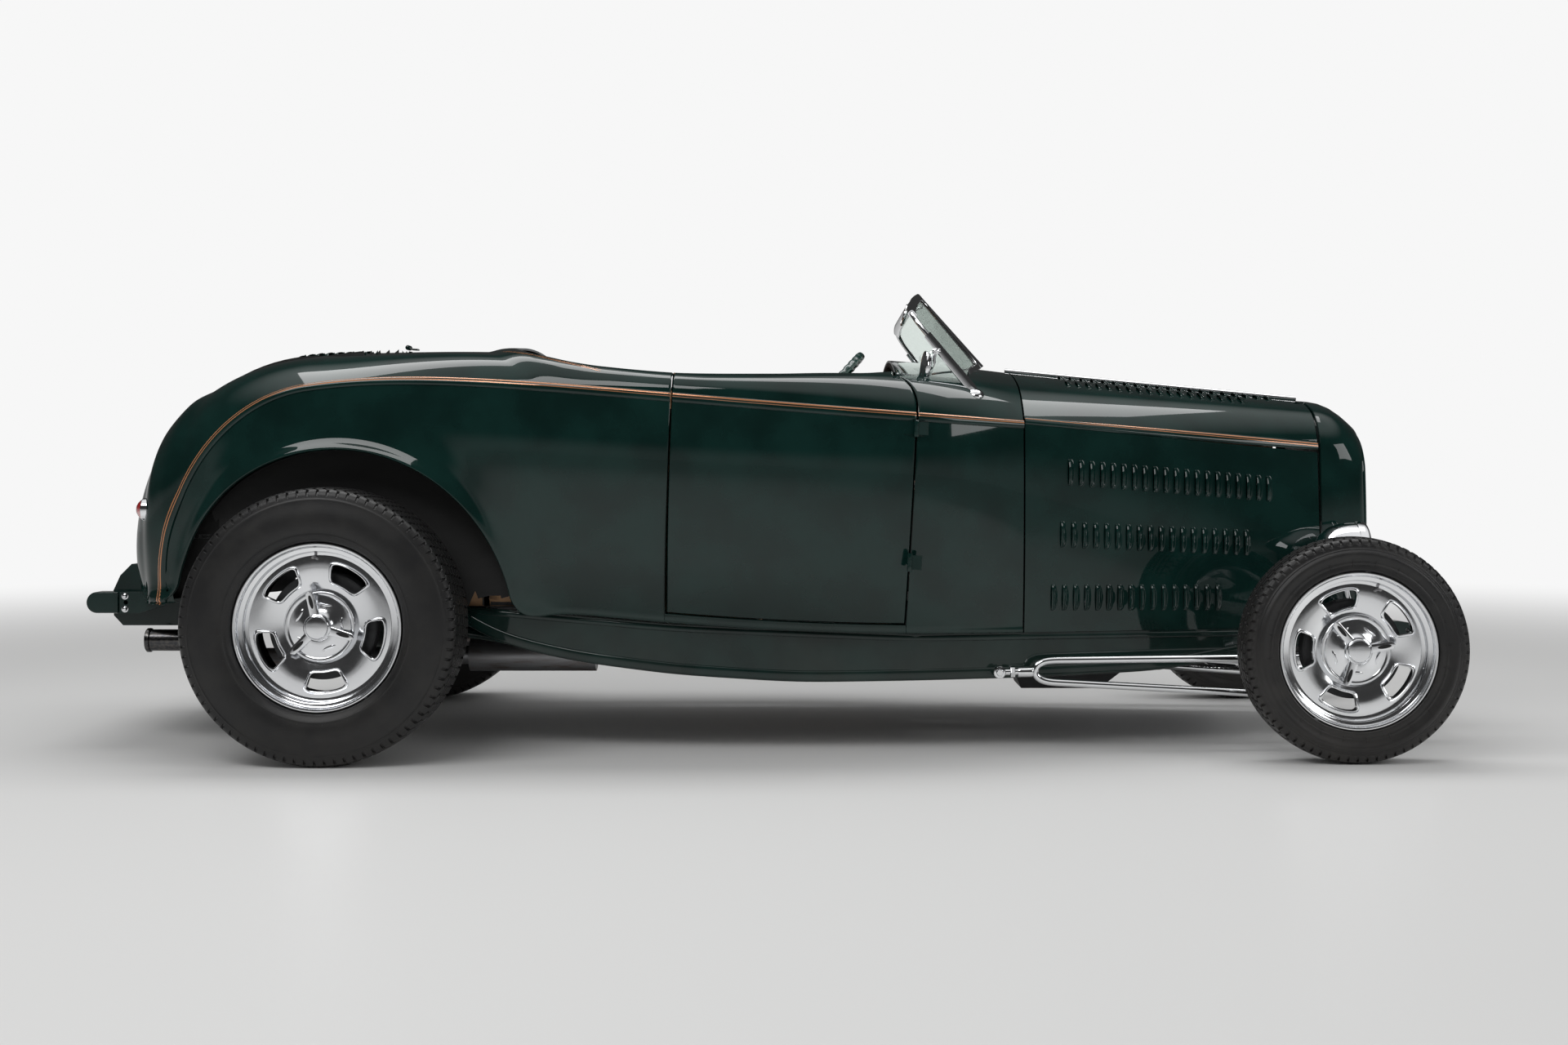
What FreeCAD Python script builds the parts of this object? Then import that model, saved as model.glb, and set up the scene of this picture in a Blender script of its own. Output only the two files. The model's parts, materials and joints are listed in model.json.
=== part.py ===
import FreeCAD, Part
import math
import os

# Street rod roadster, millimetres.  X runs forward, Y to the car's left, Z up.
# Stations are measured forward from the rear axle while the pieces are made.
# Each finished piece is then moved so that the origin lies on the ground, midway
# between the tips of the front and rear frame horns.

V = FreeCAD.Vector

# ---------------------------------------------------------------- driving sizes
WHEELBASE = 2692.0
REAR_END = -745.0            # tips of the rear frame horns
FRONT_END = WHEELBASE + 383  # tips of the front frame horns
MID_LENGTH = (REAR_END + FRONT_END) / 2

REAR_TRACK = 1454.0
FRONT_TRACK = 1422.0
REAR_TYRE_R = 361.0
REAR_TYRE_W = 236.0
REAR_RIM_R = 219.0
REAR_RIM_W = 184.0
FRONT_TYRE_R = 296.0
FRONT_TYRE_W = 148.0
FRONT_RIM_R = 207.0
FRONT_RIM_W = 124.0

SHUT_GAP = 5.0               # shut lines round doors, lid and hood
FIT = 0.3                    # running clearance at pins, seats and bores
SIDE_WALL = 45.0             # whole thickness of doors and quarters with their trim
DECK_WALL = 18.0             # deck, deck lid and cowl top
SHEET = 8.0                  # hood panels and grille shell

DOOR_FRONT = 1555.0          # shut lines at the top of the door
DOOR_REAR = 911.0
DOOR_LEAN = 30.0             # both shut lines run back by this much at the sill
DOOR_CURVE = (59.0, 86.0)    # the front shut line curves back over this at the top
DOOR_CURVE_Z = 934.0
SILL_HEIGHT = 26.0           # body edge left below the door
COWL_SEAM = DOOR_FRONT + 295 # rear edge of the hood
SHELL_SEAM = WHEELBASE + 28  # front edge of the hood
COCKPIT_REAR = 455.0
COCKPIT_FRONT = DOOR_FRONT - 55
BULKHEAD_X = 385.0           # between cockpit and luggage space
BULKHEAD_T = 15.0

ARCH_R = 458.0
ARCH_X = 12.0
ABOVE_Z = 1200.0             # higher than the body everywhere
WELL_INNER_Y = 572.0         # inner face of the wheel wells
WELL_WALL = 15.0
TAIL_X = -82.0               # axis about which the tail's sections fan out
TAIL_Z = 440.0
TAIL_BORE = 60.0
TAIL_EDGE_Z = 405.0

LID_FRONT = 120.0            # deck lid: front edge, half widths and lower edge
LID_HALF_FRONT = 395.0
LID_HALF_REAR = 330.0
LID_LOWER_Z = 575.0
LID_HINGE_RISE = 10.0

HOOD_BARREL_R = 8.0
HOOD_HINGE_RISE = 6.0
LOUVRE_LENGTH = 72.0
LOUVRE_REACH = 19.0          # from its mouth to where it runs out into the sheet
LOUVRE_RISE = 7.5

KINGPIN_Y = 600.0
KINGPIN_R = 12.0
AXLE_BOSS_R = 24.0
AXLE_BOSS_H = 70.0
AXLE_BEAM_Z = 195.0
STEER_ARM = 135.0
STEER_ARM_Z = 205.0
STUD_R = 7.0

PAN_Z = 398.0                # cabin floor
PAN_T = 10.0
PAN_HALF = 500.0             # half width of the floor between the doors
TUNNEL_HALF = 130.0
TANK_TOP_Z = 500.0           # fuel tank between the rear horns
TANK_BOTTOM_Z = 327.0
RAIL_WALL = 46.0             # width of a frame rail
RAIL_TOP_Z = 319.5           # level top of the rails under hood and cabin
SHELL_SEAT_Z = 339.5         # crossmember top that carries grille shell and radiator
AXLE_TUBE_R = 38.0
SPRING_END_Z = 238.0
SPRING_X = WHEELBASE - 22
HAIRPIN_Y = 468.0            # hairpins on the front axle
HAIRPIN_FRAME_Y = 530.0
HAIRPIN_X = COWL_SEAM - 67
HAIRPIN_Z = 216.0
LAMP_R = 95.0
LAMP_Y = 392.0
LAMP_Z = 526.0
LAMP_FRONT = WHEELBASE + 121
TAIL_LAMP_Y = 485.0
TAIL_LAMP_Z = 657.0
SCREEN_T = 14.0
SCREEN_BAND = 20.0
PIPE_R = 26.0                # exhaust pipes
TIP_R = 29.0                 # exhaust tips
TIP_Y = 420.0
TIP_Z = 293.0
REAR_HOLES_X = -660.0        # bumper-iron holes in the frame horns
FRONT_HOLES_X = FRONT_END - 145
HOLE_PITCH = 50.0
HOLE_R = 6.0
GEARBOX_REAR = 1128.0
ARM_X = 745.0                # front ends of the rear radius arms
ARM_FRAME_Y = 500.0
PITMAN_X = WHEELBASE - 362   # sector shaft of the steering box
PITMAN_Y = 320.0
PITMAN_Z = 170.0
LINK_Y = -380.0              # drag link meets the tie rod here

# body sections: station, floor edge height and half width, half width at mid side,
# belt half width and height, shoulder half width and height, crown height
BODY_SECTIONS = [
    (COWL_SEAM, 320.0, 492.0, 521.0, 516.0, 890.0, 345.0, 1004.0, 1051.0),
    (DOOR_FRONT, 322.0, 556.0, 640.0, 640.0, 908.0, 520.0, 1024.0, 1082.0),
    (DOOR_REAR, 352.0, 578.0, 690.0, 688.0, 958.0, 650.0, 1020.0, 1104.0),
    (413.0, 392.0, 572.0, 672.0, 668.0, 996.0, 560.0, 1078.0, 1106.0),
    (-82.0, 400.0, 570.0, 645.0, 640.0, 985.0, 470.0, 1073.0, 1103.0),
]
HOOD_SECTIONS = [
    (SHELL_SEAM, 320.0, 318.0, 292.0, 268.0, 814.0, 180.0, 935.0, 968.0),
    BODY_SECTIONS[0],
]
# tail sections: angle behind the vertical, belt half width and radius from the
# tail axis, shoulder half width and radius, crown radius
TAIL_SECTIONS = [
    (0.0, 640.0, 545.0, 470.0, 633.0, 663.0),
    (30.0, 612.0, 478.0, 440.0, 615.0, 646.0),
    (62.0, 560.0, 420.0, 400.0, 566.0, 604.0),
    (94.0, 510.0, 400.0, 385.0, 508.0, 552.0),
]


# ---------------------------------------------------------------- shape helpers
def box(x0, x1, y0, y1, z0, z1):
    return Part.makeBox(x1 - x0, y1 - y0, z1 - z0, V(x0, y0, z0))


def rod(start, end, radius):
    start, end = V(*start), V(*end)
    return Part.makeCylinder(radius, (end - start).Length, start, end - start)


def tube(start, end, outer, inner):
    return rod(start, end, outer).cut(rod(start, end, inner))


def face_of(points):
    points = [V(*p) for p in points]
    return Part.Face(Part.makePolygon(points + points[:1]))


def side_prism(outline, y0, y1):
    """An outline of (x, z) points, swept across the car."""
    return face_of([(x, y0, z) for x, z in outline]).extrude(V(0, y1 - y0, 0))


def plan_prism(outline, z0, z1):
    """An outline of (x, y) points, swept upwards."""
    return face_of([(x, y, z0) for x, y in outline]).extrude(V(0, 0, z1 - z0))


def mirrored(shape):
    return shape.mirror(V(0, 0, 0), V(0, 1, 0))


def both(shape):
    return [shape, mirrored(shape)]


def fused(shapes):
    result = shapes[0].multiFuse(shapes[1:]) if len(shapes) > 1 else shapes[0]
    return result.removeSplitter()


def revolved(profile, centre):
    """A closed outline of (radius, y) points, turned about a lateral axis."""
    face = face_of([(r, y, 0) for r, y in profile])
    turned = face.revolve(V(0, 0, 0), V(0, 1, 0), 360)
    turned.translate(V(*centre))
    return turned


def tangent_arc(start, direction, end):
    """The arc that leaves start along direction and reaches end."""
    chord = end - start
    normal = direction.cross(chord).cross(direction)
    normal.normalize()
    radius = chord.Length ** 2 / (2 * normal.dot(chord))
    centre = start + normal * radius
    middle = (start - centre) + (end - centre)
    middle.normalize()
    return Part.Arc(start, centre + middle * radius, end).toShape()


def bowed_wire(place, floor, side, belt, shoulder, crown):
    """Closed section of floor line, bowed sides, shoulders and a crowned top.

    Each of floor, side, belt and shoulder is (half width, height), and place turns
    a width and a height into a point of the section's plane."""
    def pair(point):
        return place(-point[0], point[1]), place(point[0], point[1])

    floor_r, floor_l = pair(floor)
    side_r, side_l = pair(side)
    belt_r, belt_l = pair(belt)
    shoulder_r, shoulder_l = pair(shoulder)
    top = place(0.0, crown)
    across = floor_l - floor_r
    across.normalize()
    up = place(0.0, 1.0) - place(0.0, 0.0)
    rise = crown - shoulder[1]
    radius = (shoulder[0] ** 2 + rise ** 2) / (2 * rise)
    slope = math.asin(shoulder[0] / radius)
    leave_r = across * -math.cos(slope) - up * math.sin(slope)
    leave_l = across * math.cos(slope) - up * math.sin(slope)
    return Part.Wire([
        Part.LineSegment(floor_r, floor_l).toShape(),
        Part.Arc(floor_l, side_l, belt_l).toShape(),
        tangent_arc(shoulder_l, leave_l, belt_l).reversed(),
        Part.Arc(shoulder_l, top, shoulder_r).toShape(),
        tangent_arc(shoulder_r, leave_r, belt_r),
        Part.Arc(belt_r, side_r, floor_r).toShape(),
    ])


def upright_section(row, inset=0.0, inset_top=0.0, inset_floor=0.0):
    (x, floor_z, floor_y, side_y, belt_y, belt_z, shoulder_y, shoulder_z, crown_z) = row
    middle_z = (floor_z + belt_z) / 2
    return bowed_wire(
        lambda y, z: V(x, y, z),
        (floor_y - inset, floor_z + inset_floor), (side_y - inset, middle_z),
        (belt_y - inset, belt_z), (shoulder_y - inset, shoulder_z - inset_top),
        crown_z - inset_top)


def fanned_section(row, inset=0.0, inset_top=0.0):
    angle, belt_y, belt_r, shoulder_y, shoulder_r, crown_r = row
    out = V(-math.sin(math.radians(angle)), 0, math.cos(math.radians(angle)))
    axis = V(TAIL_X, 0, TAIL_Z)
    bore = TAIL_BORE - (20.0 if inset else 0.0)
    return bowed_wire(
        lambda y, r: axis + out * r + V(0, y, 0),
        (belt_y - inset - 10.0, bore), (belt_y - inset + 2.0, (bore + belt_r) / 2),
        (belt_y - inset, belt_r), (shoulder_y - inset, shoulder_r - inset_top),
        crown_r - inset_top)


def loft(wires, ruled=False):
    return Part.makeLoft(wires, True, ruled)


# ---------------------------------------------------------------- body
def body_outer():
    front = loft([upright_section(row) for row in BODY_SECTIONS])
    tail = loft([fanned_section(row) for row in TAIL_SECTIONS])
    return front.fuse(tail)


def body_void():
    """The space inside the walls: open below, stopped by firewall and bulkhead."""
    rows = [(BODY_SECTIONS[0][0] - DECK_WALL,) + BODY_SECTIONS[0][1:]] + BODY_SECTIONS[1:]
    front = loft([upright_section(row, SIDE_WALL, DECK_WALL, -20.0) for row in rows])
    tail = loft([fanned_section(row, SIDE_WALL, DECK_WALL) for row in TAIL_SECTIONS])
    void = front.fuse(tail)
    well = Part.makeCylinder(ARCH_R + WELL_WALL, 300,
                             V(ARCH_X, WELL_INNER_Y - WELL_WALL, REAR_TYRE_R), V(0, 1, 0))
    bulkhead = box(BULKHEAD_X, BULKHEAD_X + BULKHEAD_T, -800, 800, 300, 1200)
    return void.cut(fused_pair(well)).cut(bulkhead)


def fused_pair(shape):
    return Part.makeCompound(both(shape))


def door_prism(gap):
    """The right-hand door's place, grown by gap all round."""
    sill_front = BODY_SECTIONS[1][1] + SILL_HEIGHT
    sill_rear = BODY_SECTIONS[2][1] + SILL_HEIGHT
    back, rise = DOOR_CURVE
    top_front = DOOR_FRONT - back
    curve = [math.radians(a) for a in (0, 20, 40, 60, 75, 90)]
    outline = [(top_front + (back + gap) * math.cos(a), DOOR_CURVE_Z + (rise + gap) * math.sin(a))
               for a in curve]
    outline += [(top_front, ABOVE_Z), (DOOR_REAR - gap, ABOVE_Z),
                (DOOR_REAR - DOOR_LEAN - gap, sill_rear - gap),
                (DOOR_FRONT - DOOR_LEAN + gap, sill_front - gap)]
    return side_prism(outline, -800, -400)


def lid_prism(gap):
    outline = [(LID_FRONT + gap, -LID_HALF_FRONT - gap), (LID_FRONT + gap, LID_HALF_FRONT + gap),
               (REAR_END, LID_HALF_REAR + gap), (REAR_END, -LID_HALF_REAR - gap)]
    return plan_prism(outline, LID_LOWER_Z - gap, ABOVE_Z)


def cockpit_prism():
    outline = [(COCKPIT_REAR, -430), (COCKPIT_REAR, 430), (COCKPIT_REAR + 45, 560),
               (COCKPIT_REAR + 160, 612), (DOOR_REAR, 630), (COCKPIT_FRONT - 300, 612),
               (COCKPIT_FRONT - 80, 568), (COCKPIT_FRONT, 500), (COCKPIT_FRONT, -500),
               (COCKPIT_FRONT - 80, -568), (COCKPIT_FRONT - 300, -612), (DOOR_REAR, -630),
               (COCKPIT_REAR + 160, -612), (COCKPIT_REAR + 45, -560)]
    return plan_prism(outline, 700, 1250)


def body_shell():
    shell = body_outer().cut(body_void())
    arch = Part.makeCylinder(ARCH_R, 400, V(ARCH_X, WELL_INNER_Y, REAR_TYRE_R), V(0, 1, 0))
    shell = shell.cut(fused_pair(arch)).cut(cockpit_prism())
    below = box(REAR_END, 480, -800, 800, 0, TAIL_EDGE_Z - 8)
    tank_notch = box(REAR_END - 50, -470, -390, 390, 0, TANK_TOP_Z + SHUT_GAP)
    return shell.cut(below).cut(tank_notch)


def export(name, shapes):
    """Write one node: its solids, moved from rear-axle stations to the model's origin."""
    solids = []
    for shape in (shapes if isinstance(shapes, list) else [shapes]):
        solids += shape.Solids
    result = solids[0] if len(solids) == 1 else Part.makeCompound(solids)
    result = result.copy()
    result.translate(V(-MID_LENGTH, 0, 0))
    valid = all(s.isValid() for s in result.Solids)
    print(name, "solids", len(result.Solids), "valid", valid,
          "volume %.4f m3" % (result.Volume / 1e9))
    result.exportStep("parts/" + name + ".step")



# ---------------------------------------------------------------- frame and tank
# outer face of the right-hand rail seen from above: (station, half width)
RAIL_PLAN = [(-745, 398), (-520, 404), (-330, 478), (130, 500), (420, 546), (700, 562),
             (1100, 562), (DOOR_FRONT, 538), (COWL_SEAM, 486), (2300, 402), (SHELL_SEAM, 340),
             (FRONT_END, 318)]
# lower and upper edge of the rail seen from the side: (station, height)
RAIL_LOWER = [(-745, 366), (-600, 366), (-430, 420), (-160, 470), (130, 470), (420, 300),
              (620, 252), (900, 215), (1240, 193), (1900, 199), (PITMAN_X - 90, 210),
              (WHEELBASE - 132, 262), (WHEELBASE + 68, 285), (FRONT_END - 145, 284),
              (FRONT_END - 35, 262), (FRONT_END, 276)]
RAIL_UPPER = [(FRONT_END, 300), (FRONT_END - 25, 318), (FRONT_END - 145, 338),
              (SHELL_SEAM + 70, 338), (SHELL_SEAM - 2, RAIL_TOP_Z), (DOOR_FRONT - 15, RAIL_TOP_Z), (900, 348), (480, 384), (300, 398), (130, 545), (-160, 545),
              (-380, 480), (-560, 425), (-745, 425)]


def frame_rail(room=0.0):
    """The right-hand rail, or with room the space that the body leaves for it."""
    band = [(x, -y - room) for x, y in RAIL_PLAN]
    band += [(x, RAIL_WALL - y + room) for x, y in RAIL_PLAN[::-1]]
    upper = [(x, z + room) for x, z in RAIL_UPPER]
    lower = [(x, z - 20 * room) for x, z in RAIL_LOWER]
    return plan_prism(band, 0, 700).common(side_prism(lower + upper, -700, 0))


def rail_half(x):
    """Half width over the outer faces of the rails at a station."""
    for (x0, y0), (x1, y1) in zip(RAIL_PLAN, RAIL_PLAN[1:]):
        if x0 <= x <= x1:
            return y0 + (y1 - y0) * (x - x0) / (x1 - x0)


def crossmember(x, width, z0, z1):
    half = rail_half(x) - RAIL_WALL + 8
    return box(x - width / 2, x + width / 2, -half, half, z0, z1)


def body_pads():
    """Blocks on the rails that carry the body at its section stations."""
    pads = []
    for row, length in zip(BODY_SECTIONS[1:4], (10, 10, 10)):
        x, floor_z = row[0], row[1]
        y = rail_half(x) - 10
        pads += both(box(x - length / 2, x + length / 2, -y, 14 - y, floor_z - 40, floor_z - 0.8))
    return pads


def rails():
    """Both rails with their body pads, bosses for the hairpins and lugs for the radius arms."""
    bosses = both(rod((HAIRPIN_X, -rail_half(HAIRPIN_X) + 12, HAIRPIN_Z),
                      (HAIRPIN_X, -rail_half(HAIRPIN_X) - 5, HAIRPIN_Z), 15))
    arm_lugs = both(box(ARM_X, ARM_X + 26, -530, -ARM_FRAME_Y + 20, 236, 292))
    whole = fused(both(frame_rail()) + bosses + arm_lugs + body_pads())
    return whole.cut(Part.makeCompound(bumper_holes()))


def crossmembers(side_rails):
    """Crossmembers over both axles and at the tail, and the cradle that carries the engine."""
    front = crossmember(WHEELBASE, 90, 306, SHELL_SEAT_Z)
    rear = crossmember(60, 70, 510, 540)
    tail = crossmember(-440, 50, 440, 462)
    cradle = box(1290, 1370, -150, 150, 196, 228)
    legs = both(box(1290, 1370, -150, -92, 200, 336))
    for end_x, top_z in ((700, 336), (COWL_SEAM - 30, RAIL_TOP_Z - 3)):
        half = rail_half(end_x) - RAIL_WALL / 2
        leg = [(1300, -120), (1360, -120), (end_x + 25, -half), (end_x - 25, -half)]
        legs += both(plan_prism(leg, 292, top_z))
    return [fused(piece).cut(side_rails) for piece in ([front], [rear], [tail], [cradle] + legs)]


def bumper_holes():
    """Two bolt holes through each frame horn, for bumper irons."""
    holes = []
    for centre, z in ((REAR_HOLES_X, 396), (FRONT_HOLES_X, 312)):
        for x in (centre - HOLE_PITCH / 2, centre + HOLE_PITCH / 2):
            holes.append(rod((x, -700, z), (x, 700, z), HOLE_R))
    return holes


def spreader_bars():
    bars = []
    for x, z in ((REAR_END + 23, 396), (FRONT_END - 30, 290)):
        half = min(rail_half(x - 14), rail_half(x + 14)) - RAIL_WALL - FIT
        bars.append(rod((x, -half, z), (x, half, z), 14))
    return bars


def fuel_tank():
    outline = [(-475, TANK_BOTTOM_Z), (-664, TANK_BOTTOM_Z), (-690, TANK_BOTTOM_Z + 28),
               (-694, 420), (-672, 468), (-640, TANK_TOP_Z), (-475, TANK_TOP_Z)]
    half = rail_half(-706) - RAIL_WALL - FIT
    body = side_prism(outline, 14 - half, half - 14)
    flange = side_prism([(-475, 410), (-706, 410), (-706, 420), (-475, 420)], -half, half)
    cap = rod((-560, -120, TANK_TOP_Z), (-560, -120, TANK_TOP_Z + 3), 30)
    return fused([body, flange, cap])


# ---------------------------------------------------------------- hood and grille
def hood_loft(inset):
    return loft([upright_section(row, inset, inset, -inset) for row in HOOD_SECTIONS], True)


def hood_skin():
    grow = 20.0
    return hood_loft(0).cut(hood_loft(SHEET)).common(
        box(COWL_SEAM + SHUT_GAP, SHELL_SEAM - SHUT_GAP, -600, 600, 300 - grow, 1100))


def belt_slab(above, below):
    """The space over or under the line of the belt, along the hood."""
    (front_x, *_), (rear_x, *_) = HOOD_SECTIONS
    front_z, rear_z = HOOD_SECTIONS[0][5], HOOD_SECTIONS[1][5]
    return side_prism([(rear_x, rear_z + below), (front_x, front_z + below),
                       (front_x, front_z + above), (rear_x, rear_z + above)], -600, 600)


def louvre():
    """A pressed louvre on the plane x-z, facing -y: mouth at x = 0, its long way along z."""
    crest = Part.Arc(V(0, -LOUVRE_RISE, 0), V(LOUVRE_REACH * 0.55, -LOUVRE_RISE * 0.72, 0),
                     V(LOUVRE_REACH, 0, 0)).toShape()
    wire = Part.Wire([crest, Part.makeLine(V(LOUVRE_REACH, 0, 0), V(LOUVRE_REACH, 1.5, 0)),
                      Part.makeLine(V(LOUVRE_REACH, 1.5, 0), V(0, 1.5, 0)),
                      Part.makeLine(V(0, 1.5, 0), V(0, -LOUVRE_RISE, 0))])
    body = Part.Face(wire).extrude(V(0, 0, LOUVRE_LENGTH))
    end, top = LOUVRE_RISE * 1.2, LOUVRE_LENGTH
    ends = face_of([(-1, 2, 0), (-1, 2, top), (-1, -LOUVRE_RISE - 1, top - end),
                    (-1, -LOUVRE_RISE - 1, end)])
    return body.common(ends.extrude(V(LOUVRE_REACH + 2, 0, 0)))


def louvre_mouth():
    """The slot under a louvre, through the sheet and out at its rear."""
    margin = LOUVRE_RISE * 1.2 + 2
    return box(-1, LOUVRE_REACH * 0.4, 2.4 - LOUVRE_RISE, DECK_WALL * 1.5,
               margin, LOUVRE_LENGTH - margin)


def skin_point(solid, start, end):
    """Where the line from start to end first meets the solid."""
    hits = Part.makeLine(V(*start), V(*end)).common(solid).Vertexes
    return min((v.Point for v in hits), key=lambda p: (p - V(*start)).Length)


def on_skin(shape, root, tip, ahead):
    """The shape with its foot at root, its long way to tip and its x towards ahead."""
    length = tip - root
    length.normalize()
    inward = length.cross(ahead - root)
    inward.normalize()
    forward = inward.cross(length)
    matrix = FreeCAD.Matrix(forward.x, inward.x, length.x, root.x,
                            forward.y, inward.y, length.y, root.y,
                            forward.z, inward.z, length.z, root.z, 0, 0, 0, 1)
    result = shape.copy()
    result.Placement = FreeCAD.Placement(matrix)
    return result


def louvred(solid, rows):
    """The solid with rows of louvres: each row gives its count and the two lines, from its
    first louvre to its last, that the feet and the tips of the louvres are aimed along."""
    bumps, mouths = [], []
    for count, foot_line, tip_line in rows:
        (foot_a, foot_b), (tip_a, tip_b) = foot_line, tip_line
        feet = [skin_point(solid, *aim) for aim in (foot_a, foot_b)]
        tips = [skin_point(solid, *aim) for aim in (tip_a, tip_b)]
        step = (feet[1] - feet[0]) * (1.0 / (count - 1))
        for i in range(count):
            share = i / (count - 1)
            root = feet[0] + (feet[1] - feet[0]) * share
            tip = tips[0] + (tips[1] - tips[0]) * share
            bumps.append(on_skin(louvre(), root, tip, root + step))
            mouths.append(on_skin(louvre_mouth(), root, tip, root + step))
    return solid.multiFuse(bumps).cut(Part.makeCompound(mouths))


def side_aim(x, z):
    return (x, -700, z), (x, -10, z)


def top_aim(x, y):
    return (x, y, ABOVE_Z), (x, y, 500)


def side_rows():
    """Three rows on the side panel: count, first and last station, heights of their feet."""
    back = COWL_SEAM
    rows = []
    for count, first, last, low_first, low_last in (
            (20, back + 126, SHELL_SEAM - 163, 723, 676), (18, back + 104, SHELL_SEAM - 232, 553, 525),
            (16, back + 79, SHELL_SEAM - 318, 380, 372)):
        rows.append((count, (side_aim(first, low_first), side_aim(last, low_last)),
                     (side_aim(first, low_first + LOUVRE_LENGTH), side_aim(last, low_last + LOUVRE_LENGTH))))
    return rows


def top_rows():
    """Two rows on a hood top: count, first and last station, and the half widths of their feet."""
    back = COWL_SEAM
    rows = []
    for count, first, last, out_first, out_last in (
            (20, back + 150, SHELL_SEAM - 108, 135, 112), (18, back + 153, SHELL_SEAM - 206, 275, 205)):
        rows.append((count, (top_aim(first, -out_first), top_aim(last, -out_last)),
                     (top_aim(first, LOUVRE_LENGTH - out_first), top_aim(last, LOUVRE_LENGTH - out_last))))
    return rows


def lid_rows():
    """Four rows on the deck lid."""
    rows = []
    for out in (300, 170, -98, -228):
        first, last = LID_FRONT - 290, LID_FRONT - 126
        rows.append((7, (top_aim(first, -out), top_aim(last, -out)),
                     (top_aim(first, LOUVRE_LENGTH - out), top_aim(last, LOUVRE_LENGTH - out))))
    return rows


def hood_panels():
    skin = hood_skin()
    top = skin.common(belt_slab(400, SHUT_GAP)).common(
        box(COWL_SEAM, SHELL_SEAM, -600, -HOOD_BARREL_R + 2.2, 300, 1200))
    side = skin.common(belt_slab(0, -700)).common(
        box(COWL_SEAM, SHELL_SEAM, -600, -10, RAIL_TOP_Z + FIT, 1200))
    return louvred(top, top_rows()), louvred(side, side_rows())


def hood_line(x, rise):
    """Height of the hood's middle line, plus a rise."""
    x0, z0 = HOOD_SECTIONS[0][0], HOOD_SECTIONS[0][-1]
    x1, z1 = HOOD_SECTIONS[1][0], HOOD_SECTIONS[1][-1]
    return z0 + (z1 - z0) * (x - x0) / (x1 - x0) + rise


def hood_hinge():
    start, end = COWL_SEAM + 0.9, SHELL_SEAM - 0.9
    return rod((start, 0, hood_line(start, HOOD_HINGE_RISE)),
               (end, 0, hood_line(end, HOOD_HINGE_RISE)), HOOD_BARREL_R)


SHELL_SECTIONS = [
    (SHELL_SEAM, 340.0, 268.0, 281.0, 268.0, 814.0, 180.0, 935.0, 968.0),
    (SHELL_SEAM + 70, 340.0, 264.0, 277.0, 266.0, 800.0, 174.0, 922.0, 954.0),
    (SHELL_SEAM + 148, 340.0, 232.0, 244.0, 228.0, 776.0, 140.0, 868.0, 892.0),
]
GRILLE_BARS = 23
GRILLE_FRONT = SHELL_SEAM + 142


def grille_opening(inset):
    """The grille's outline from the front, round-shouldered above and pointed below."""
    half = [(0, 352), (60, 366), (150, 400), (186, 450), (190, 740), (172, 800), (120, 842),
            (50, 856)]
    outline = half + [(-y, z) for y, z in half[:0:-1]]
    face = face_of([(SHELL_SEAM - 20, y, z) for y, z in outline])
    if inset:
        face = face.makeOffset2D(-inset, join=2)
    return face.extrude(V(400, 0, 0))


def grille_shell():
    outer = loft([upright_section(row) for row in SHELL_SECTIONS])
    rows = [(row[0] - (SHEET if i == 2 else 0),) + row[1:] for i, row in enumerate(SHELL_SECTIONS)]
    inner = loft([upright_section(row, SHEET, SHEET, -SHEET) for row in rows])
    return outer.cut(inner).cut(grille_opening(0))


def grille_insert():
    ring = grille_opening(FIT).cut(grille_opening(9)).common(
        box(GRILLE_FRONT - 32, GRILLE_FRONT + 2, -300, 300, 300, 1000))
    pitch = 360.0 / (GRILLE_BARS + 1)
    room = grille_opening(5)
    bars = []
    for i in range(GRILLE_BARS):
        y = pitch * (i + 1) - 180
        bars.append(box(GRILLE_FRONT - 30, GRILLE_FRONT - 8, y - 2.5, y + 2.5, 340, 880).common(room))
    return fused([ring] + bars)


def radiator():
    rear = SHELL_SEAM + 20
    core = box(rear, rear + 60, -212, 212, 350, 840)
    tank = box(rear - 4, rear + 64, -190, 190, 840, 884)
    feet = [box(rear - 35, rear + 40, y - 30, y + 30, SHELL_SEAT_Z + FIT, 350) for y in (-150, 150)]
    return fused([core, tank] + feet)


# ---------------------------------------------------------------- lamps, glass, mirrors
def headlamp(y):
    bowl = [(0, 141), (34, 137), (66, 117), (86, 83), (LAMP_R - 3, 35), (LAMP_R, 27),
            (LAMP_R, 6), (LAMP_R - 6, 0), (0, 0)]
    profile = [(r, LAMP_FRONT - back) for r, back in bowl]
    face = face_of([(x, y, LAMP_Z + r) for r, x in profile])
    bowl = face.revolve(V(0, y, LAMP_Z), V(1, 0, 0), 360)
    foot_x = LAMP_FRONT - 13
    foot_y = math.copysign(rail_half(foot_x) - RAIL_WALL / 2, y)
    stem = rod((foot_x, foot_y, 338 + FIT), (foot_x, foot_y, 360), 13).fuse(
        rod((foot_x, foot_y, 352), (foot_x - 40, y, LAMP_Z - LAMP_R + 16), 13))
    return fused([bowl, stem])


def tail_lamp(y, body):
    """A domed lamp that stands proud of the tail where the body meets its axis."""
    ray = Part.makeLine(V(REAR_END, y, TAIL_LAMP_Z), V(TAIL_X, y, TAIL_LAMP_Z))
    skin_x = ray.common(body).BoundBox.XMin
    base_x = skin_x - 8
    dome = rod((skin_x + 60, y, TAIL_LAMP_Z), (base_x, y, TAIL_LAMP_Z), 31)
    face = Part.makeCone(31, 20, 14, V(base_x, y, TAIL_LAMP_Z), V(-1, 0, 0))
    return fused([dome, face]).cut(body)


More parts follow.
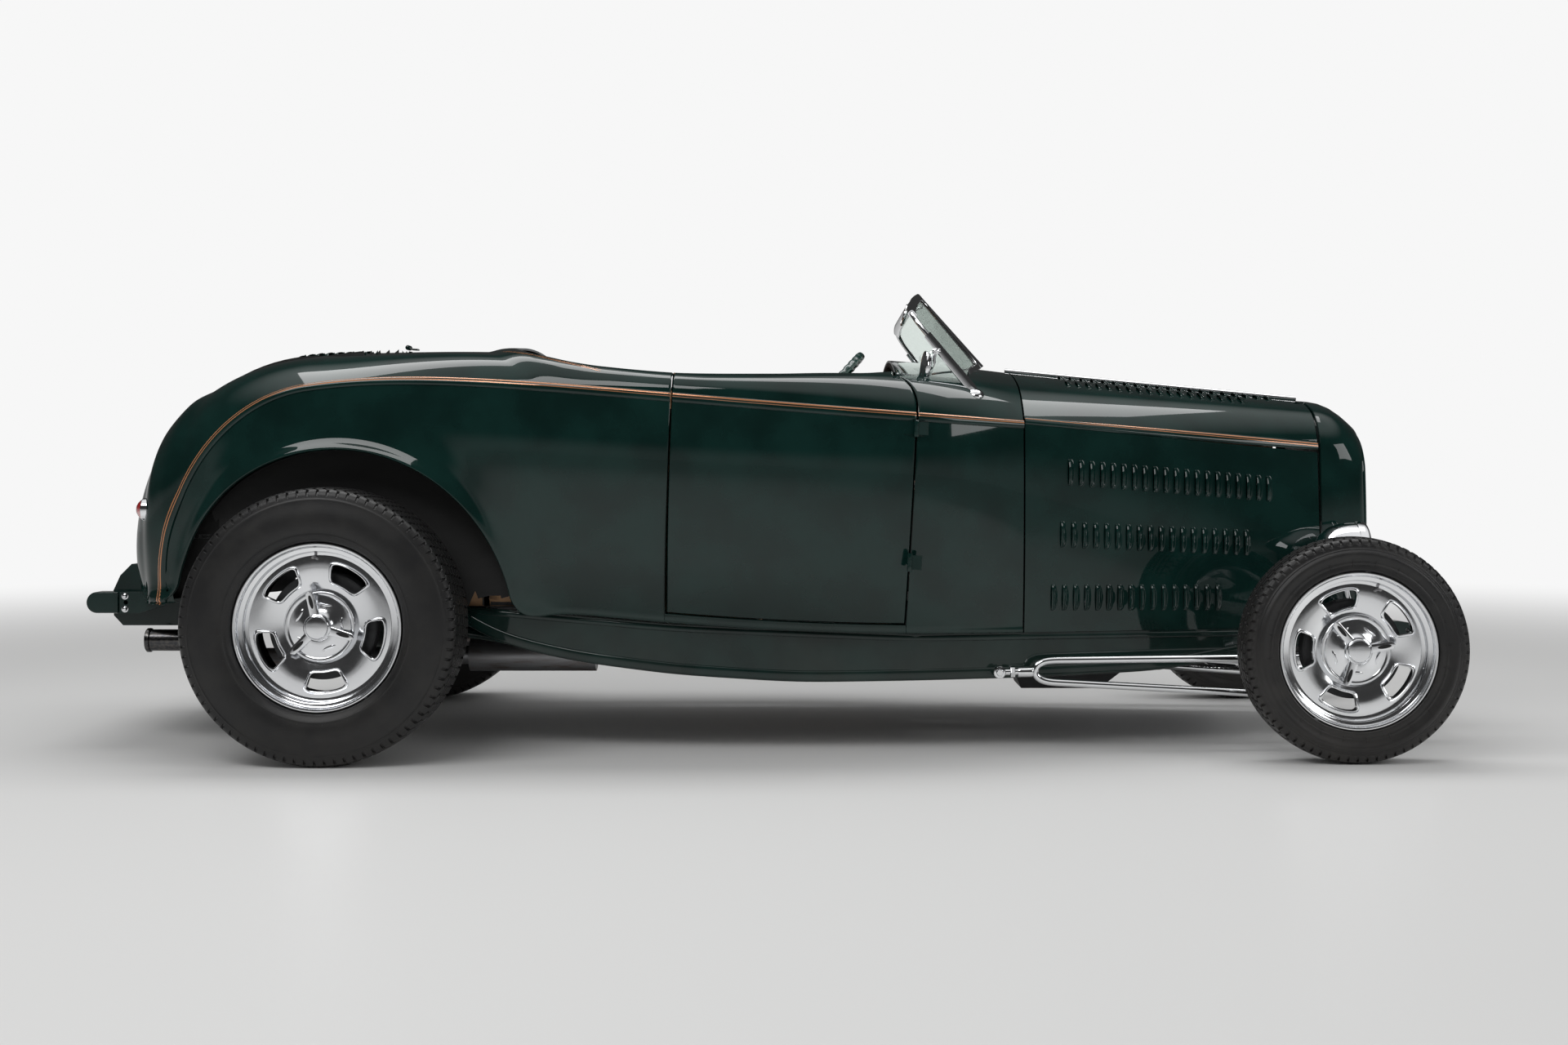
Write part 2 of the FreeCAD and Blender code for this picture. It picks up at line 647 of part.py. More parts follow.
def screen_side():
    """One half of the veed windscreen: its plane, then outline points in (across, up)."""
    base, top = V(COWL_SEAM - 70, 0, 1064), V(COWL_SEAM - 260, 0, 1284)
    foot = V(COWL_SEAM - 131, -500, 978)
    across = foot - base
    across.normalize()
    normal = across.cross(top - base)
    normal.normalize()
    up = normal.cross(across)
    return base, across, up, normal, (foot - base).Length, (top - base).dot(across)


def screen_panel(inset, thickness):
    base, across, up, normal, reach, lean = screen_side()
    rows = [(inset, inset), (reach * 0.5, inset + 22), (reach - inset - 6, inset), (reach - inset, 30 + inset),
            (reach + lean - 40 - inset, 262 - inset), (reach + lean - 84 - inset, 292 - inset),
            (lean + 120, 300 - inset), (lean + inset, 290 - inset)]
    pts = [base + across * a + up * b - normal * (thickness / 2) for a, b in rows]
    return face_of([tuple(p) for p in pts]).extrude(normal * thickness)


def windscreen():
    rim = screen_panel(0, SCREEN_T).cut(screen_panel(SCREEN_BAND, SCREEN_T * 3))
    keep = box(1000, 2200, -700, 0, 900, 1400)
    frame_half = rim.common(keep)
    return fused(both(frame_half))


def glass():
    return both(screen_panel(SCREEN_BAND + FIT, 5.0))


def mirrors():
    x = COWL_SEAM - 290
    inside = rod((x, 0, 1222), (x - 14, 0, 1226), 34)
    arm = rod((x - 2, 0, 1224), (x + 52, 0, 1250), 5)
    return fused([inside, arm])


# ---------------------------------------------------------------- cabin
def floor_pan():
    """Cabin floor, riser and luggage floor, trimmed to the inside of the body."""
    front_end = COWL_SEAM - 22
    tunnel_in, tunnel_out = TUNNEL_HALF - 10, TUNNEL_HALF
    front = box(405, front_end, -700, 700, PAN_Z, PAN_Z + PAN_T)
    step = box(395 - BULKHEAD_T, 405, -700, 700, PAN_Z, PAN_Z + 192)
    rear = box(-560, 390, -700, 700, PAN_Z + 180, PAN_Z + 192)
    hollow = box(DOOR_FRONT - 55, COWL_SEAM + 50, -tunnel_in, tunnel_in, 300, PAN_Z + 78)
    tunnel = box(DOOR_FRONT + 5, front_end, -tunnel_out, tunnel_out, PAN_Z, PAN_Z + 88)
    pan = fused([front.cut(hollow), step, rear, tunnel.cut(hollow)])
    beside_door = box(DOOR_REAR - DOOR_LEAN - 20, DOOR_FRONT + 20, -800, -PAN_HALF, 380, 420)
    return pan.common(body_void()).cut(fused_pair(beside_door))


def dashboard():
    front, rear = COCKPIT_FRONT + 2, COCKPIT_FRONT - 22
    panel = plan_prism([(rear, -480), (front, -505), (front, 505), (rear, 480)], 880, 1040)
    clamp = box(rear + 2, front - 2, WHEEL_CENTRE[1] - 30, WHEEL_CENTRE[1] + 30, 790, 880)
    return fused([panel.common(body_void()), clamp]).cut(column_rod(COLUMN_R + FIT))


def seat():
    floor = PAN_Z + PAN_T + FIT
    cushion = box(548 + FIT, 1010, -500, 500, floor, 640)
    back = side_prism([(410, floor), (548, floor), (520, 1000), (410, 1040)], -500, 500)
    return cushion, back


# steering column: wheel centre, and where the shaft meets the steering box
WHEEL_CENTRE = (DOOR_FRONT - 242, 350.0, 989.0)
WHEEL_RAKE = 48.0            # of the steering wheel's plane above the horizontal
COLUMN_R = 24.0


def column_line(x):
    """The column's point at a station: it runs square to the steering wheel."""
    slope = math.tan(math.radians(90 - WHEEL_RAKE))
    return (x, WHEEL_CENTRE[1], WHEEL_CENTRE[2] - (x - WHEEL_CENTRE[0]) * slope)


def column_rod(radius):
    return rod(column_line(WHEEL_CENTRE[0] + 32), column_line(COWL_SEAM + 40), radius)


def steering_column():
    shaft_end = (PITMAN_X - 74, 318, 262)
    shaft = rod(column_line(COWL_SEAM + 30), shaft_end, 9)
    return fused([column_rod(COLUMN_R), shaft])


def steering_wheel():
    centre = V(*WHEEL_CENTRE)
    rake = math.radians(WHEEL_RAKE)
    normal = V(-math.sin(rake), 0, math.cos(rake))
    rim = Part.makeTorus(185, 11, centre, normal)
    hub_back = V(*column_line(WHEEL_CENTRE[0] + 32)) + normal * FIT
    hub = Part.makeCylinder(26, (centre - hub_back).Length + 8, hub_back, normal)
    spokes = []
    for angle in (0, 90, 180, 270):
        spoke = Part.makeBox(180, 20, 8, V(4, -10, -4))
        spoke.rotate(V(0, 0, 0), V(0, 0, 1), angle)
        spoke.rotate(V(0, 0, 0), V(0, 1, 0), -WHEEL_RAKE)
        spoke.translate(centre)
        spokes.append(spoke)
    return fused([rim, hub] + spokes)


def steering_box():
    front = PITMAN_X + 32
    rail = rail_half(front) - RAIL_WALL - FIT
    body = box(front - 100, front, 288, rail, 226, 300)
    sector = rod((PITMAN_X, PITMAN_Y, PITMAN_Z + 14), (PITMAN_X, PITMAN_Y, 230), 13)
    return fused([body, sector])


def pitman_arm():
    z = PITMAN_Z
    end = PITMAN_X - STEER_ARM
    hub = rod((PITMAN_X, PITMAN_Y, z), (PITMAN_X, PITMAN_Y, z + 14 - FIT), 22)
    arm = box(end, PITMAN_X, PITMAN_Y - 11, PITMAN_Y + 11, z, z + 12)
    eye = rod((end, PITMAN_Y, z), (end, PITMAN_Y, z + 12), 17)
    hole = rod((end, PITMAN_Y, z - 10), (end, PITMAN_Y, z + 30), STUD_R + FIT)
    return fused([hub, arm, eye]).cut(hole)


def drag_link():
    end = (PITMAN_X - STEER_ARM, PITMAN_Y, PITMAN_Z - 14)
    tie = (WHEELBASE - STEER_ARM, LINK_Y, STEER_ARM_Z - 8)
    stud = rod((end[0], end[1], end[2] - 12), (end[0], end[1], PITMAN_Z + 18), STUD_R)
    joint = rod((end[0], end[1], end[2] - 13), (end[0], end[1], end[2] + 12), 15)
    link = rod(end, (tie[0] - 24, tie[1] + 30, tie[2]), 10)
    clamp = box(tie[0] - 30, tie[0] - 11 - FIT, tie[1] - 16, tie[1] + 34, tie[2] - 12, tie[2] + 12)
    return fused([stud, joint, link, clamp])


# ---------------------------------------------------------------- engine and drive
def engine():
    rear, front = COWL_SEAM + 30, WHEELBASE - 192
    pan = side_prism([(rear + 20, 330), (rear - 18, 190), (rear + 10, 122), (rear + 240, 122),
                      (rear + 330, 190), (front - 20, 205), (front + 20, 330)], -95, 95)
    block = side_prism([(rear, 330), (front, 330), (front, 560), (rear, 560)], -190, 190)
    heads = [box(rear + 40, front - 60, y - 90, y + 90, 540, 690) for y in (-170, 170)]
    intake = box(rear + 100, front - 120, -90, 90, 560, 820)
    bell = rod((rear - 180, 0, 320), (rear + 4, 0, 350), 110)
    gearbox = side_prism([(GEARBOX_REAR + FIT, 250), (rear - 160, 236), (rear - 160, 385),
                          (GEARBOX_REAR + FIT, 372)], -85, 85)
    mounts = []
    for y in (-1, 1):
        half = rail_half(rear + 230) - RAIL_WALL - FIT
        mounts.append(box(rear + 170, rear + 230, min(y * 90, y * half), max(y * 90, y * half),
                          262, 300))
    return fused([pan, block, intake, bell, gearbox] + heads + mounts)


def driveshaft():
    rear_z = REAR_TYRE_R
    yoke = GEARBOX_REAR - 38
    return fused([rod((GEARBOX_REAR, 0, 310), (yoke - 30, 0, 310), 30),
                  rod((yoke, 0, 310), (190, 0, rear_z), 36),
                  rod((220, 0, rear_z), (150 + FIT, 0, rear_z), 30)])


def rear_axle():
    half = REAR_TRACK / 2
    tube_ = rod((0, -half + 62, REAR_TYRE_R), (0, half - 62, REAR_TYRE_R), AXLE_TUBE_R)
    carrier = Part.makeSphere(128, V(0, 0, REAR_TYRE_R))
    nose = rod((60, 0, REAR_TYRE_R), (150, 0, REAR_TYRE_R), 58)
    plates = both(rod((0, -half + 30, REAR_TYRE_R), (0, -half + 64, REAR_TYRE_R), 120))
    stubs = both(rod((0, -half - 66, REAR_TYRE_R), (0, -half + 40, REAR_TYRE_R), 22))
    lugs = both(box(10, 40 - FIT, -312, -288, REAR_TYRE_R - 36, REAR_TYRE_R - 4))
    return fused([tube_, carrier, nose] + plates + stubs + lugs)


def rear_suspension():
    parts = []
    for y in (-1, 1):
        foot = REAR_TYRE_R + AXLE_TUBE_R + FIT
        parts.append(rod((30, y * 360, foot), (30, y * 360, 510 - FIT), 34))
        eye_z = REAR_TYRE_R - 20
        arm = rod((52, y * 300, eye_z), (ARM_X - 12, y * ARM_FRAME_Y, 262), 15)
        ends = [box(40, 62, y * 300 - 12, y * 300 + 12, eye_z - 14, eye_z + 14),
                box(ARM_X - 26, ARM_X - FIT, y * ARM_FRAME_Y - 16, y * ARM_FRAME_Y + 16, 246, 278)]
        parts.append(fused([arm] + ends))
    return parts


def exhaust():
    pipes = []
    low, high = (COWL_SEAM + 48, 236, 210), (COWL_SEAM + 210, 226, 420)
    for y in (-1, 1):
        muffler = rod((300, y * 250, 236), (660, y * 250, 236), 46)
        front = rod((640, y * 250, 236), (low[0], y * low[1], low[2]), PIPE_R)
        down = rod((low[0], y * low[1], low[2]), (high[0], y * high[1], high[2]), PIPE_R)
        rear = rod((320, y * 250, 236), (-330, y * 330, 236), PIPE_R)
        sweep = rod((-330, y * 330, 236), (-420, y * TIP_Y, TIP_Z - 4), PIPE_R)
        joints = [Part.makeSphere(PIPE_R, V(-330, y * 330, 236)),
                  Part.makeSphere(PIPE_R, V(low[0], y * low[1], low[2])),
                  Part.makeSphere(PIPE_R, V(high[0], y * high[1], high[2])),
                  rod((high[0], y * high[1], high[2]), (high[0], y * high[1], 540 - FIT), PIPE_R)]
        end = rod((-410, y * TIP_Y, TIP_Z), (-567, y * TIP_Y, TIP_Z), TIP_R)
        bore = rod((-450, y * TIP_Y, TIP_Z), (-580, y * TIP_Y, TIP_Z), TIP_R - 4)
        pipes.append(fused([muffler, front, down, rear, sweep, end] + joints).cut(bore))
    return pipes


# ---------------------------------------------------------------- front axle
def front_axle():
    centre = box(WHEELBASE - 20, WHEELBASE + 20, -400, 400, AXLE_BEAM_Z - 27, AXLE_BEAM_Z + 27)
    ends = []
    for side in (-1, 1):
        outline = [(side * 398, AXLE_BEAM_Z - 27), (side * 398, AXLE_BEAM_Z + 27),
                   (side * 450, AXLE_BEAM_Z + 42), (side * 540, FRONT_TYRE_R + 22),
                   (side * 596, FRONT_TYRE_R + 22), (side * 596, FRONT_TYRE_R - 26),
                   (side * 552, FRONT_TYRE_R - 30), (side * 478, AXLE_BEAM_Z - 18)]
        arm = face_of([(WHEELBASE - 20, y, z) for y, z in outline]).extrude(V(40, 0, 0))
        boss = rod((WHEELBASE, side * KINGPIN_Y, FRONT_TYRE_R - AXLE_BOSS_H / 2),
                   (WHEELBASE, side * KINGPIN_Y, FRONT_TYRE_R + AXLE_BOSS_H / 2), AXLE_BOSS_R)
        ends += [arm, boss]
    perches = both(box(WHEELBASE - 16, WHEELBASE + 16, -446, -414, AXLE_BEAM_Z + 10,
                       SPRING_END_Z - FIT))
    beam = fused([centre] + ends + perches)
    for side in (-1, 1):
        beam = beam.cut(rod((WHEELBASE, side * KINGPIN_Y, 100),
                            (WHEELBASE, side * KINGPIN_Y, 500), KINGPIN_R + FIT))
    return beam


def front_spring():
    """Cross spring of bowed leaves, hung from the front crossmember."""
    top = 306 - FIT
    leaf_t = 8.0
    leaves = []
    for i, half in enumerate((445, 340, 240, 140)):
        mid = top - leaf_t * (4 - i)
        sag = (top - 4 * leaf_t - SPRING_END_Z) * (half / 445.0) ** 2
        low, end = V(SPRING_X, 0, mid), mid - sag
        thick = leaf_t + 0.2
        lower = Part.Arc(V(SPRING_X, -half, end), low, V(SPRING_X, half, end)).toShape()
        upper = Part.Arc(V(SPRING_X, half, end + thick), V(SPRING_X, 0, min(mid + thick, top)),
                         V(SPRING_X, -half, end + thick)).toShape()
        wire = Part.Wire([
            lower, Part.makeLine(V(SPRING_X, half, end), V(SPRING_X, half, end + thick)),
            upper, Part.makeLine(V(SPRING_X, -half, end + thick), V(SPRING_X, -half, end))])
        leaves.append(Part.Face(wire).extrude(V(44, 0, 0)))
    return fused(leaves)


def hairpin(side):
    frame_end = (HAIRPIN_X, side * HAIRPIN_FRAME_Y, HAIRPIN_Z)
    yoke = (HAIRPIN_X + 90, side * (HAIRPIN_FRAME_Y - 6), HAIRPIN_Z)
    back = WHEELBASE - 20 - FIT
    upper_start = (yoke[0] + 30, yoke[1], HAIRPIN_Z + 30)
    lower_start = (yoke[0] + 30, yoke[1], HAIRPIN_Z - 26)
    shapes = [
        rod((HAIRPIN_X, side * (rail_half(HAIRPIN_X) + 5 + FIT), HAIRPIN_Z), frame_end, 9),
        rod((HAIRPIN_X - 14, frame_end[1], HAIRPIN_Z), (HAIRPIN_X + 14, frame_end[1], HAIRPIN_Z), 16),
        rod(frame_end, yoke, 10),
        rod((yoke[0], yoke[1], HAIRPIN_Z - 10), upper_start, 11),
        rod((yoke[0], yoke[1], HAIRPIN_Z + 8), lower_start, 10),
        rod(upper_start, (back - 6, side * HAIRPIN_Y, 250), 11),
        rod(lower_start, (back - 6, side * HAIRPIN_Y, 142), 9),
        Part.makeSphere(11, V(*upper_start)), Part.makeSphere(10, V(*lower_start)),
        box(back - 24, back, side * HAIRPIN_Y - 8, side * HAIRPIN_Y + 8, 132, 262),
    ]
    return fused(shapes)


# ---------------------------------------------------------------- steering
def knuckle(side):
    x, y, z = WHEELBASE, side * KINGPIN_Y, FRONT_TYRE_R
    lug_z = AXLE_BOSS_H / 2 + FIT
    out = side * (KINGPIN_Y + AXLE_BOSS_R + 6)
    wheel_face = side * (FRONT_TRACK / 2 + 22)
    shapes = [
        rod((x, y, z - lug_z - 16), (x, y, z + lug_z + 16), KINGPIN_R),
        rod((x, y, z + lug_z), (x, y, z + lug_z + 16), 22),
        rod((x, y, z - lug_z - 16), (x, y, z - lug_z), 22),
        box(x - 22, x + 22, min(out, out + side * 14), max(out, out + side * 14),
            z - lug_z - 16, z + lug_z + 16),
        box(x - 20, x + 20, min(y, out), max(y, out), z + lug_z, z + lug_z + 16),
        box(x - 20, x + 20, min(y, out), max(y, out), z - lug_z - 16, z - lug_z),
        rod((x, out, z), (x, wheel_face, z), 18),
        rod((x, out + side * 12, z), (x, out + side * 20, z), 60),
        rod((x, side * (FRONT_TRACK / 2 - 62), z), (x, side * (FRONT_TRACK / 2 - 54), z), 118),
        side_prism([(x - 18, z - lug_z - 16), (x + 18, z - lug_z - 16), (x + 18, z - lug_z - 2),
                    (x - 18, z - lug_z - 2)], min(y - 14, y + 14), max(y - 14, y + 14)),
    ]
    arm_top = STEER_ARM_Z + 46
    arm = rod((x, y, arm_top - 6), (x - STEER_ARM, y, STEER_ARM_Z + 24), 11)
    eye = rod((x - STEER_ARM, y, STEER_ARM_Z + 14), (x - STEER_ARM, y, STEER_ARM_Z + 32), 17)
    body = fused(shapes + [arm, eye])
    hole = rod((x - STEER_ARM, y, 0), (x - STEER_ARM, y, 400), STUD_R + FIT)
    return body.cut(hole)


def tie_rod():
    x, z = WHEELBASE - STEER_ARM, STEER_ARM_Z - 8
    shapes = [rod((x, -KINGPIN_Y, z), (x, KINGPIN_Y, z), 11)]
    for side in (-1, 1):
        y = side * KINGPIN_Y
        shapes += [rod((x, y, z - 16), (x, y, z + 18), 16),
                   rod((x, y, z + 16), (x, y, STEER_ARM_Z + 36), STUD_R)]
    return fused(shapes)


# ---------------------------------------------------------------- wheels
def tyre(centre, radius, width, lip, rim_width):
    half, rim_half = width / 2, rim_width / 2
    seat, tread = lip - 16 + FIT, width / 2 - 22
    side = [(seat, rim_half - 15), (lip - 9, rim_half - 4), (lip + 2, rim_half - 3),
            (lip + 5, rim_half + 10), (lip + 24, half - 3), ((lip + radius) / 2 + 8, half),
            (radius - 26, half - 8), (radius - 8, tread + 4), (radius, tread - 12)]
    profile = side + [(r, -y) for r, y in side[::-1]]
    return revolved(profile, centre)


def rim(centre, side, lip, width, hub_bore, spinner_turn, slot_turn):
    """Slotted wheel with knock-off spinner: barrel, dished disc, hub drum and bars."""
    half = width / 2
    seat = lip - 16
    barrel = [(lip, half), (lip - 4, half + 4), (lip - 18, half - 2), (seat - 10, half - 20),
              (seat - 32, half - 44), (seat - 32, -half + 50), (seat - 10, -half + 16),
              (lip - 18, -half + 2), (lip - 4, -half - 4), (lip, -half), (lip - 10, -half + 1),
              (seat, -half + 12), (seat, -half + 24), (seat - 24, -half + 52),
              (seat - 24, half - 52), (seat, half - 26), (seat, half - 14), (lip - 10, half - 1)]
    face = half - 30
    disc = [(hub_bore, face - 30), (hub_bore, face + 10), (88, face + 10), (94, face + 4),
            (98, face - 8), (120, face - 6), (seat - 30, face - 10), (seat - 30, face - 22),
            (96, face - 20), (92, face - 30)]
    slots = []
    for i in range(5):
        inner, outer = 106.0, seat - 44
        ring = Part.makeCylinder(outer, 80, V(0, face - 50, 0), V(0, 1, 0), 38)
        ring = ring.cut(Part.makeCylinder(inner, 90, V(0, face - 55, 0), V(0, 1, 0)))
        ring.rotate(V(0, 0, 0), V(0, 1, 0), slot_turn + 72 * i - 19)
        slots.append(ring)
    wheel = revolved(barrel, (0, 0, 0)).fuse(revolved(disc, (0, 0, 0)))
    wheel = wheel.cut(Part.makeCompound(slots))
    cap = rod((0, face + 8, 0), (0, face + 40, 0), 32)
    bars = []
    for i in range(3):
        bar = side_prism([(20, -11), (98, -9), (98, 9), (20, 11)], face + 12, face + 26)
        bar.rotate(V(0, 0, 0), V(0, 1, 0), spinner_turn + 120 * i)
        bars.append(bar)
    wheel = fused([wheel, cap] + bars)
    if side < 0:
        wheel = mirrored(wheel)
    wheel.translate(V(*centre))
    return wheel


def drum(centre, side, radius, inboard, outboard, bore):
    """Finned brake drum, open towards its backing plate."""
    profile = [(bore, outboard), (bore, outboard - 10), (radius - 12, outboard - 10),
               (radius - 12, inboard), (radius, inboard), (radius, outboard)]
    shape = revolved(profile, (0, 0, 0))
    if side < 0:
        shape = mirrored(shape)
    shape.translate(V(*centre))
    return shape


# ---------------------------------------------------------------- hinges
HINGE_TOP = (DOOR_FRONT - 4, 876.0)     # station and height of the door barrels
HINGE_LOW = (DOOR_FRONT - 22, 520.0)
HINGE_Y = 655.0
HINGE_R = 7.0
HINGE_HALF = 22.0
LID_HINGES = (-250.0, 250.0)


def hinge_barrel(x, z, radius, half):
    """A door barrel along the leaning hinge line through both hinges."""
    (x1, z1), (x0, z0) = HINGE_TOP, HINGE_LOW
    lean = (x1 - x0) / (z1 - z0)
    return rod((x - lean * half, -HINGE_Y, z - half), (x + lean * half, -HINGE_Y, z + half), radius)


def door_hinges(outer):
    """Barrels and cowl leaves of the right-hand door, seated on the body."""
    shapes = []
    for x, z in (HINGE_TOP, HINGE_LOW):
        leaf = box(x, x + 36, -HINGE_Y - 3, -590, z - 20, z + 20).cut(outer)
        shapes.append(fused([hinge_barrel(x, z, HINGE_R, HINGE_HALF), leaf]))
    return shapes


def door_with_leaves(door):
    """The right-hand door with its hinge leaves, which end at the barrels."""
    for x, z in (HINGE_TOP, HINGE_LOW):
        leaf = box(x - 40, x, -HINGE_Y - 3, -620, z - 16, z + 16)
        leaf = leaf.cut(hinge_barrel(x, z, HINGE_R + FIT, 60))
        leaf = leaf.cut(box(x - 7, x + 60, -HINGE_Y, -500, z - 30, z + 30))
        door = door.fuse(leaf)
    return door.removeSplitter()


def lid_axis():
    return (LID_FRONT + SHUT_GAP / 2, BODY_SECTIONS[-1][-1] + LID_HINGE_RISE)


def lid_hinges(outer):
    x, z = lid_axis()
    shapes = []
    for y in LID_HINGES:
        leaf = box(x, x + 34, y - 18, y + 18, z - 90, z + 3).cut(outer)
        shapes.append(fused([rod((x, y - 20, z), (x, y + 20, z), HINGE_R), leaf]))
    return shapes


def lid_with_leaves(lid):
    x, z = lid_axis()
    for y in LID_HINGES:
        leaf = box(x - 40, x, y - 16, y + 16, z - 34, z + 3)
        leaf = leaf.cut(rod((x, y - 60, z), (x, y + 60, z), HINGE_R + FIT))
        leaf = leaf.cut(box(x - SHUT_GAP / 2, x + 20, y - 60, y + 60, z - 60, z))
        lid = lid.fuse(leaf)
    return lid.removeSplitter()


def main():
    os.makedirs("parts", exist_ok=True)
    outer = body_outer()
    shell = body_shell()
    door = door_with_leaves(shell.common(door_prism(0)))
    lid = louvred(lid_with_leaves(shell.common(lid_prism(0))), lid_rows())
    tub = shell.cut(door_prism(SHUT_GAP)).cut(mirrored(door_prism(SHUT_GAP)))
    tub = tub.cut(lid_prism(SHUT_GAP)).cut(column_rod(COLUMN_R + FIT))
    tub = tub.cut(box(COWL_SEAM - 40, COWL_SEAM + 20, 8 - TUNNEL_HALF, TUNNEL_HALF - 8,
                      300, PAN_Z + 80))
    tub = tub.cut(fused_pair(frame_rail(2.0)))
    export("body_tub", tub)
    export("door_right", door)
    export("door_left", mirrored(door))
    export("deck_lid", lid)
    export("body_hinges", [h for hinge in door_hinges(outer) for h in both(hinge)]
           + lid_hinges(outer))
    side_rails = rails()
    export("frame", side_rails)
    export("crossmembers", crossmembers(side_rails))
    export("spreader_bars", spreader_bars())
    export("fuel_tank", fuel_tank())
    top, side = hood_panels()
    export("hood_top_right", top)
    export("hood_top_left", mirrored(top))
    export("hood_sides", both(side))
    export("hood_hinge", hood_hinge())
    export("grille_shell", grille_shell())
    export("grille_insert", grille_insert())
    export("radiator", radiator())
    export("headlamps", [headlamp(-LAMP_Y), headlamp(LAMP_Y)])
    export("tail_lamps", [tail_lamp(-TAIL_LAMP_Y, outer), tail_lamp(TAIL_LAMP_Y, outer)])
    screen = windscreen().cut(outer)
    export("windscreen_frame", screen)
    export("windscreen_glass", [pane.cut(outer) for pane in glass()])
    export("mirror", mirrors().cut(screen))
    export("floor_pan", floor_pan())
    export("dashboard", dashboard())
    cushion, back = seat()
    export("seat_cushion", cushion)
    export("seat_back", back)
    export("steering_column", steering_column())
    export("steering_wheel", steering_wheel())
    export("steering_box", steering_box())
    export("pitman_arm", pitman_arm())
    export("drag_link", drag_link())
    export("tie_rod", tie_rod())
    export("engine", engine())
    export("driveshaft", driveshaft())
    export("rear_axle", rear_axle())
    export("rear_suspension", rear_suspension())
    export("exhaust", exhaust())
    export("front_axle", front_axle())
    export("front_spring", front_spring())
    export("hairpins", [hairpin(-1), hairpin(1)])
    export("knuckle_left", knuckle(1))
    export("knuckle_right", knuckle(-1))
    for name, side in (("right", -1), ("left", 1)):
        rear = (0, side * REAR_TRACK / 2, REAR_TYRE_R)
        front = (WHEELBASE, side * FRONT_TRACK / 2, FRONT_TYRE_R)
        export("tyre_rear_" + name,
               tyre(rear, REAR_TYRE_R, REAR_TYRE_W, REAR_RIM_R, REAR_RIM_W))
        export("tyre_front_" + name,
               tyre(front, FRONT_TYRE_R, FRONT_TYRE_W, FRONT_RIM_R, FRONT_RIM_W))
        export("wheel_rear_" + name, [
            rim(rear, side, REAR_RIM_R, REAR_RIM_W, 22 + FIT, 14, 60),
            drum(rear, side, 140, -29, REAR_RIM_W / 2 - 60 - FIT, 22 + FIT)])
        export("wheel_front_" + name, [
            rim(front, side, FRONT_RIM_R, FRONT_RIM_W, 18 + FIT, 10, 36),
            drum(front, side, 130, -52, FRONT_RIM_W / 2 - 60 - FIT, 18 + FIT)])


main()
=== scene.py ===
# %% [markdown]
# # A street rod roadster, dressed for a close look
#
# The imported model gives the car's measures, its joints and plain shapes for every piece.
# This lesson builds the finish around it: body panels, louvres, wheels, tyres, glass and
# trim are surfaces worked out with numpy, and every finish is a small net of shader nodes.
# Lengths are millimetres while a shape is worked out, in stations measured forward from
# the rear axle, and metres once it becomes a mesh.

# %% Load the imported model
import json
import math
import bpy
import bmesh
import numpy as np
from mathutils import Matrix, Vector
from mathutils.bvhtree import BVHTree

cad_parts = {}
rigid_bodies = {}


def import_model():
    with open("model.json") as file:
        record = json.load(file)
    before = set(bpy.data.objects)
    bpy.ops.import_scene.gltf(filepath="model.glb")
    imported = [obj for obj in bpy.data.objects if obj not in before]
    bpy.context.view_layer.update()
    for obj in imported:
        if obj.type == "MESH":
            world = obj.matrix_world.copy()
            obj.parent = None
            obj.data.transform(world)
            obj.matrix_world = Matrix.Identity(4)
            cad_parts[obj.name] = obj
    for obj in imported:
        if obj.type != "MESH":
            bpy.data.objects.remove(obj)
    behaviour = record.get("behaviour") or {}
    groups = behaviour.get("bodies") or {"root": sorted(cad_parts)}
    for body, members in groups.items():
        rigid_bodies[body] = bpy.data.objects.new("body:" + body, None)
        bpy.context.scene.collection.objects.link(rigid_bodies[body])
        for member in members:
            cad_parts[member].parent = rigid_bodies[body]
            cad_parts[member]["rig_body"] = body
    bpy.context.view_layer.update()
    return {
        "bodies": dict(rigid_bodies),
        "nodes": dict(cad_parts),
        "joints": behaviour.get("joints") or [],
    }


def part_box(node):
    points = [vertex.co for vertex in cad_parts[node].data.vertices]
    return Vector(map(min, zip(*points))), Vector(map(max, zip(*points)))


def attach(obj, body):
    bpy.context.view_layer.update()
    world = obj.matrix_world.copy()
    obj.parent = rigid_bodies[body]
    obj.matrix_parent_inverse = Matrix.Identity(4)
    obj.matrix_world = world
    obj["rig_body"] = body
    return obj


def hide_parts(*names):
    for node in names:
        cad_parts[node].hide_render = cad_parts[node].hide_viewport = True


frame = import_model()
NODES, BODIES = frame["nodes"], frame["bodies"]

# %% [markdown]
# The stations' zero is the rear axle, and the model's origin is the middle of its length.
# The two hinge points of a wheel tell where the axles are, so nothing is typed twice.

# %% Axles and the step from stations to the model
JOINT = {j["name"]: np.array(j["pos_m"]) for j in frame["joints"]}
AXLE_REAR = JOINT["wheel_rear_left_spin"]
AXLE_FRONT = JOINT["wheel_front_left_spin"]
WHEELBASE = 1000 * (AXLE_FRONT[0] - AXLE_REAR[0])
SIDES = ((-1, "right"), (1, "left"))  # the sign of y on each side of the car


def metres(points):
    """Points in millimetres and stations, as metres in the model's frame."""
    return np.asarray(points, float) / 1000 + np.array([AXLE_REAR[0], 0, 0])


print("wheelbase %.0f mm" % WHEELBASE)

# %% [markdown]
# ## From numbers to meshes
#
# Most pieces here are grids: an array of rows by columns of points, where neighbours make
# a four-sided face. A ring closes on itself, a sheet doesn't. The helpers below turn grids
# into faces, sweep a profile along a path, spin one round an axle, and hand the result to
# Blender in one go.

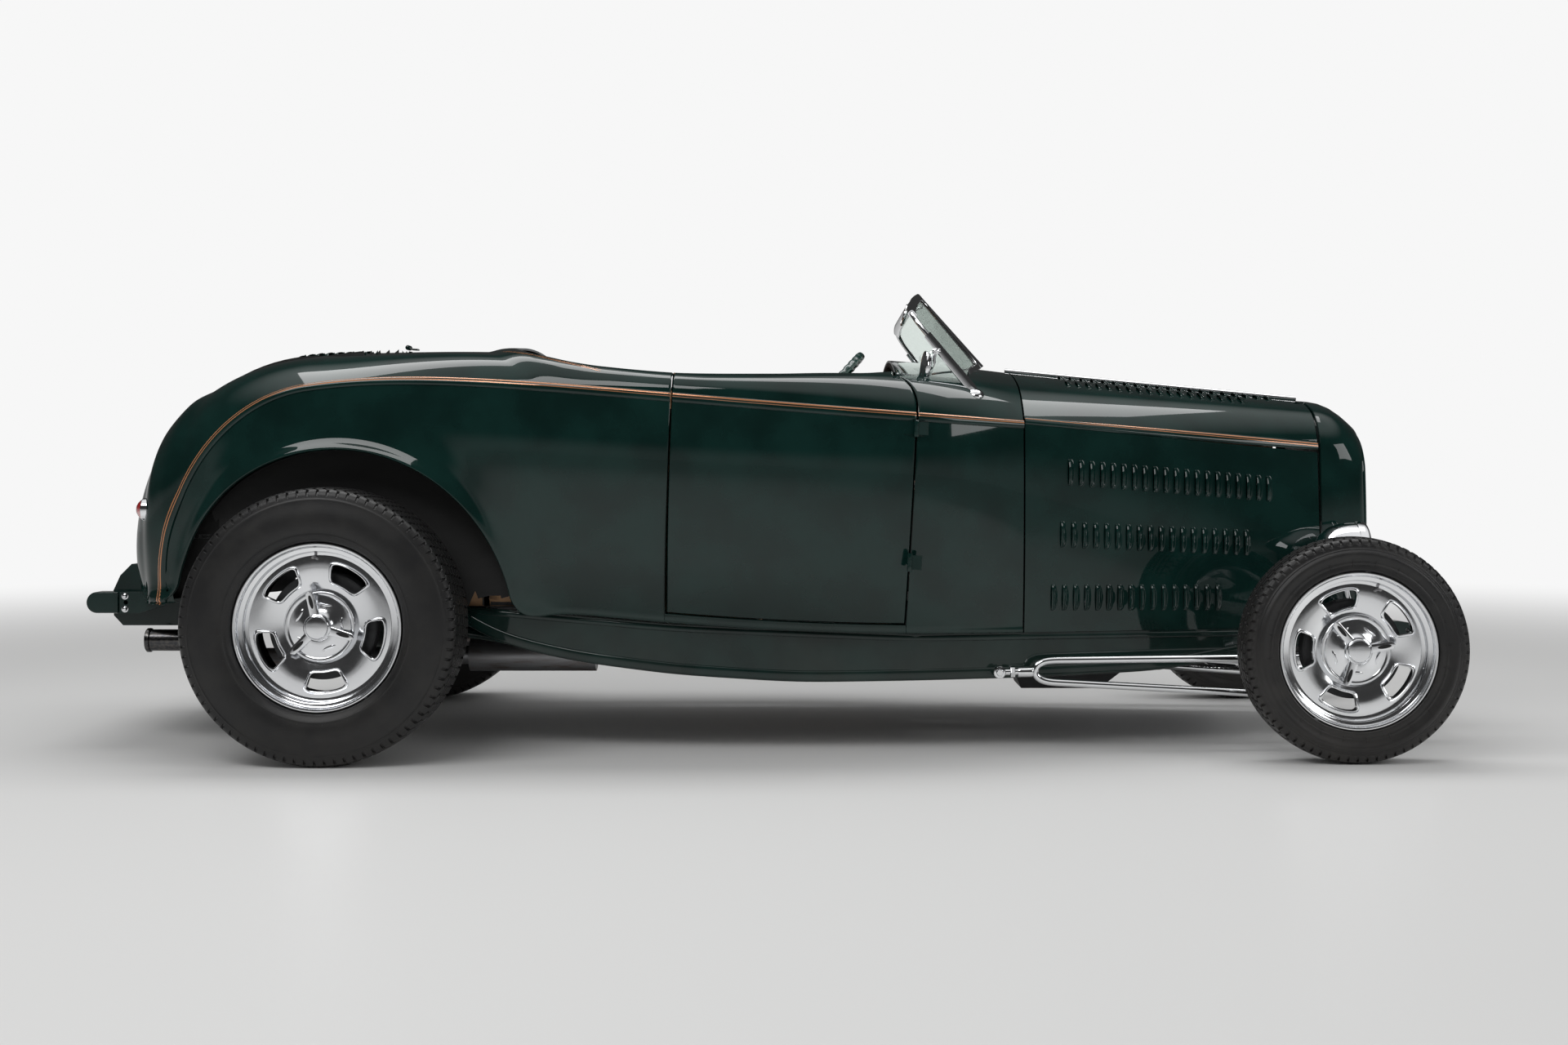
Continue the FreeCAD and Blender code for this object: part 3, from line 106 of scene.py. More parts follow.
# %% Grids
def grid(points, ring_rows=False, ring_cols=False, keep=None):
    """Vertices and quads of an (m, n, 3) array; keep is an (m-1, n-1) mask of cells to use."""
    m, n = points.shape[:2]
    i, j = np.meshgrid(np.arange(m if ring_rows else m - 1), np.arange(n if ring_cols else n - 1),
                       indexing="ij")
    down, right = (i + 1) % m, (j + 1) % n
    quads = np.stack([i * n + j, down * n + j, down * n + right, i * n + right], -1)
    quads = quads[keep] if keep is not None else quads.reshape(-1, 4)
    return points.reshape(-1, 3), quads


def mirror_y(part):
    """The same part on the car's other side, with its faces turned back outwards."""
    points, faces = part[0] * (1, -1, 1), part[1][:, ::-1]
    return (points, faces) + tuple(part[2:])


def fan(ring):
    """A flat lid over a closed ring of points: thin quads to the middle point."""
    middle = ring.mean(0)
    points = np.stack([ring, ring * 0 + middle], 0)
    return grid(points, ring_cols=True)


def spline(x, rows, at):
    """Natural cubic spline through rows (k, m) given at rising x, read at any array of x."""
    x, rows, at = np.asarray(x, float), np.asarray(rows, float), np.asarray(at, float)
    k, h = len(x), np.diff(x)
    slope = np.diff(rows, axis=0) / h[:, None]
    system, right = np.eye(k), np.zeros_like(rows)
    for i in range(1, k - 1):
        system[i, i - 1:i + 2] = h[i - 1], 2 * (h[i - 1] + h[i]), h[i]
        right[i] = 6 * (slope[i] - slope[i - 1])
    bend = np.linalg.solve(system, right)
    i = np.clip(np.searchsorted(x, at) - 1, 0, k - 2)
    u, w, d = (at - x[i])[..., None], (x[i + 1] - at)[..., None], h[i][..., None]
    return (bend[i] * w ** 3 + bend[i + 1] * u ** 3) / (6 * d) + \
        (rows[i] / d - bend[i] * d / 6) * w + (rows[i + 1] / d - bend[i + 1] * d / 6) * u


def smooth(x):
    """0 below 0, 1 above 1, and an S-curve between."""
    x = np.clip(x, 0, 1)
    return x * x * (3 - 2 * x)


# %% Sweeps
def path_frames(path, closed=False, up=(0, 0, 1)):
    """Tangent, side and rise directions along a path of points, the rise kept near up."""
    if closed:
        tangent = np.roll(path, -1, 0) - np.roll(path, 1, 0)
    else:
        tangent = np.gradient(path, axis=0)
    tangent /= np.linalg.norm(tangent, axis=1)[:, None]
    side = np.cross(tangent, np.asarray(up, float))
    side /= np.maximum(np.linalg.norm(side, axis=1), 1e-9)[:, None]
    return tangent, side, np.cross(side, tangent)


def sweep(path, profile, closed=False, up=(0, 0, 1), scale=1.0):
    """A closed profile of (side, rise) carried along a path: point = path + side*a + rise*b."""
    path = np.asarray(path, float)
    _, side, rise = path_frames(path, closed, up)
    profile = np.asarray(profile, float)
    scale = np.ones(len(path)) * scale
    points = path[:, None] + scale[:, None, None] * (
        side[:, None] * profile[None, :, :1] + rise[:, None] * profile[None, :, 1:])
    parts = [grid(points, ring_rows=closed, ring_cols=True)]
    if not closed:
        parts += [fan(points[0][::-1]), fan(points[-1])]
    return parts


def circle(radius, count=16, squash=1.0):
    """A ring of (side, rise) points."""
    a = np.linspace(0, 2 * np.pi, count, endpoint=False)
    return np.stack([radius * np.cos(a), radius * squash * np.sin(a)], 1)


def bar(start, end, radius, count=16, up=(0.31, 0.2, 0.9), ends=1.0):
    """A round bar between two points, with its rims rounded over by ends millimetres."""
    start, end = np.array(start, float), np.array(end, float)
    along = (end - start) / np.linalg.norm(end - start)
    length = np.linalg.norm(end - start)
    steps = np.array([0, 0.3 * ends, ends, length - ends, length - 0.3 * ends, length])
    grow = np.array([-ends, -0.3 * ends, 0, 0, -0.3 * ends, -ends]) / radius + 1
    return sweep(start + along * steps[:, None], circle(radius, count), up=up, scale=grow)


def spun(profile, centre, axis=(0, 1, 0), count=96, start=(1, 0, 0)):
    """A profile of (radius, offset along the axis) turned round an axis through centre."""
    profile, axis, start = (np.asarray(v, float) for v in (profile, axis, start))
    axis = axis / np.linalg.norm(axis)
    start = np.roll(start, 1) if abs(start.dot(axis)) > 0.9 else start
    first = start - axis * start.dot(axis)
    first /= np.linalg.norm(first)
    second = np.cross(axis, first)
    a = np.linspace(0, 2 * np.pi, count, endpoint=False)
    ray = np.cos(a)[:, None] * first + np.sin(a)[:, None] * second
    points = np.asarray(centre, float) + ray[:, None] * profile[None, :, :1] \
        + axis * profile[None, :, 1:]
    return grid(points, ring_rows=True)


# %% Into Blender
WELD = 2e-5                           # metres within which a new mesh's points are one
CAD_WELD = 1e-5                       # and the same for a copy of a packed one


def per_face(mesh, field, width=3):
    """One property of every face of a mesh, as rows of width numbers."""
    values = np.empty(len(mesh.polygons) * width)
    mesh.polygons.foreach_get(field, values)
    return values.reshape(-1, width)


def place(name, mesh, finishes, body, slot, replaces, angle):
    """An object for a mesh: shaded smooth but for edges over angle degrees, given its
    finishes, and set riding on its body. slot is not used."""
    mesh.shade_smooth()
    mesh.set_sharp_from_angle(angle=math.radians(angle))
    piece = bpy.data.objects.new(name, mesh)
    bpy.context.scene.collection.objects.link(piece)
    for finish in finishes:
        mesh.materials.append(finish)
    if replaces:
        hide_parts(*replaces)
    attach(piece, body)
    return piece


def round_edges(piece, width, angle):
    """Rounds a piece's edges over angle degrees, by width millimetres."""
    edge = piece.modifiers.new("edge", "BEVEL")
    edge.width, edge.segments, edge.limit_method = width / 1000, 2, "ANGLE"
    edge.angle_limit, edge.harden_normals = math.radians(angle), True


def thicken(piece, wall):
    """Gives an open sheet its wall on the inner side; its rims and folds stay sharp."""
    mesh = piece.data
    edge_of = np.empty(len(mesh.loops), int)
    mesh.loops.foreach_get("edge_index", edge_of)
    sharp = np.empty(len(mesh.edges), bool)
    mesh.edges.foreach_get("use_edge_sharp", sharp)
    sharp |= np.bincount(edge_of, minlength=len(sharp)) == 1
    mesh.edges.foreach_set("use_edge_sharp", sharp)
    solid = piece.modifiers.new("wall", "SOLIDIFY")
    solid.thickness, solid.offset, solid.use_even_offset = wall / 1000, -1, False
    solid.use_rim_only = True


def make(name, parts, body, finish, slot, replaces=(), wall=0.0, angle=35, inside=None,
         seal=True, bevel=0.0):
    """One object from parts of (points, faces[, uv]) in stations, welded and faced outwards.

    seal is for closed forms. inside, for an open sheet, is a point its outer face turns
    away from. wall and bevel are millimetres."""
    points = np.concatenate([p[0] for p in parts])
    offsets = np.cumsum([0] + [len(p[0]) for p in parts[:-1]])
    faces = np.concatenate([p[1] + o for p, o in zip(parts, offsets)])
    mesh = bpy.data.meshes.new(name)
    mesh.from_pydata(metres(points).tolist(), [], faces.tolist())
    if len(parts[0]) > 2:
        uv = np.concatenate([p[2] for p in parts])
        layer = mesh.uv_layers.new(name="UVMap")
        corner = np.empty(len(mesh.loops), int)
        mesh.loops.foreach_get("vertex_index", corner)
        layer.data.foreach_set("uv", uv[corner].astype(np.float32).ravel())
    shape = bmesh.new()
    shape.from_mesh(mesh)
    bmesh.ops.remove_doubles(shape, verts=shape.verts, dist=WELD)
    bmesh.ops.dissolve_degenerate(shape, dist=1e-6, edges=shape.edges)
    if seal:
        bmesh.ops.recalc_face_normals(shape, faces=shape.faces)
    shape.to_mesh(mesh)
    shape.free()
    if inside is not None:
        away = per_face(mesh, "center") - metres(inside)
        if np.sum(away * per_face(mesh, "normal") * per_face(mesh, "area", 1)) < 0:
            mesh.flip_normals()
    piece = place(name, mesh, [finish], body, slot, replaces, angle)
    if wall:
        thicken(piece, wall)
    if bevel:
        round_edges(piece, bevel, 40)
    print("%-26s %6d faces on %s" % (name, len(mesh.polygons), body))
    return piece


def plated(name, parts, **more):
    """A chromed piece of the chassis."""
    return make(name, parts, "chassis", CHROME, "chrome", **more)


# %% [markdown]
# ## Finishes
#
# Every finish is a net of shader nodes. A small helper writes such nets in a line per node.
# Shared effects (wear, orange peel and leather grain) are node groups on Object coordinates
# with sockets of their own, which give masks and heights and leave the shading to each
# material. The slow tints that only one material has are noise across each piece's own box.

# %% A short way of writing nodes
class Net:
    """Adds nodes to a tree: calling it makes one, sets its sockets and links what it is given."""

    def __init__(self, tree):
        self.tree = tree

    def feed(self, socket, value):
        """Links a socket to the socket it is given, or else sets it; a colour gets its alpha."""
        if isinstance(value, bpy.types.NodeSocket):
            self.tree.links.new(value, socket)
        else:
            socket.default_value = (*value, 1)[:4] if isinstance(value, tuple) else value

    def __call__(self, kind, out=0, **given):
        node = self.tree.nodes.new("ShaderNode" + kind)
        for name, value in given.items():
            if hasattr(node, name) and not name[0].isupper():
                setattr(node, name, value)
            else:
                label = int(name[1:]) if name[0] == "_" else name.replace("_", " ")
                self.feed(node.inputs[label], value)
        return node.outputs[out]

    def math(self, operation, *values):
        return self("Math", operation=operation, **{"_%d" % i: v for i, v in enumerate(values)})

    def ramp(self, value, low, high):
        """0 at low, 1 at high, smooth between."""
        return self("MapRange", interpolation_type="SMOOTHSTEP", Value=value,
                    From_Min=low, From_Max=high)

    def span(self, value, low, high):
        """A value from 0 to 1 carried over to the range from low to high."""
        return self("MapRange", Value=value, To_Min=low, To_Max=high)

    def mix(self, share, first, second):
        """Two colours mixed by a share."""
        node = self.tree.nodes.new("ShaderNodeMix")
        node.data_type = "RGBA"
        for index, value in ((0, share), (6, first), (7, second)):
            self.feed(node.inputs[index], value)
        return node.outputs[2]

    def noise(self, scale, detail=3, rough=0.5, vector=None):
        """Noise on the coordinates it is given, or else across the piece's own box."""
        given = {"Vector": vector} if vector is not None else {}
        return self("TexNoise", Scale=scale, Detail=detail, Roughness=rough, **given)


def group(name, sockets, build):
    """A node group: sockets maps each output to its type, build(net, coordinates) gives them."""
    tree = bpy.data.node_groups.new(name, "ShaderNodeTree")
    for label, kind in sockets.items():
        tree.interface.new_socket(label, in_out="OUTPUT", socket_type=kind)
    net = Net(tree)
    place = net("TexCoord", "Object")
    end = tree.nodes.new("NodeGroupOutput")
    for label, value in build(net, place).items():
        tree.links.new(value, end.inputs[label])
    return tree


def material(name, build):
    """A material: build(net) returns Principled settings; Normal and others may be links."""
    made = bpy.data.materials.new(name)
    made.use_nodes = True
    net = Net(made.node_tree)
    shader = made.node_tree.nodes["Principled BSDF"]
    for label, value in build(net).items():
        net.feed(shader.inputs[label], value)
    return made


def shared(net, tree, out):
    """One output of a shared group inside a material."""
    node = net.tree.nodes.new("ShaderNodeGroup")
    node.node_tree = tree
    return node.outputs[out]


def bump(net, height, distance, strength):
    return net("Bump", Height=height, Distance=distance, Strength=strength)


def shade(colour, by):
    """A colour made lighter or darker by a factor."""
    return tuple(part * by for part in colour)


# %% Effects that several finishes share
def build_wear(net, place):
    """Smudge: slow waves of handling marks. Dust: a film that grows towards the ground, in
    patches. Speckle: grains of about a millimetre."""
    slow = net.noise(2.3, 4, 0.6, place)
    fine = net.noise(900, 2, 0.6, place)
    height = net("SeparateXYZ", 2, Vector=place)
    low = net.ramp(height, 0.55, 0.05)
    dust = net.math("MULTIPLY", low, net.ramp(slow, 0.35, 0.75))
    return {"Smudge": net.ramp(slow, 0.3, 0.72), "Dust": dust, "Speckle": fine}


FLOAT = "NodeSocketFloat"
WEAR = group("wear", {"Smudge": FLOAT, "Dust": FLOAT, "Speckle": FLOAT}, build_wear)


def build_peel(net, place):
    """Orange peel: the faint unevenness, a few millimetres across, of sprayed enamel."""
    return {"Height": net.noise(260, 2, 0.45, place),
            "Flow": net.noise(7, 3, 0.5, place)}


PEEL = group("peel", {"Height": FLOAT, "Flow": FLOAT}, build_peel)


def build_hide(net, place):
    """Leather grain: cells a few millimetres wide, with fine creases inside them."""
    cells = net("TexVoronoi", "Distance", feature="DISTANCE_TO_EDGE", Scale=420, Vector=place)
    crease = net.noise(1500, 3, 0.6, place)
    tone = net.noise(14, 4, 0.6, place)
    grain = net.math("ADD", net.ramp(cells, 0.0, 0.22), net.math("MULTIPLY", crease, 0.35))
    return {"Grain": grain, "Tone": tone}


HIDE = group("hide", {"Grain": FLOAT, "Tone": FLOAT}, build_hide)


def speckled(net, distance, strength):
    """A normal roughened by the shared speckle."""
    return bump(net, shared(net, WEAR, "Speckle"), distance, strength)


# %% [markdown]
# The body's enamel is a very dark green under a clear coat, flatted and polished by hand. Two
# fine copper lines are drawn by brush on the belt moulding; the mesh carries, as its UV, the
# distance from the middle of that moulding, so the lines follow it round the car.

# %% Enamel, with and without the brushed lines
GREEN = (0.0035, 0.0165, 0.0140)
COPPER = (0.46, 0.20, 0.095)
DUST = (0.30, 0.27, 0.23)
LINES = ((0.0088, 0.0017), (0.0022, 0.0008))   # metres: middle from the belt, half width


def enamel(net, colour=GREEN, lines=False):
    """Colour drifts a little with the flow of the coat; dust dulls the lower parts."""
    flow = shared(net, PEEL, "Flow")
    dust = shared(net, WEAR, "Dust")
    base = net.mix(net.ramp(flow, 0.3, 0.7), shade(colour, 0.75), shade(colour, 1.25))
    base = net.mix(net.math("MULTIPLY", dust, 0.05), base, DUST)
    rough = net.math("MULTIPLY_ADD", shared(net, WEAR, "Smudge"), 0.03, 0.045)
    out = {"Roughness": net.math("MULTIPLY_ADD", dust, 0.06, rough),
           "Specular IOR Level": 0.08, "Coat Weight": 0.9, "Coat Roughness": 0.02, "Coat IOR": 1.42}
    if lines:
        offset = net("SeparateXYZ", 1, Vector=net("UVMap", uv_map="UVMap"))
        wobble = net.math("MULTIPLY_ADD", net.noise(30, 1, 0.5), 0.0006, -0.0003)
        offset = net.math("ADD", offset, wobble)
        mask = None
        for middle, half in LINES:
            near = net.math("ABSOLUTE", net.math("SUBTRACT", offset, middle))
            line = net.ramp(near, half + 0.0005, half)
            mask = line if mask is None else net.math("MAXIMUM", mask, line)
        base = net.mix(mask, base, COPPER)
        out["Metallic"] = net.math("MULTIPLY", mask, 0.35)
    out["Base Color"] = base
    out["Normal"] = bump(net, shared(net, PEEL, "Height"), 0.00006, 0.5)
    return out


PAINT = material("body_enamel", enamel)
PAINT_LINED = material("body_enamel_lined", lambda net: enamel(net, lines=True))
IVORY = material("ivory_marks", lambda net: {
    "Base Color": net.mix(net.noise(40), (0.66, 0.62, 0.50), (0.74, 0.70, 0.58)), "Roughness": 0.5})
STRIPE = material("copper_line", lambda net: {
    **enamel(net, COPPER), "Metallic": 0.35, "Roughness": 0.2})
CHASSIS_PAINT = material("chassis_enamel", lambda net: {
    **enamel(net, (0.0045, 0.0150, 0.0130)), "Roughness": 0.12, "Coat Roughness": 0.05})

# %% [markdown]
# Bright work comes in two kinds. Chrome plate is a thin even mirror over polished steel; it
# shows only faint wipe marks. Cast and turned aluminium is polished by wheel, and keeps a
# softer, greyer shine.

# %% Metals
def chrome(net):
    marks = net.noise(60, 5, 0.7)
    smudge = shared(net, WEAR, "Smudge")
    return {"Base Color": net.mix(smudge, (0.80, 0.81, 0.83), (0.86, 0.87, 0.88)),
            "Metallic": 1.0, "Roughness": net.math("MULTIPLY_ADD", marks, 0.05, 0.015),
            "Normal": speckled(net, 0.00001, 0.15)}


def alloy(net):
    marks = net.noise(45, 5, 0.7)
    smudge = shared(net, WEAR, "Smudge")
    return {"Base Color": net.mix(smudge, (0.74, 0.75, 0.77), (0.84, 0.85, 0.86)),
            "Metallic": 1.0, "Roughness": net.math("MULTIPLY_ADD", marks, 0.14, 0.07),
            "Normal": speckled(net, 0.00002, 0.3)}


def cast_iron(net, tone=(0.035, 0.036, 0.038)):
    """Painted casting: sand grain under a satin coat, oily in places."""
    grain = net("TexVoronoi", "Distance", Scale=700, Vector=net("TexCoord", "Object"))
    oil = net.noise(9, 5, 0.65)
    return {"Base Color": net.mix(net.ramp(oil, 0.4, 0.7), tone, shade(tone, 0.6)),
            "Metallic": 0.35, "Roughness": net.span(oil, 0.62, 0.32),
            "Normal": bump(net, grain, 0.0006, 0.5)}


def steel(net):
    """Bare drawn steel with a brown-grey bloom."""
    bloom = net.noise(18, 6, 0.65)
    rust = net.ramp(bloom, 0.45, 0.75)
    return {"Base Color": net.mix(rust, (0.30, 0.30, 0.31), (0.17, 0.13, 0.11)),
            "Metallic": 0.9, "Roughness": net.span(bloom, 0.28, 0.55),
            "Normal": speckled(net, 0.00005, 0.4)}


def hot_steel(net):
    """Dark plated exhaust tip, browner and duller in patches."""
    tint = net.noise(11, 3, 0.5)
    patch = net.ramp(tint, 0.35, 0.7)
    return {"Base Color": net.mix(patch, (0.055, 0.056, 0.060), (0.11, 0.105, 0.10)),
            "Metallic": 1.0, "Roughness": net.span(tint, 0.16, 0.3),
            "Normal": speckled(net, 0.00003, 0.3)}


def black(net):
    """Matt black, for what lies in shadow."""
    return {"Base Color": net.mix(net.noise(20), (0.004, 0.004, 0.004), (0.010, 0.010, 0.010)),
            "Roughness": 0.8, "Normal": speckled(net, 0.0003, 0.5)}


CHROME = material("chrome_plate", chrome)
ALLOY = material("polished_alloy", alloy)
CAST = material("painted_casting", cast_iron)
STEEL = material("plain_steel", steel)
PIPE = material("exhaust_tip", hot_steel)
DARK = material("shadow_black", black)

# %% [markdown]
# Tyre rubber is matt and very dark, a little brown where it has aged, with dust in the
# tread. Glass is clear with a green edge. The lamp lens is red plastic. Leather is tan,
# with a grain, and the creases of its grain are darkened as a painted shade.

# %% Rubber, glass, leather and carpet
def rubber(net):
    age = net.noise(8, 5, 0.6)
    dust = shared(net, WEAR, "Dust")
    base = net.mix(net.ramp(age, 0.35, 0.7), (0.0070, 0.0070, 0.0075), (0.013, 0.0125, 0.012))
    base = net.mix(net.math("MULTIPLY", dust, 0.10), base, (0.16, 0.14, 0.12))
    grain = net.math("ADD", net.noise(1400, 2, 0.6), net.math("MULTIPLY", net.noise(160, 3), 0.6))
    return {"Base Color": base, "Roughness": net.span(age, 0.33, 0.50),
            "Specular IOR Level": 0.42, "Normal": bump(net, grain, 0.0003, 0.55)}


def glass(net, tint=(0.86, 0.955, 0.905)):
    smear = net.noise(5, 5, 0.7)
    return {"Base Color": net.mix(net.ramp(smear, 0.3, 0.8), tint, shade(tint, 0.99)),
            "Transmission Weight": 1.0, "IOR": 1.5,
            "Roughness": net.math("MULTIPLY", net.ramp(smear, 0.55, 0.9), 0.02)}


def lens(net, tint=(0.45, 0.006, 0.006)):
    """Moulded lens: fine prisms behind a glossy front."""
    ribs = net("TexWave", "Fac", wave_type="RINGS", rings_direction="X", Scale=90,
               Vector=net("TexCoord", "Object"))
    return {"Base Color": net.mix(ribs, tint, shade(tint, 0.8)),
            "Transmission Weight": 0.35, "IOR": 1.49, "Roughness": 0.05,
            "Coat Weight": 1.0, "Coat Roughness": 0.02, "Normal": bump(net, ribs, 0.0005, 0.4)}


def leather(net, tone=(0.40, 0.235, 0.125)):
    patch, grain = shared(net, HIDE, "Tone"), shared(net, HIDE, "Grain")
    base = net.mix(net.ramp(patch, 0.3, 0.7), shade(tone, 0.82), shade(tone, 1.1))
    # creases darkens the base in the creases of the grain: a painted shade
    creases = net.math("MULTIPLY", net.ramp(grain, 0.75, 0.1), 0.35)
    return {"Base Color": net.mix(creases, base, shade(tone, 0.45)),
            "Roughness": net.span(patch, 0.42, 0.60),
            "Specular IOR Level": 0.45, "Sheen Weight": 0.08,
            "Normal": bump(net, grain, 0.0005, 0.55)}


def carpet(net, tone=(0.030, 0.036, 0.034)):
    tufts = net("TexVoronoi", "Distance", Scale=600, Vector=net("TexCoord", "Object"))
    # The base is lighter at the middle of each tuft and darker between tufts: a painted highlight and a
    # painted shade
    base = net.mix(net.ramp(tufts, 0.1, 0.6), shade(tone, 1.6), shade(tone, 0.5))
    worn = net.math("MULTIPLY", net.ramp(net.noise(7, 4, 0.6), 0.5, 0.8), 0.25)
    return {"Base Color": net.mix(worn, base, (0.10, 0.09, 0.08)),
            "Roughness": 0.95, "Sheen Weight": 0.3, "Normal": bump(net, tufts, 0.003, 0.9)}


def moulded(net, tone=(0.0045, 0.030, 0.024)):
    """Glossy moulded plastic, worn smooth by hands."""
    worn = net.noise(24, 4, 0.6)
    return {"Base Color": net.mix(net.ramp(worn, 0.4, 0.75), tone, shade(tone, 1.5)),
            "Roughness": net.span(worn, 0.12, 0.3), "Coat Weight": 0.5, "Coat Roughness": 0.06,
            "Normal": bump(net, net.noise(300, 2), 0.0001, 0.3)}


RUBBER = material("tyre_rubber", rubber)
GLASS = material("green_glass", glass)
CLEAR = material("clear_glass", lambda net: glass(net, (0.97, 0.98, 0.98)))
RED = material("red_lens", lens)
LEATHER = material("tan_leather", leather)
CARPET = material("carpet", carpet)
MOULDED = material("green_moulding", moulded)
print(len(bpy.data.materials), "finishes")


# %% [markdown]
# ## The body skin
#
# A steel roadster body is pressed and hammered sheet over a wooden or steel frame. Its whole
# shape follows from cross-sections at a few stations: the height and width of its floor
# edge, the bulge of its side, the belt moulding, the shoulder above it and the crown. The
# tail turns over like a fan, so its sections swing about a line instead of sliding forward.
# One function gives the skin's point for a station s and a height t within the section, and
# every panel, door and lid is a patch of that one surface, so their edges line up.

# %% The section tables
PIVOT_X, PIVOT_Z = -82.0, 440.0      # the line the tail's sections turn about
FAN = 10.47                          # millimetres of s for each degree of the fan
# s, floor_z, floor_y, side_y, belt_y, belt_z, shoulder_y, shoulder_z, crown_z
BODY_ROWS = np.array([
    (1850, 320, 492, 521, 516, 890, 345, 1004, 1051), (1555, 322, 556, 640, 640, 908, 520, 1024, 1082),
    (911, 352, 578, 690, 688, 958, 650, 1020, 1104), (413, 392, 572, 672, 668, 996, 560, 1078, 1106),
    (-82, 400, 570, 645, 640, 985, 470, 1073, 1103)], float)
# angle, belt_y, belt_r, shoulder_y, shoulder_r, crown_r
TAIL_ROWS = np.array([(30, 612, 478, 440, 615, 646), (62, 560, 420, 400, 566, 604),
                      (94, 510, 400, 385, 508, 552)], float)


def section_table():
    """All sections from the tail's end to the cowl, heights turned to distances from the pivot."""
    tail = [(PIVOT_X - a * FAN, -40, by - 66, by + 4, by, br, sy, sr, cr)
            for a, by, br, sy, sr, cr in TAIL_ROWS[::-1]]
    body = BODY_ROWS[::-1] - np.array([0, PIVOT_Z, 0, 0, 0, PIVOT_Z, 0, PIVOT_Z, PIVOT_Z])
    return np.vstack([tail, body])


SECTIONS = section_table()
TAIL_END, COWL_END = SECTIONS[0, 0], SECTIONS[-1, 0]


def section_at(s):
    """floor_r, floor_y, side_y, belt_y, belt_r, shoulder_y, shoulder_r, crown_r at each s."""
    return np.moveaxis(spline(SECTIONS[:, 0], SECTIONS[:, 1:], s), -1, 0)


def curve(rows, t):
    """Half a section: rows holds floor_r, floor_y, side_y, belt_y, belt_r, shoulder_y,
    shoulder_r and crown_r. t from 0 to 1 is a parabola through the floor edge, the bulge and
    the belt; 1 to 2 an arc from the belt that meets the crown's arc tangentially at the
    shoulder; 2 to 3 the crown's arc to the middle line. Returns half width and height."""
    fr, fy, my, by, br, sy, sr, cr = rows
    u = np.clip(t, 0, 1)
    low_y = fy * (1 - u) * (1 - 2 * u) + my * 4 * u * (1 - u) + by * u * (2 * u - 1)
    low_r = fr + (br - fr) * u
    rise = cr - sr
    radius = (sy ** 2 + rise ** 2) / (2 * rise)
    half = np.arcsin(np.clip(sy / radius, -1, 1))
    w = half * np.clip(3 - t, 0, 1)
    top_y, top_r = radius * np.sin(w), cr - radius * (1 - np.cos(w))
    dy, dr = np.cos(half), -np.sin(half)
    ny, nr = -np.sin(half), -np.cos(half)
    along = (by - sy) * dy + (br - sr) * dr
    over = (by - sy) * ny + (br - sr) * nr
    bend = (along ** 2 + over ** 2) / (2 * over)
    v = 2 * np.arctan2(over, along) * np.clip(2 - t, 0, 1)
    mid_y = sy + bend * (np.sin(v) * dy + (1 - np.cos(v)) * ny)
    mid_r = sr + bend * (np.sin(v) * dr + (1 - np.cos(v)) * nr)
    return (np.where(t <= 1, low_y, np.where(t <= 2, mid_y, top_y)),
            np.where(t <= 1, low_r, np.where(t <= 2, mid_r, top_r)))


def skin(s, t):
    """The right-hand skin's points. They turn about the pivot line behind it:
    x = max(s, pivot) - r sin(a), z = pivot + r cos(a)."""
    s, t = np.broadcast_arrays(np.asarray(s, float), np.asarray(t, float))
    y, r = curve(section_at(s), t)
    a = np.radians(np.maximum(PIVOT_X - s, 0) / FAN)
    return np.stack([np.maximum(s, PIVOT_X) - r * np.sin(a), -y, PIVOT_Z + r * np.cos(a)], -1)


def skin_normal(s, t):
    """Outward normals from the cross product of two small steps on the skin."""
    h, k = 1.0, 2e-3
    ds = skin(s + h, t) - skin(s - h, t)
    dt = skin(s, np.clip(t + k, 0, 3)) - skin(s, np.clip(t - k, 0, 3))
    normal = np.cross(ds, dt)
    return normal / np.maximum(np.linalg.norm(normal, axis=-1), 1e-9)[..., None]


print("belt points", skin(SECTIONS[:, 0], 1.0).round(0).tolist())

# %% [markdown]
# A panel is a grid on the skin between two or more lines that run up it, and between a
# lower and an upper edge that two distance fields describe: a field is positive on the
# panel and zero on its edge. The rows are set by length along each column, measured from
# the belt, so that rows gather where the surface has detail: at the edges, where the sheet
# is rolled, and on the belt moulding.

# %% Panels cut from the skin
FINE = np.concatenate([np.linspace(0, 1, 361), np.linspace(1, 3, 441)[1:]])
BELT = 360                            # the sample of FINE that lies on the belt


def settle(test, start):
    """s along FINE for which s = test(point there): a few rounds of substitution."""
    s = np.full(FINE.shape, float(start))
    for _ in range(6):
        s = test(skin(s, FINE))
    return s


def between(lines, shares):
    """Columns between key lines: shares holds, for each gap between two lines, rising numbers
    from 0 to 1. Returns s for every column and every sample of FINE."""
    runs = [a + np.asarray(w)[:-1, None] * (b - a) for a, b, w in zip(lines, lines[1:], shares)]
    return np.vstack(runs + [lines[-1][None]])


CLOSE = np.array((1.2, 3, 6, 12))      # millimetres from an edge of its closest columns


def gathered(count, lead, tail, length):
    """Shares for a run of the given length in mm, with close columns at its start (lead), its
    end (tail) or both."""
    near = CLOSE / length
    parts = [np.linspace(0, 1, count)]
    if lead:
        parts.append(near)
    if tail:
        parts.append(1 - near)
    out = np.unique(np.round(np.concatenate(parts), 5))
    return out[np.concatenate([[True], np.diff(out) > 0.4 * CLOSE[0] / length])]


def crossing(length, field, k, whole):
    """Length along each column where its field is zero, between sample k and the one before;
    the column's end where the field never changes sign, as whole tells."""
    rows, before = np.arange(len(k)), np.maximum(k - 1, 0)
    f0, f1 = field[rows, before], field[rows, k]
    w = np.clip(np.where(f1 != f0, f0 / np.where(f0 == f1, 1, f0 - f1), 1.0), 0, 1)
    w = np.where(k == before, 0, np.where(whole, 1.0, w))
    return length[rows, before] * (1 - w) + length[rows, k] * w


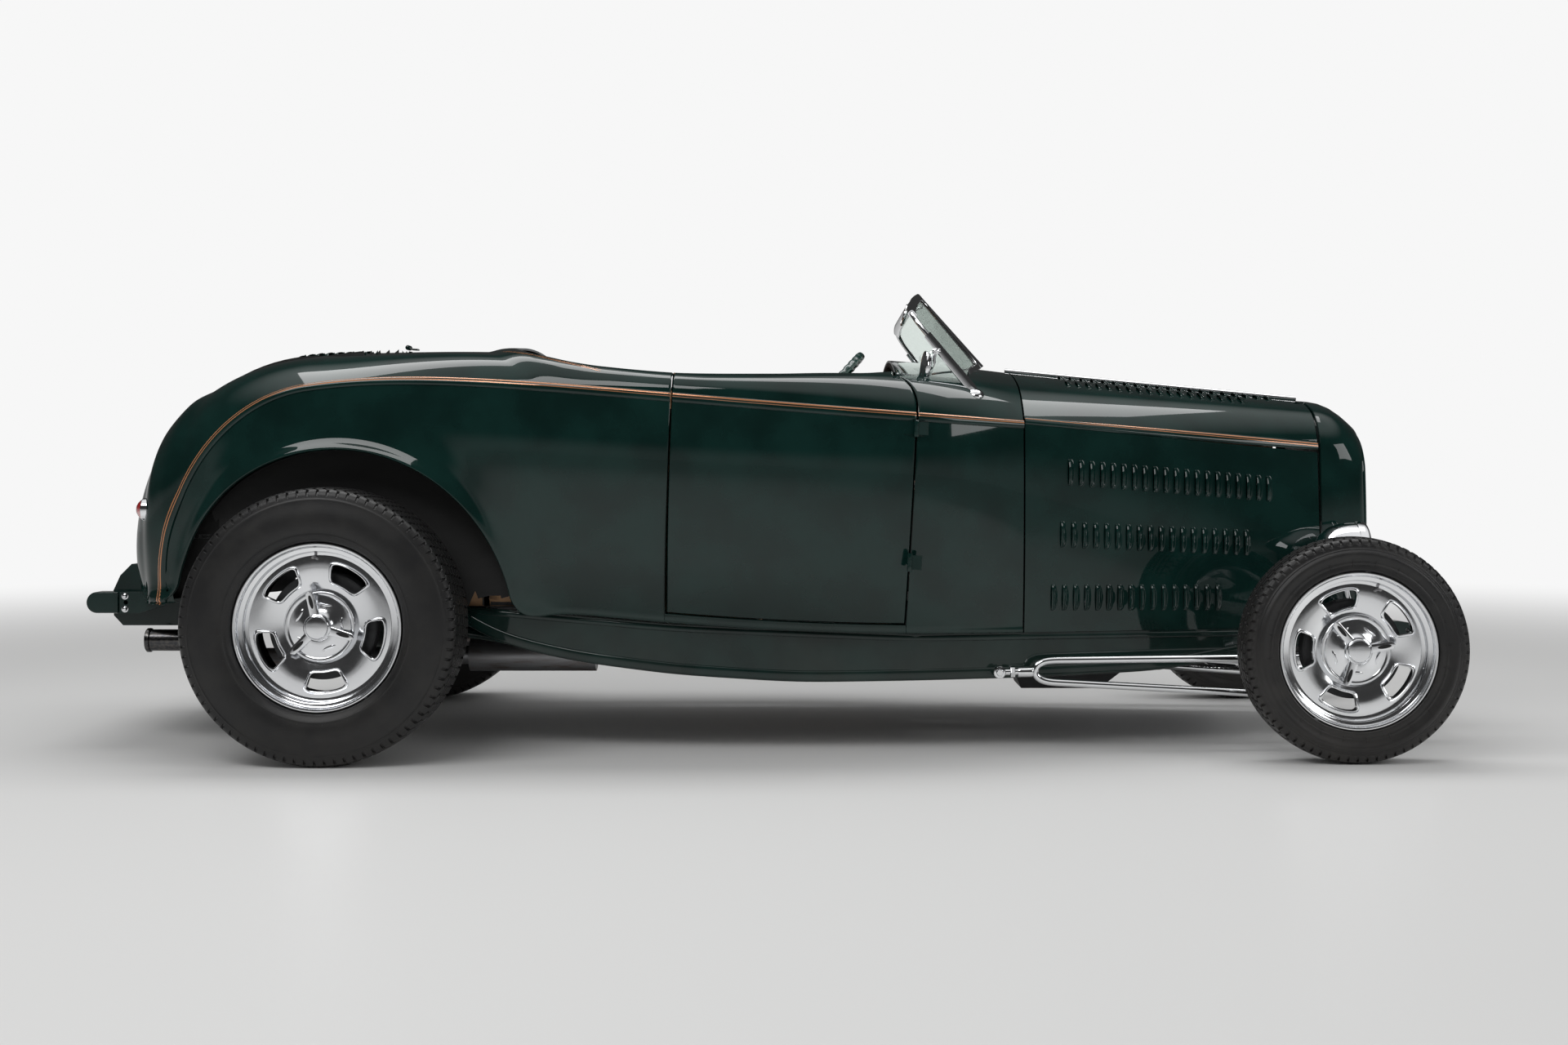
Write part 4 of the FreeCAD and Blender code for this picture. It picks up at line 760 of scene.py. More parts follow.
def turns_positive(length, field):
    """Length along each column from which its field stays positive."""
    bad = field < 0
    good = bad[:, ::-1].cumsum(1)[:, ::-1] == 0
    return crossing(length, field, np.argmax(good, 1), False)


def turns_negative(length, field):
    """Length along each column, from the belt on, at which its field first turns negative."""
    good = (field >= 0) | (length < 0)
    whole = good.all(1)
    k = np.where(whole, good.shape[1] - 1, np.argmax(~good, 1))
    return crossing(length, field, k, whole)


def at_rows(length, wanted, *tables):
    """Reads tables, given at FINE along each column, at the wanted lengths of each column."""
    k = (length[:, None, :] < wanted[:, :, None]).sum(2)
    k = np.clip(k, 1, length.shape[1] - 1)
    a, b = np.take_along_axis(length, k - 1, 1), np.take_along_axis(length, k, 1)
    w = np.clip((wanted - a) / np.maximum(b - a, 1e-9), 0, 1)
    out = []
    for table in tables:
        table = np.broadcast_to(table, length.shape)
        before, after = np.take_along_axis(table, k - 1, 1), np.take_along_axis(table, k, 1)
        out.append(before * (1 - w) + after * w)
    return out


EDGE_ROWS = np.array([0, 1.0, 2.2, 4.0, 6.5, 9.5, 13, 18, 25, 34, 46])
HALF_BELT = np.array([3.5, 7, 10, 11.6, 13, 14.5, 20, 30])
BELT_ROWS = np.concatenate([-HALF_BELT[::-1], [0], HALF_BELT])
CROWN_ROWS = 24                       # rows from the upper edge's own to the middle line


def rows_between(low, high, count_low, count_high, centre=None):
    """Rows along each column from low to high: edge rows at both ends, belt rows at the
    belt, even rows between. With centre, more rows go on from high to there."""
    fill = np.linspace(0, 1, count_low)[:-1]
    start, stop = low + EDGE_ROWS[-1], np.full_like(low, BELT_ROWS[0])
    runs = [low[:, None] + EDGE_ROWS[None, :-1],
            start[:, None] + fill * (stop - start)[:, None],
            np.broadcast_to(BELT_ROWS[:-1], (len(low), len(BELT_ROWS) - 1))]
    start, stop = np.full_like(low, BELT_ROWS[-1]), high - EDGE_ROWS[-1]
    fill = np.linspace(0, 1, count_high)[:-1]
    runs += [start[:, None] + fill * (stop - start)[:, None],
             high[:, None] - EDGE_ROWS[::-1][None]]
    if centre is not None:
        fill = np.linspace(0, 1, CROWN_ROWS + 1)[1:]
        start = high + EDGE_ROWS[-1]
        runs += [high[:, None] + EDGE_ROWS[None, 1:],
                 start[:, None] + fill * (centre - high - EDGE_ROWS[-1])[:, None]]
    return np.concatenate(runs, 1)


def nearest(points, line):
    """Distance in plan from each point to a line of (x, y) samples."""
    flat = points[..., :2].reshape(-1, 1, 2)
    step = 4000
    out = [np.linalg.norm(flat[i:i + step] - line[None], axis=2).min(1)
           for i in range(0, len(flat), step)]
    return np.concatenate(out).reshape(points.shape[:-1])


def moulding(b, height=5.0, half=13.0):
    """The belt's raised band across its width b: a low half-round with soft feet."""
    x = np.clip(np.abs(b) / half, 0, 1)
    return height * (1 - x ** 4) ** 0.75


def rolled(distance, depth=2.0, width=3.0):
    """How far a sheet's edge turns in, by its distance from that edge."""
    return depth * np.clip(1 - distance / width, 0, 1) ** 2


# %% [markdown]
# The cockpit's edge in plan, the shut lines of the door and of the deck lid, and the wheel
# arch are the lines that cut the skin into panels. A gap of 5 mm runs round whatever opens.

# %% Lines on the body
GAP = 5.0
ARCH = (12.0, 361.0, 458.0)           # station, height and radius of the wheel arch
CORNER = 55.0                         # radius of the arch's lower corners
SILL = 26.0                           # height of the body's edge under a door
LID_FRONT, LID_Z = 120.0, 575.0       # the deck lid's front edge, and its lower one's height
REAR_RIM, FRONT_RIM = 455.0, 1500.0   # stations of the cockpit's ends
BELT_Z, DOOR_X = 934.0, 1555.0        # where the door's front line starts to curve back
COCKPIT = np.array([(REAR_RIM, 430), (500, 560), (615, 612), (911, 630), (1200, 612),
                    (1420, 568), (FRONT_RIM, 500)], float)
fine_x = np.linspace(REAR_RIM, FRONT_RIM, 400)
rim_y = np.interp(fine_x, COCKPIT[:, 0], COCKPIT[:, 1])
for _ in range(3):                    # rounds the plan's corners a little
    rim_y[8:-8] = np.convolve(np.pad(rim_y, 8, "edge"), np.ones(17) / 17, "valid")[8:-8]
RIM = np.vstack([np.stack([np.full(60, REAR_RIM), np.linspace(0, rim_y[0], 60)], 1),
                 np.stack([fine_x, rim_y], 1),
                 np.stack([np.full(60, FRONT_RIM), np.linspace(rim_y[-1], 0, 60)], 1)])


def rim_width(x):
    return np.interp(x, fine_x, rim_y)


def door_front(z):
    """Station of the door's front shut line: it leans, and curves back over the belt."""
    over = np.clip((z - BELT_Z) / 86, 0, 1)
    back = np.where(z < BELT_Z, 30 * (BELT_Z - z) / 586, 59 * (1 - np.sqrt(1 - over ** 2)))
    return DOOR_X - back


def door_rear(z):
    """Station of the door's rear shut line, which leans forward."""
    return 911 - 30 * (1200 - z) / 822


def door_out(points, s):
    """How far outside the door's outline a point lies, in mm; negative inside it."""
    x, z = points[..., 0], points[..., 2]
    sill = PIVOT_Z + section_at(s)[0] + SILL
    return np.maximum(np.maximum(x - door_front(z), door_rear(z) - x), sill - z)


def lid_half(x):
    """Half width of the deck lid at a station."""
    return 395 + (x - LID_FRONT) * (395 - 330) / (LID_FRONT + 745)


def from_pivot(points):
    """Distance of points from the line the tail's sections turn about."""
    return np.hypot(points[..., 0] - PIVOT_X, points[..., 2] - PIVOT_Z)


def fan_line(z, reach):
    """s of the fan's ray that is at height z where it is reach from the pivot."""
    return PIVOT_X - FAN * np.degrees(np.arccos(np.clip((z - PIVOT_Z) / reach, -1, 1)))


def lid_out(points, s):
    """How far outside the deck lid's outline a point lies, in mm; negative inside it."""
    reach = from_pivot(points)
    under = (fan_line(LID_Z, reach) - s) * np.radians(1 / FAN) * reach
    beside = np.abs(points[..., 1]) - lid_half(points[..., 0])
    return np.maximum(np.maximum(beside, s - LID_FRONT), under)


def flare(d):
    """The wheel arch's lip: the sheet turns out towards its edge, then rolls over."""
    return 13 * np.exp(-(d / 22) ** 2) + 9 * np.exp(-(d / 65) ** 2) - rolled(d, 5, 4)


def bead(e, height=3.0, width=14.0):
    """A half-round bead along an edge, e being the distance from the edge."""
    return height * np.sqrt(np.clip(1 - (2 * e / width - 1) ** 2, 0, 1))


def arch_fields(points, s):
    """Distance from the lower edge with the arch's corners rounded; and from the arch alone."""
    arch = np.hypot(points[..., 0] - ARCH[0], points[..., 2] - ARCH[1]) - ARCH[2]
    ahead = points[..., 2] - (PIVOT_Z + section_at(s)[0])
    behind = (s - TAIL_END) * np.radians(1 / FAN) * from_pivot(points)
    foot = np.where(s > PIVOT_X, ahead, behind)
    u, v = np.maximum(CORNER - arch, 0), np.maximum(CORNER - foot, 0)
    rounded = CORNER - np.hypot(u, v)
    return np.where((u > 0) & (v > 0), rounded, np.minimum(arch, foot)), arch


def above_foot(height=0.0):
    """The field that is positive more than height over the body's lower edge."""
    return lambda p, s: p[..., 2] - PIVOT_Z - section_at(s)[0] - height


def everywhere(p, s):
    """The field of a panel that has no edge there."""
    return 1.0 - 0 * p[..., 2]


def panel(lines, shares, lower, upper, counts, centre=False):
    """A grid on the skin. Columns run between key lines; rows from where the field lower
    turns positive to where upper turns negative, and with centre on to the middle line.
    B is each point's distance from the belt along its column."""
    columns = between(lines, shares)
    points = skin(columns, FINE)
    step = np.linalg.norm(np.diff(points, axis=1), axis=2)
    length = np.concatenate([np.zeros((len(columns), 1)), np.cumsum(step, 1)], 1)
    length -= length[:, BELT:BELT + 1]
    low = turns_positive(length, lower(points, columns))
    high = turns_negative(length, upper(points, columns))
    B = rows_between(low, high, *counts, length[:, -1] if centre else None)
    S, T = at_rows(length, B, columns, FINE[None])
    return dict(S=S, T=T, B=B, low=B - low[:, None], high=high[:, None] - B,
                base=skin(S, T), away=skin_normal(S, T))


def shaped(p, rise):
    """The grid's points lifted off the skin by rise, with a UV of (s, distance from belt)."""
    points = p["base"] + p["away"] * rise[..., None]
    return points, np.stack([p["S"] / 1000, p["B"] / 1000], -1)


def pair(points, uv, keep=None):
    """Both sides of the car from a right-hand grid."""
    part = grid(points, keep=keep) + (uv.reshape(-1, 2),)
    return [part, mirror_y(part)]


# %% [markdown]
# The rear of the body is one pressing from the door's rear shut line round the tail: the
# quarters with their flared arches, the deck, and the panel under the deck lid. Its cells
# inside the lid's outline and inside the cockpit are left out.

# %% Rear quarters, deck and tail
def flat(value):
    return np.full(FINE.shape, float(value))


def arch_columns(low, high, count):
    """Shares between two stations that are even in angle round the wheel arch."""
    first, last = (np.arccos(np.clip((x - ARCH[0]) / ARCH[2], -1, 1)) for x in (low, high))
    stations = ARCH[0] + ARCH[2] * np.cos(np.linspace(first, last, count))
    return (stations - low) / (high - low)


DECK_X = LID_FRONT + GAP / 2          # the deck's edge at the lid's front gap
DECK_Y, RIM_Y = 397.5, 430.0          # half widths there and at the cockpit's rear


def rear_width(points):
    """Half width where the upper edge of the quarter runs: cockpit rim, deck, lid."""
    x = points[..., 0]
    deck = DECK_Y + (x - DECK_X) * (RIM_Y - DECK_Y) / (REAR_RIM - DECK_X)
    lid_side = lid_half(x) + GAP / 2
    return np.where(x > REAR_RIM, rim_width(x), np.where(x > DECK_X, deck, lid_side))


def surround(points):
    """The raised band round the rear of the cockpit, which fades out along the sides."""
    gap = nearest(np.abs(points), RIM)
    ahead = smooth((points[..., 0] - REAR_RIM) / 260)
    return 12 * (1 - smooth((gap - 26) / 60)) * (1 - ahead)


def skin_panel(name, parts, body, finish, inside):
    """A piece of body skin with its wall of 6 mm."""
    make(name, parts, body, finish, "body_paint", wall=6, angle=50, seal=False, inside=inside)


rear_door_line = settle(lambda p: door_rear(p[:, 2]), 900) - GAP / 2
lid_low_line = settle(lambda p: fan_line(LID_Z - GAP / 2, from_pivot(p)), -870)
lines = [flat(TAIL_END), lid_low_line, flat(PIVOT_X), flat(DECK_X), flat(REAR_RIM), flat(469.9),
         flat(560), rear_door_line]
shares = [gathered(20, False, True, 190), np.linspace(0, 1, 74), gathered(18, False, True, 200),
          arch_columns(DECK_X, REAR_RIM, 40), np.sort(1 - np.linspace(1, 0, 10) ** 2),
          np.linspace(0, 1, 22), gathered(30, False, True, 330)]
rear = panel(lines, shares, lambda p, s: arch_fields(p, s)[0],
             lambda p, s: np.abs(p[..., 1]) - rear_width(p), (22, 20), True)
field, from_arch = arch_fields(rear["base"], rear["S"])
near_arch = 1 - smooth((from_arch - CORNER) / 90)
rise = moulding(rear["B"]) + near_arch * flare(np.maximum(field, 0)) \
    + (1 - near_arch) * bead(rear["low"]) + surround(rear["base"]) \
    - rolled(np.abs(lid_out(rear["base"], rear["S"]) - GAP / 2)) \
    - rolled(np.maximum(np.interp(rear["T"], FINE, rear_door_line) - rear["S"], 0))
rear_points, rear_uv = shaped(rear, rise)
keep = np.ones((rear_points.shape[0] - 1, rear_points.shape[1] - 1), bool)
upper_row = rear_points.shape[1] - len(EDGE_ROWS) - CROWN_ROWS
columns_to = np.cumsum([len(share) - 1 for share in shares])
keep[columns_to[0]:columns_to[2], upper_row:] = False      # the deck lid's opening
keep[columns_to[3]:, upper_row:] = False                   # the cockpit
print("rear grid", rear_points.shape, "openings from row", upper_row)

# %% Cowl and sill
cowl_line = np.maximum(settle(lambda p: door_front(p[:, 2]), 1540) + GAP / 2, FRONT_RIM)
cowl = panel([cowl_line, flat(COWL_END)], [gathered(34, True, False, 300)], above_foot(),
             everywhere, (34, 60))
door_edge = rolled(np.maximum(cowl["S"] - np.interp(cowl["T"], FINE, cowl_line), 0))
rise = moulding(cowl["B"]) + bead(cowl["low"]) - door_edge * (cowl["base"][..., 2] < 1018)
cowl_points, cowl_uv = shaped(cowl, rise)

sill = panel([rear_door_line, cowl_line], [np.linspace(0, 1, 50)], above_foot(), everywhere, (34, 10))
sill_top = SILL - GAP / 2
share = np.array([0, 0.06, 0.14, 0.25, 0.4, 0.6, 0.8, 0.93, 1.0])
sill_s = np.repeat(sill["S"][:, :1], len(share), 1)
sill_t = np.broadcast_to(share * sill_top / 586, sill_s.shape)   # 586 mm from foot to belt
sill_points = skin(sill_s, sill_t) + skin_normal(sill_s, sill_t) * bead(share * sill_top)[None, :, None]
sill_uv = np.stack([sill_s / 1000, 0 * sill_s - 0.5], -1)
skin_panel("tub_skin", pair(rear_points, rear_uv, keep) + pair(cowl_points, cowl_uv)
           + pair(sill_points, sill_uv), "chassis", PAINT_LINED, (700, 0, 700))

# %% Doors
door_rear_line = rear_door_line + GAP
door_front_line = settle(lambda p: door_front(p[:, 2]), 1540) - GAP / 2
door = panel([door_rear_line, door_front_line], [gathered(52, True, True, 600)],
             above_foot(SILL + GAP / 2),
             lambda p, s: np.abs(p[..., 1]) - rim_width(p[..., 0]), (30, 12))
rise = moulding(door["B"]) - rolled(np.maximum(-door_out(door["base"], door["S"]) - GAP / 2, 0))
door_points, door_uv = shaped(door, rise)
for (_, label), part in zip(SIDES, pair(door_points, door_uv)):
    skin_panel("door_skin_" + label, [part], "door_" + label, PAINT_LINED, (1200, 0, 600))

# %% Deck lid
lid_line = lid_low_line + GAP * FAN * 180 / np.pi / 540     # the gap as an angle, 540 mm out
lid = panel([lid_line, flat(PIVOT_X), flat(LID_FRONT - GAP / 2)],
            [gathered(60, True, False, 620), gathered(24, False, True, 200)], everywhere,
            lambda p, s: np.abs(p[..., 1]) - (lid_half(p[..., 0]) - GAP / 2), (4, 4), True)
first = lid["B"].shape[1] - len(EDGE_ROWS) - CROWN_ROWS
lid = {name: table[:, first:] for name, table in lid.items()}
rise = -rolled(np.maximum(-lid_out(lid["base"], lid["S"]) - GAP / 2, 0))
lid_points, lid_uv = shaped(lid, rise)
lid_uv[..., 1] = 0.5
skin_panel("lid_skin", pair(lid_points, lid_uv), "deck_lid", PAINT, (0, 0, 600))

# %% [markdown]
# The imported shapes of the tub, the doors and the lid have the inner faces: floor wells,
# firewall, door boxes. A copy of each, without the faces that lie on the outer skin, backs
# the new skin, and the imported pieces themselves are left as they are. Faces that look into
# the cabin are leather, and the jambs and rims round it are painted.

# %% Inner faces of the body
ring_s = np.concatenate([np.linspace(TAIL_END, PIVOT_X, 90), np.linspace(PIVOT_X, COWL_END, 160)[1:]])
right = grid(metres(skin(ring_s[:, None], np.linspace(0, 3, 120)[None])))
OUTER = BVHTree.FromPolygons(right[0].tolist() + mirror_y(right)[0].tolist(),
                             right[1].tolist() + (right[1] + len(right[0])).tolist())
CABIN_LOW, CABIN_HIGH = metres([(300, 0, 340), (FRONT_RIM, 0, 0)])
SEAT_BACK_X = metres((700, 0, 0))[0]  # behind this the cabin's back wall is leather too
ARCH_END = metres((600, 0, 0))[0]     # ahead of this the doorways and the cockpit rim are kept
CORE_Z = 0.65                         # metres: height of the middle of the body's section
LONGEST = 0.05                        # metres: edges over this are cut, to follow the skin


def packed_copy(node):
    """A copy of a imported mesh, and the same as a bmesh with its doubled points merged."""
    mesh = NODES[node].data.copy()
    mesh.materials.clear()
    shape = bmesh.new()
    shape.from_mesh(mesh)
    bmesh.ops.remove_doubles(shape, verts=shape.verts, dist=CAD_WELD)
    return mesh, shape


def on_skin(face, margin):
    """Whether a face lies on the outer skin or past it. Faces that run across the wall, as
    jambs and rims do, count only within 3 mm of it, others within margin."""
    middle = face.calc_center_median()
    near, skin_facing, _, gap = OUTER.find_nearest(middle)
    core = Vector((middle.x, 0, CORE_Z))
    faces_in = face.normal.dot((middle - core).normalized()) < -0.3
    crosses = abs(face.normal.dot(skin_facing)) < 0.75
    crosses = crosses and (middle.x > ARCH_END or abs(middle.y) < 0.5)
    past = (middle - core).length > (near - core).length + 0.002
    return past or (gap < (0.003 if crosses else margin) and not faces_in)


def cabin_finish(mesh):
    """Finish of each face: 1, leather, where it looks into the cabin; 2, paint, on the
    jambs and rims; 0 elsewhere."""
    centre, normal = per_face(mesh, "center"), per_face(mesh, "normal")
    behind = centre[:, 0] < SEAT_BACK_X
    inward = (-np.sign(centre[:, 1]) * normal[:, 1] > 0.3) | (behind & (normal[:, 0] > 0.3))
    in_cabin = (centre[:, 0] > CABIN_LOW[0]) & (centre[:, 0] < CABIN_HIGH[0]) \
        & (centre[:, 2] > CABIN_LOW[2])
    jamb = ~behind & (np.abs(centre[:, 1]) > 0.45) & (np.abs(normal[:, 0]) > 0.6)
    rim = (normal[:, 2] > 0.5) & (centre[:, 2] > 0.85)
    return np.where(in_cabin & (jamb | rim), 2, np.where(in_cabin & inward, 1, 0))


def inner_copy(name, node, finishes, slot, body=None, margin=0.013):
    """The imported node's faces that aren't on the outer skin, as a piece of their own."""
    mesh, shape = packed_copy(node)
    bmesh.ops.triangulate(shape, faces=shape.faces)
    for _ in range(2):
        long = [edge for edge in shape.edges if edge.calc_length() > LONGEST]
        bmesh.ops.subdivide_edges(shape, edges=long, cuts=1)
        bmesh.ops.triangulate(shape, faces=shape.faces)
    total = len(shape.faces)
    outer = [face for face in shape.faces if on_skin(face, margin)]
    bmesh.ops.delete(shape, geom=outer, context="FACES")
    shape.to_mesh(mesh)
    shape.free()
    place(name, mesh, finishes, body or node, slot, [node], 30)
    if len(finishes) > 1:
        mesh.polygons.foreach_set("material_index", cabin_finish(mesh).astype(np.int32))
    print("%-26s %6d faces kept of %d" % (name, len(mesh.polygons), total))


inner_copy("tub_inside", "body_tub", [DARK, LEATHER, PAINT], "body_paint", "chassis")
inner_copy("door_inside_right", "door_right", [PAINT, LEATHER, PAINT], "upholstery")
inner_copy("door_inside_left", "door_left", [PAINT, LEATHER, PAINT], "upholstery")
inner_copy("lid_inside", "deck_lid", [PAINT], "body_paint")

# %% [markdown]
# ## Hood and grille shell
#
# The hood is four sheets: two sides and two tops that meet at a long hinge. They are flat
# across their length, so straight lines run from the cowl to the grille shell. The louvres
# are pressed with a die that shears the sheet along one line and bulges it out in front of
# that line, which leaves a slot facing rearward. In the grid a louvre is a bump, and the
# cells of its mouth are left out.

# %% Hood surface
SEAM, NOSE = COWL_END, 2720.0
HOOD_ENDS = [np.array(row, float) for row in (
    (320, 492, 521, 516, 890, 345, 1004, 1051), (320, 318, 292, 268, 814, 180, 935, 968))]
LOUVRE_LONG, LOUVRE_REACH, LOUVRE_RISE = 72.0, 19.0, 7.5
UPRIGHT, ACROSS = 2, 1                # the axis that a strip of hood is measured along


def hood(x, t):
    """Straight lines between the sections at the cowl and at the grille shell."""
    x, t = np.broadcast_arrays(np.asarray(x, float), np.asarray(t, float))
    w = (x - SEAM) / (NOSE - SEAM)
    (y0, z0), (y1, z1) = (curve(row, t) for row in HOOD_ENDS)
    return np.stack([x, -(y0 + (y1 - y0) * w), z0 + (z1 - z0) * w], -1)


def hood_normal(x, t):
    k = 2e-3
    ds = hood(x + 1, t) - hood(x - 1, t)
    dt = hood(x, np.clip(t + k, 0, 3)) - hood(x, np.clip(t - k, 0, 3))
    normal = np.cross(ds, dt)
    return normal / np.linalg.norm(normal, axis=-1)[..., None]


def hood_t(x, value, axis):
    """The t at which the section at x has the wanted height or half width."""
    fine = FINE[:BELT + 1] if axis == UPRIGHT else FINE[BELT:]
    table, wanted = hood(x.ravel()[:, None], fine[None])[..., axis], value.ravel()
    k = np.clip((table < wanted[:, None]).sum(1), 1, table.shape[1] - 1)
    rows = np.arange(len(k))
    before, after = table[rows, k - 1], table[rows, k]
    share = np.clip((wanted - before) / (after - before), 0, 1)
    return (fine[k - 1] + (fine[k] - fine[k - 1]) * share).reshape(x.shape)


def hood_sheet(low, high, axis, louvres=None, rows=12, belt=False):
    """A strip of hood between two lines given as (value at SEAM, value at NOSE), with an
    optional row of louvres given as (count, first station, last station)."""
    first, last = SEAM + GAP, NOSE - GAP
    if louvres is None:
        x = np.linspace(first, last, 40)
        share = np.concatenate([[0, 0.01], np.linspace(0, 1, rows)[1:-1], [0.99, 1]])
    else:
        count, start, stop = louvres
        local = np.array([-0.05, 0.05, 1.4, 3.4, 5.6, 8, 10.4, 12.8, 15.2, LOUVRE_REACH])
        roots = np.linspace(start, stop, count)
        x = np.concatenate([[first], (roots[:, None] + local).ravel(), [last]])
        share = (1 - np.cos(np.pi * np.linspace(0, 1, 21))) / 2
    w = (x - SEAM) / (NOSE - SEAM)
    a, b = low[0] + (low[1] - low[0]) * w, high[0] + (high[1] - high[0]) * w
    value = a[:, None] + (b - a)[:, None] * share[None]
    X = np.broadcast_to(x[:, None], value.shape)
    t = hood_t(X, value, axis)
    rise, from_belt, keep = 0 * value, np.full(X.shape, 500.0), None
    if belt:
        from_belt = np.linalg.norm(hood(X, t) - hood(X, 1.0 + 0 * t), axis=-1) - 15
        rise = moulding(from_belt)
    if louvres is not None:
        reach = np.concatenate([[9], np.tile(local / LOUVRE_REACH, count), [9]])
        along = np.sqrt(np.clip(1 - np.abs(2 * share - 1) ** 2.6, 0, 1))
        fall = np.clip(reach[:, None] / (0.35 + 0.65 * along[None]), 0, 1)
        bulge = np.where((reach > 0) & (reach < 1), 1.0, 0.0)[:, None] \
            * (0.5 + 0.5 * np.cos(np.pi * fall ** 1.25))
        rise = LOUVRE_RISE * bulge * along[None]
        keep = ~((reach[:-1] < 0)[:, None] & (rise[1:, :-1] + rise[1:, 1:] > 1.0))
    points = hood(X, t) + hood_normal(X, t) * rise[..., None]
    return pair(points, np.stack([X / 1000, from_belt / 1000], -1), keep)


def line_through(x0, v0, x1, v1):
    """The values at SEAM and NOSE of the straight line through two (station, value)."""
    slope = (v1 - v0) / (x1 - x0)
    return v0 + slope * (SEAM - x0), v0 + slope * (NOSE - x0)


def louvred(table, lower, upper, axis, rows, last_rows):
    """Plain strips and rows of louvres by turns, from the line lower to the line upper. The
    table holds count, first and last station, and the louvres' feet at both, for each row."""
    parts = []
    for count, start, stop, v0, v1 in table:
        foot = line_through(start, v0, stop, v1)
        tip = tuple(v + LOUVRE_LONG for v in foot)
        parts += hood_sheet(lower, foot, axis, rows=rows)
        parts += hood_sheet(foot, tip, axis, (count, start, stop))
        lower = tip
    return parts + hood_sheet(lower, upper, axis, rows=last_rows)


def thin_sheet(name, parts, body, finish, angle, replaces, inside):
    """A painted piece of sheet 2.5 mm thick."""
    make(name, parts, body, finish, "body_paint", replaces=[replaces], wall=2.5, angle=angle,
         seal=False, inside=inside)


# %% Hood sides and tops
side_rows = [(16, 1929, 2402, 380, 372), (18, 1954, 2488, 553, 525), (20, 1976, 2557, 723, 676)]
parts = louvred(side_rows, (320.5, 320.5), (890, 814), UPRIGHT, 12, 6)
thin_sheet("hood_side_panels", parts, "chassis", PAINT, 75, "hood_sides", (2300, 0, 600))

top_rows = [(18, 2003, 2514, -275, -205), (20, 2000, 2612, -135, -112)]
belt_low, belt_high = (-515.3, -267.4), (-503.0, -255.0)
parts = hood_sheet(belt_low, belt_high, ACROSS, rows=26, belt=True)
parts += louvred(top_rows, belt_high, (-4.0, -4.0), ACROSS, 16, 8)
for k, (_, side) in enumerate(SIDES):
    thin_sheet("hood_top_sheet_" + side, parts[k::2], "hood_top_" + side, PAINT_LINED, 40,
               "hood_top_" + side, (2300, 0, 600))

# %% Grille shell
SHELL_X = np.array([NOSE, 2790.0, 2868.0])
SHELL_ROWS = np.array([(340, 268, 281, 268, 814, 180, 935, 968), (340, 264, 277, 266, 800, 174, 922, 954),
                       (340, 232, 244, 228, 776, 140, 868, 892)], float)
MOUTH = np.array([(0, 352), (60, 366), (150, 400), (186, 450), (190, 740), (172, 800), (120, 842),
                  (50, 856), (0, 858)], float)
MIDDLE_Z = 600.0                      # height of the point that the shell's angles turn about
FACE_X = 2866.0                       # the shell's front face
POLAR = np.linspace(-np.pi / 2, np.pi / 2, 121)


def polar(y, z, soft):
    """A half outline as radius by angle about the point MIDDLE_Z up the middle line."""
    angle, radius = np.arctan2(z - MIDDLE_Z, y), np.hypot(y, z - MIDDLE_Z)
    out = np.interp(np.linspace(-np.pi / 2, np.pi / 2, 721), angle, radius)
    for _ in range(3):
        padded = np.pad(out, soft, "reflect")
        out = np.convolve(padded, np.ones(2 * soft + 1) / (2 * soft + 1), "valid")
    return np.interp(POLAR, np.linspace(-np.pi / 2, np.pi / 2, 721), out)


def shell_radius(x):
    rows = spline(SHELL_X, SHELL_ROWS, np.array(float(x)))
    y, z = curve(rows, np.linspace(0, 3, 400))
    y = np.concatenate([np.linspace(0, y[0], 60)[:-1], y])
    z = np.concatenate([np.full(59, z[0]), z])
    return polar(y, z, 5)


def polar_ring(x, radius):
    """A closed ring of points at station x, right half then left half."""
    y, z = radius * np.cos(POLAR), MIDDLE_Z + radius * np.sin(POLAR)
    half = np.stack([np.full(len(y), float(x)), -y, z], 1)
    return np.vstack([half, (half * [1, -1, 1])[::-1][1:-1]])


dense = np.linspace(0, 1, 60)[:-1, None]
mouth_line = np.vstack([a + dense * (b - a) for a, b in zip(MOUTH, MOUTH[1:])] + [MOUTH[-1:]])
mouth = polar(mouth_line[:, 0], mouth_line[:, 1], 6)
turn = np.linspace(0, np.pi / 2, 9)
outer_round, lip = 14, 9              # radii of the shell's front edge and of the mouth's lip
front_wall = shell_radius(FACE_X)
rings = [(x, shell_radius(x)) for x in (2725, 2727, 2745, 2770, 2795, 2820, 2838, 2852)]
rings += [(FACE_X - outer_round + outer_round * np.sin(a), front_wall - outer_round * (1 - np.cos(a)))
          for a in turn[1:]]
rings += [(FACE_X + 1.6 * np.sin(np.pi * w), (front_wall - outer_round) * (1 - w) + (mouth + lip) * w)
          for w in (0.1, 0.3, 0.5, 0.7, 0.9)]
rings += [(FACE_X - lip * (1 - np.cos(a)), mouth + lip * (1 - np.sin(a))) for a in turn]
rings += [(2845, mouth - 0.5), (2830, mouth - 1)]
shell = np.stack([polar_ring(x, radius) for x, radius in rings])
thin_sheet("grille_shell_skin", [grid(shell, ring_cols=True)], "chassis", PAINT, 45,
           "grille_shell", (2700, 0, 620))
flange = np.stack([polar_ring(2725.5, shell_radius(2725) - 2),
                   polar_ring(2724, shell_radius(2725) - 16)])
make("grille_shell_flange", [grid(flange, ring_cols=True)], "chassis", PAINT, "body_paint",
     wall=2, seal=False)

# %% Grille bars
def upright(x, y, low, high, section):
    """A bar that stands in the shell's mouth."""
    return sweep([(x, y, low), (x, y, MIDDLE_Z), (x, y, high)], section, up=(1, 0, 0))


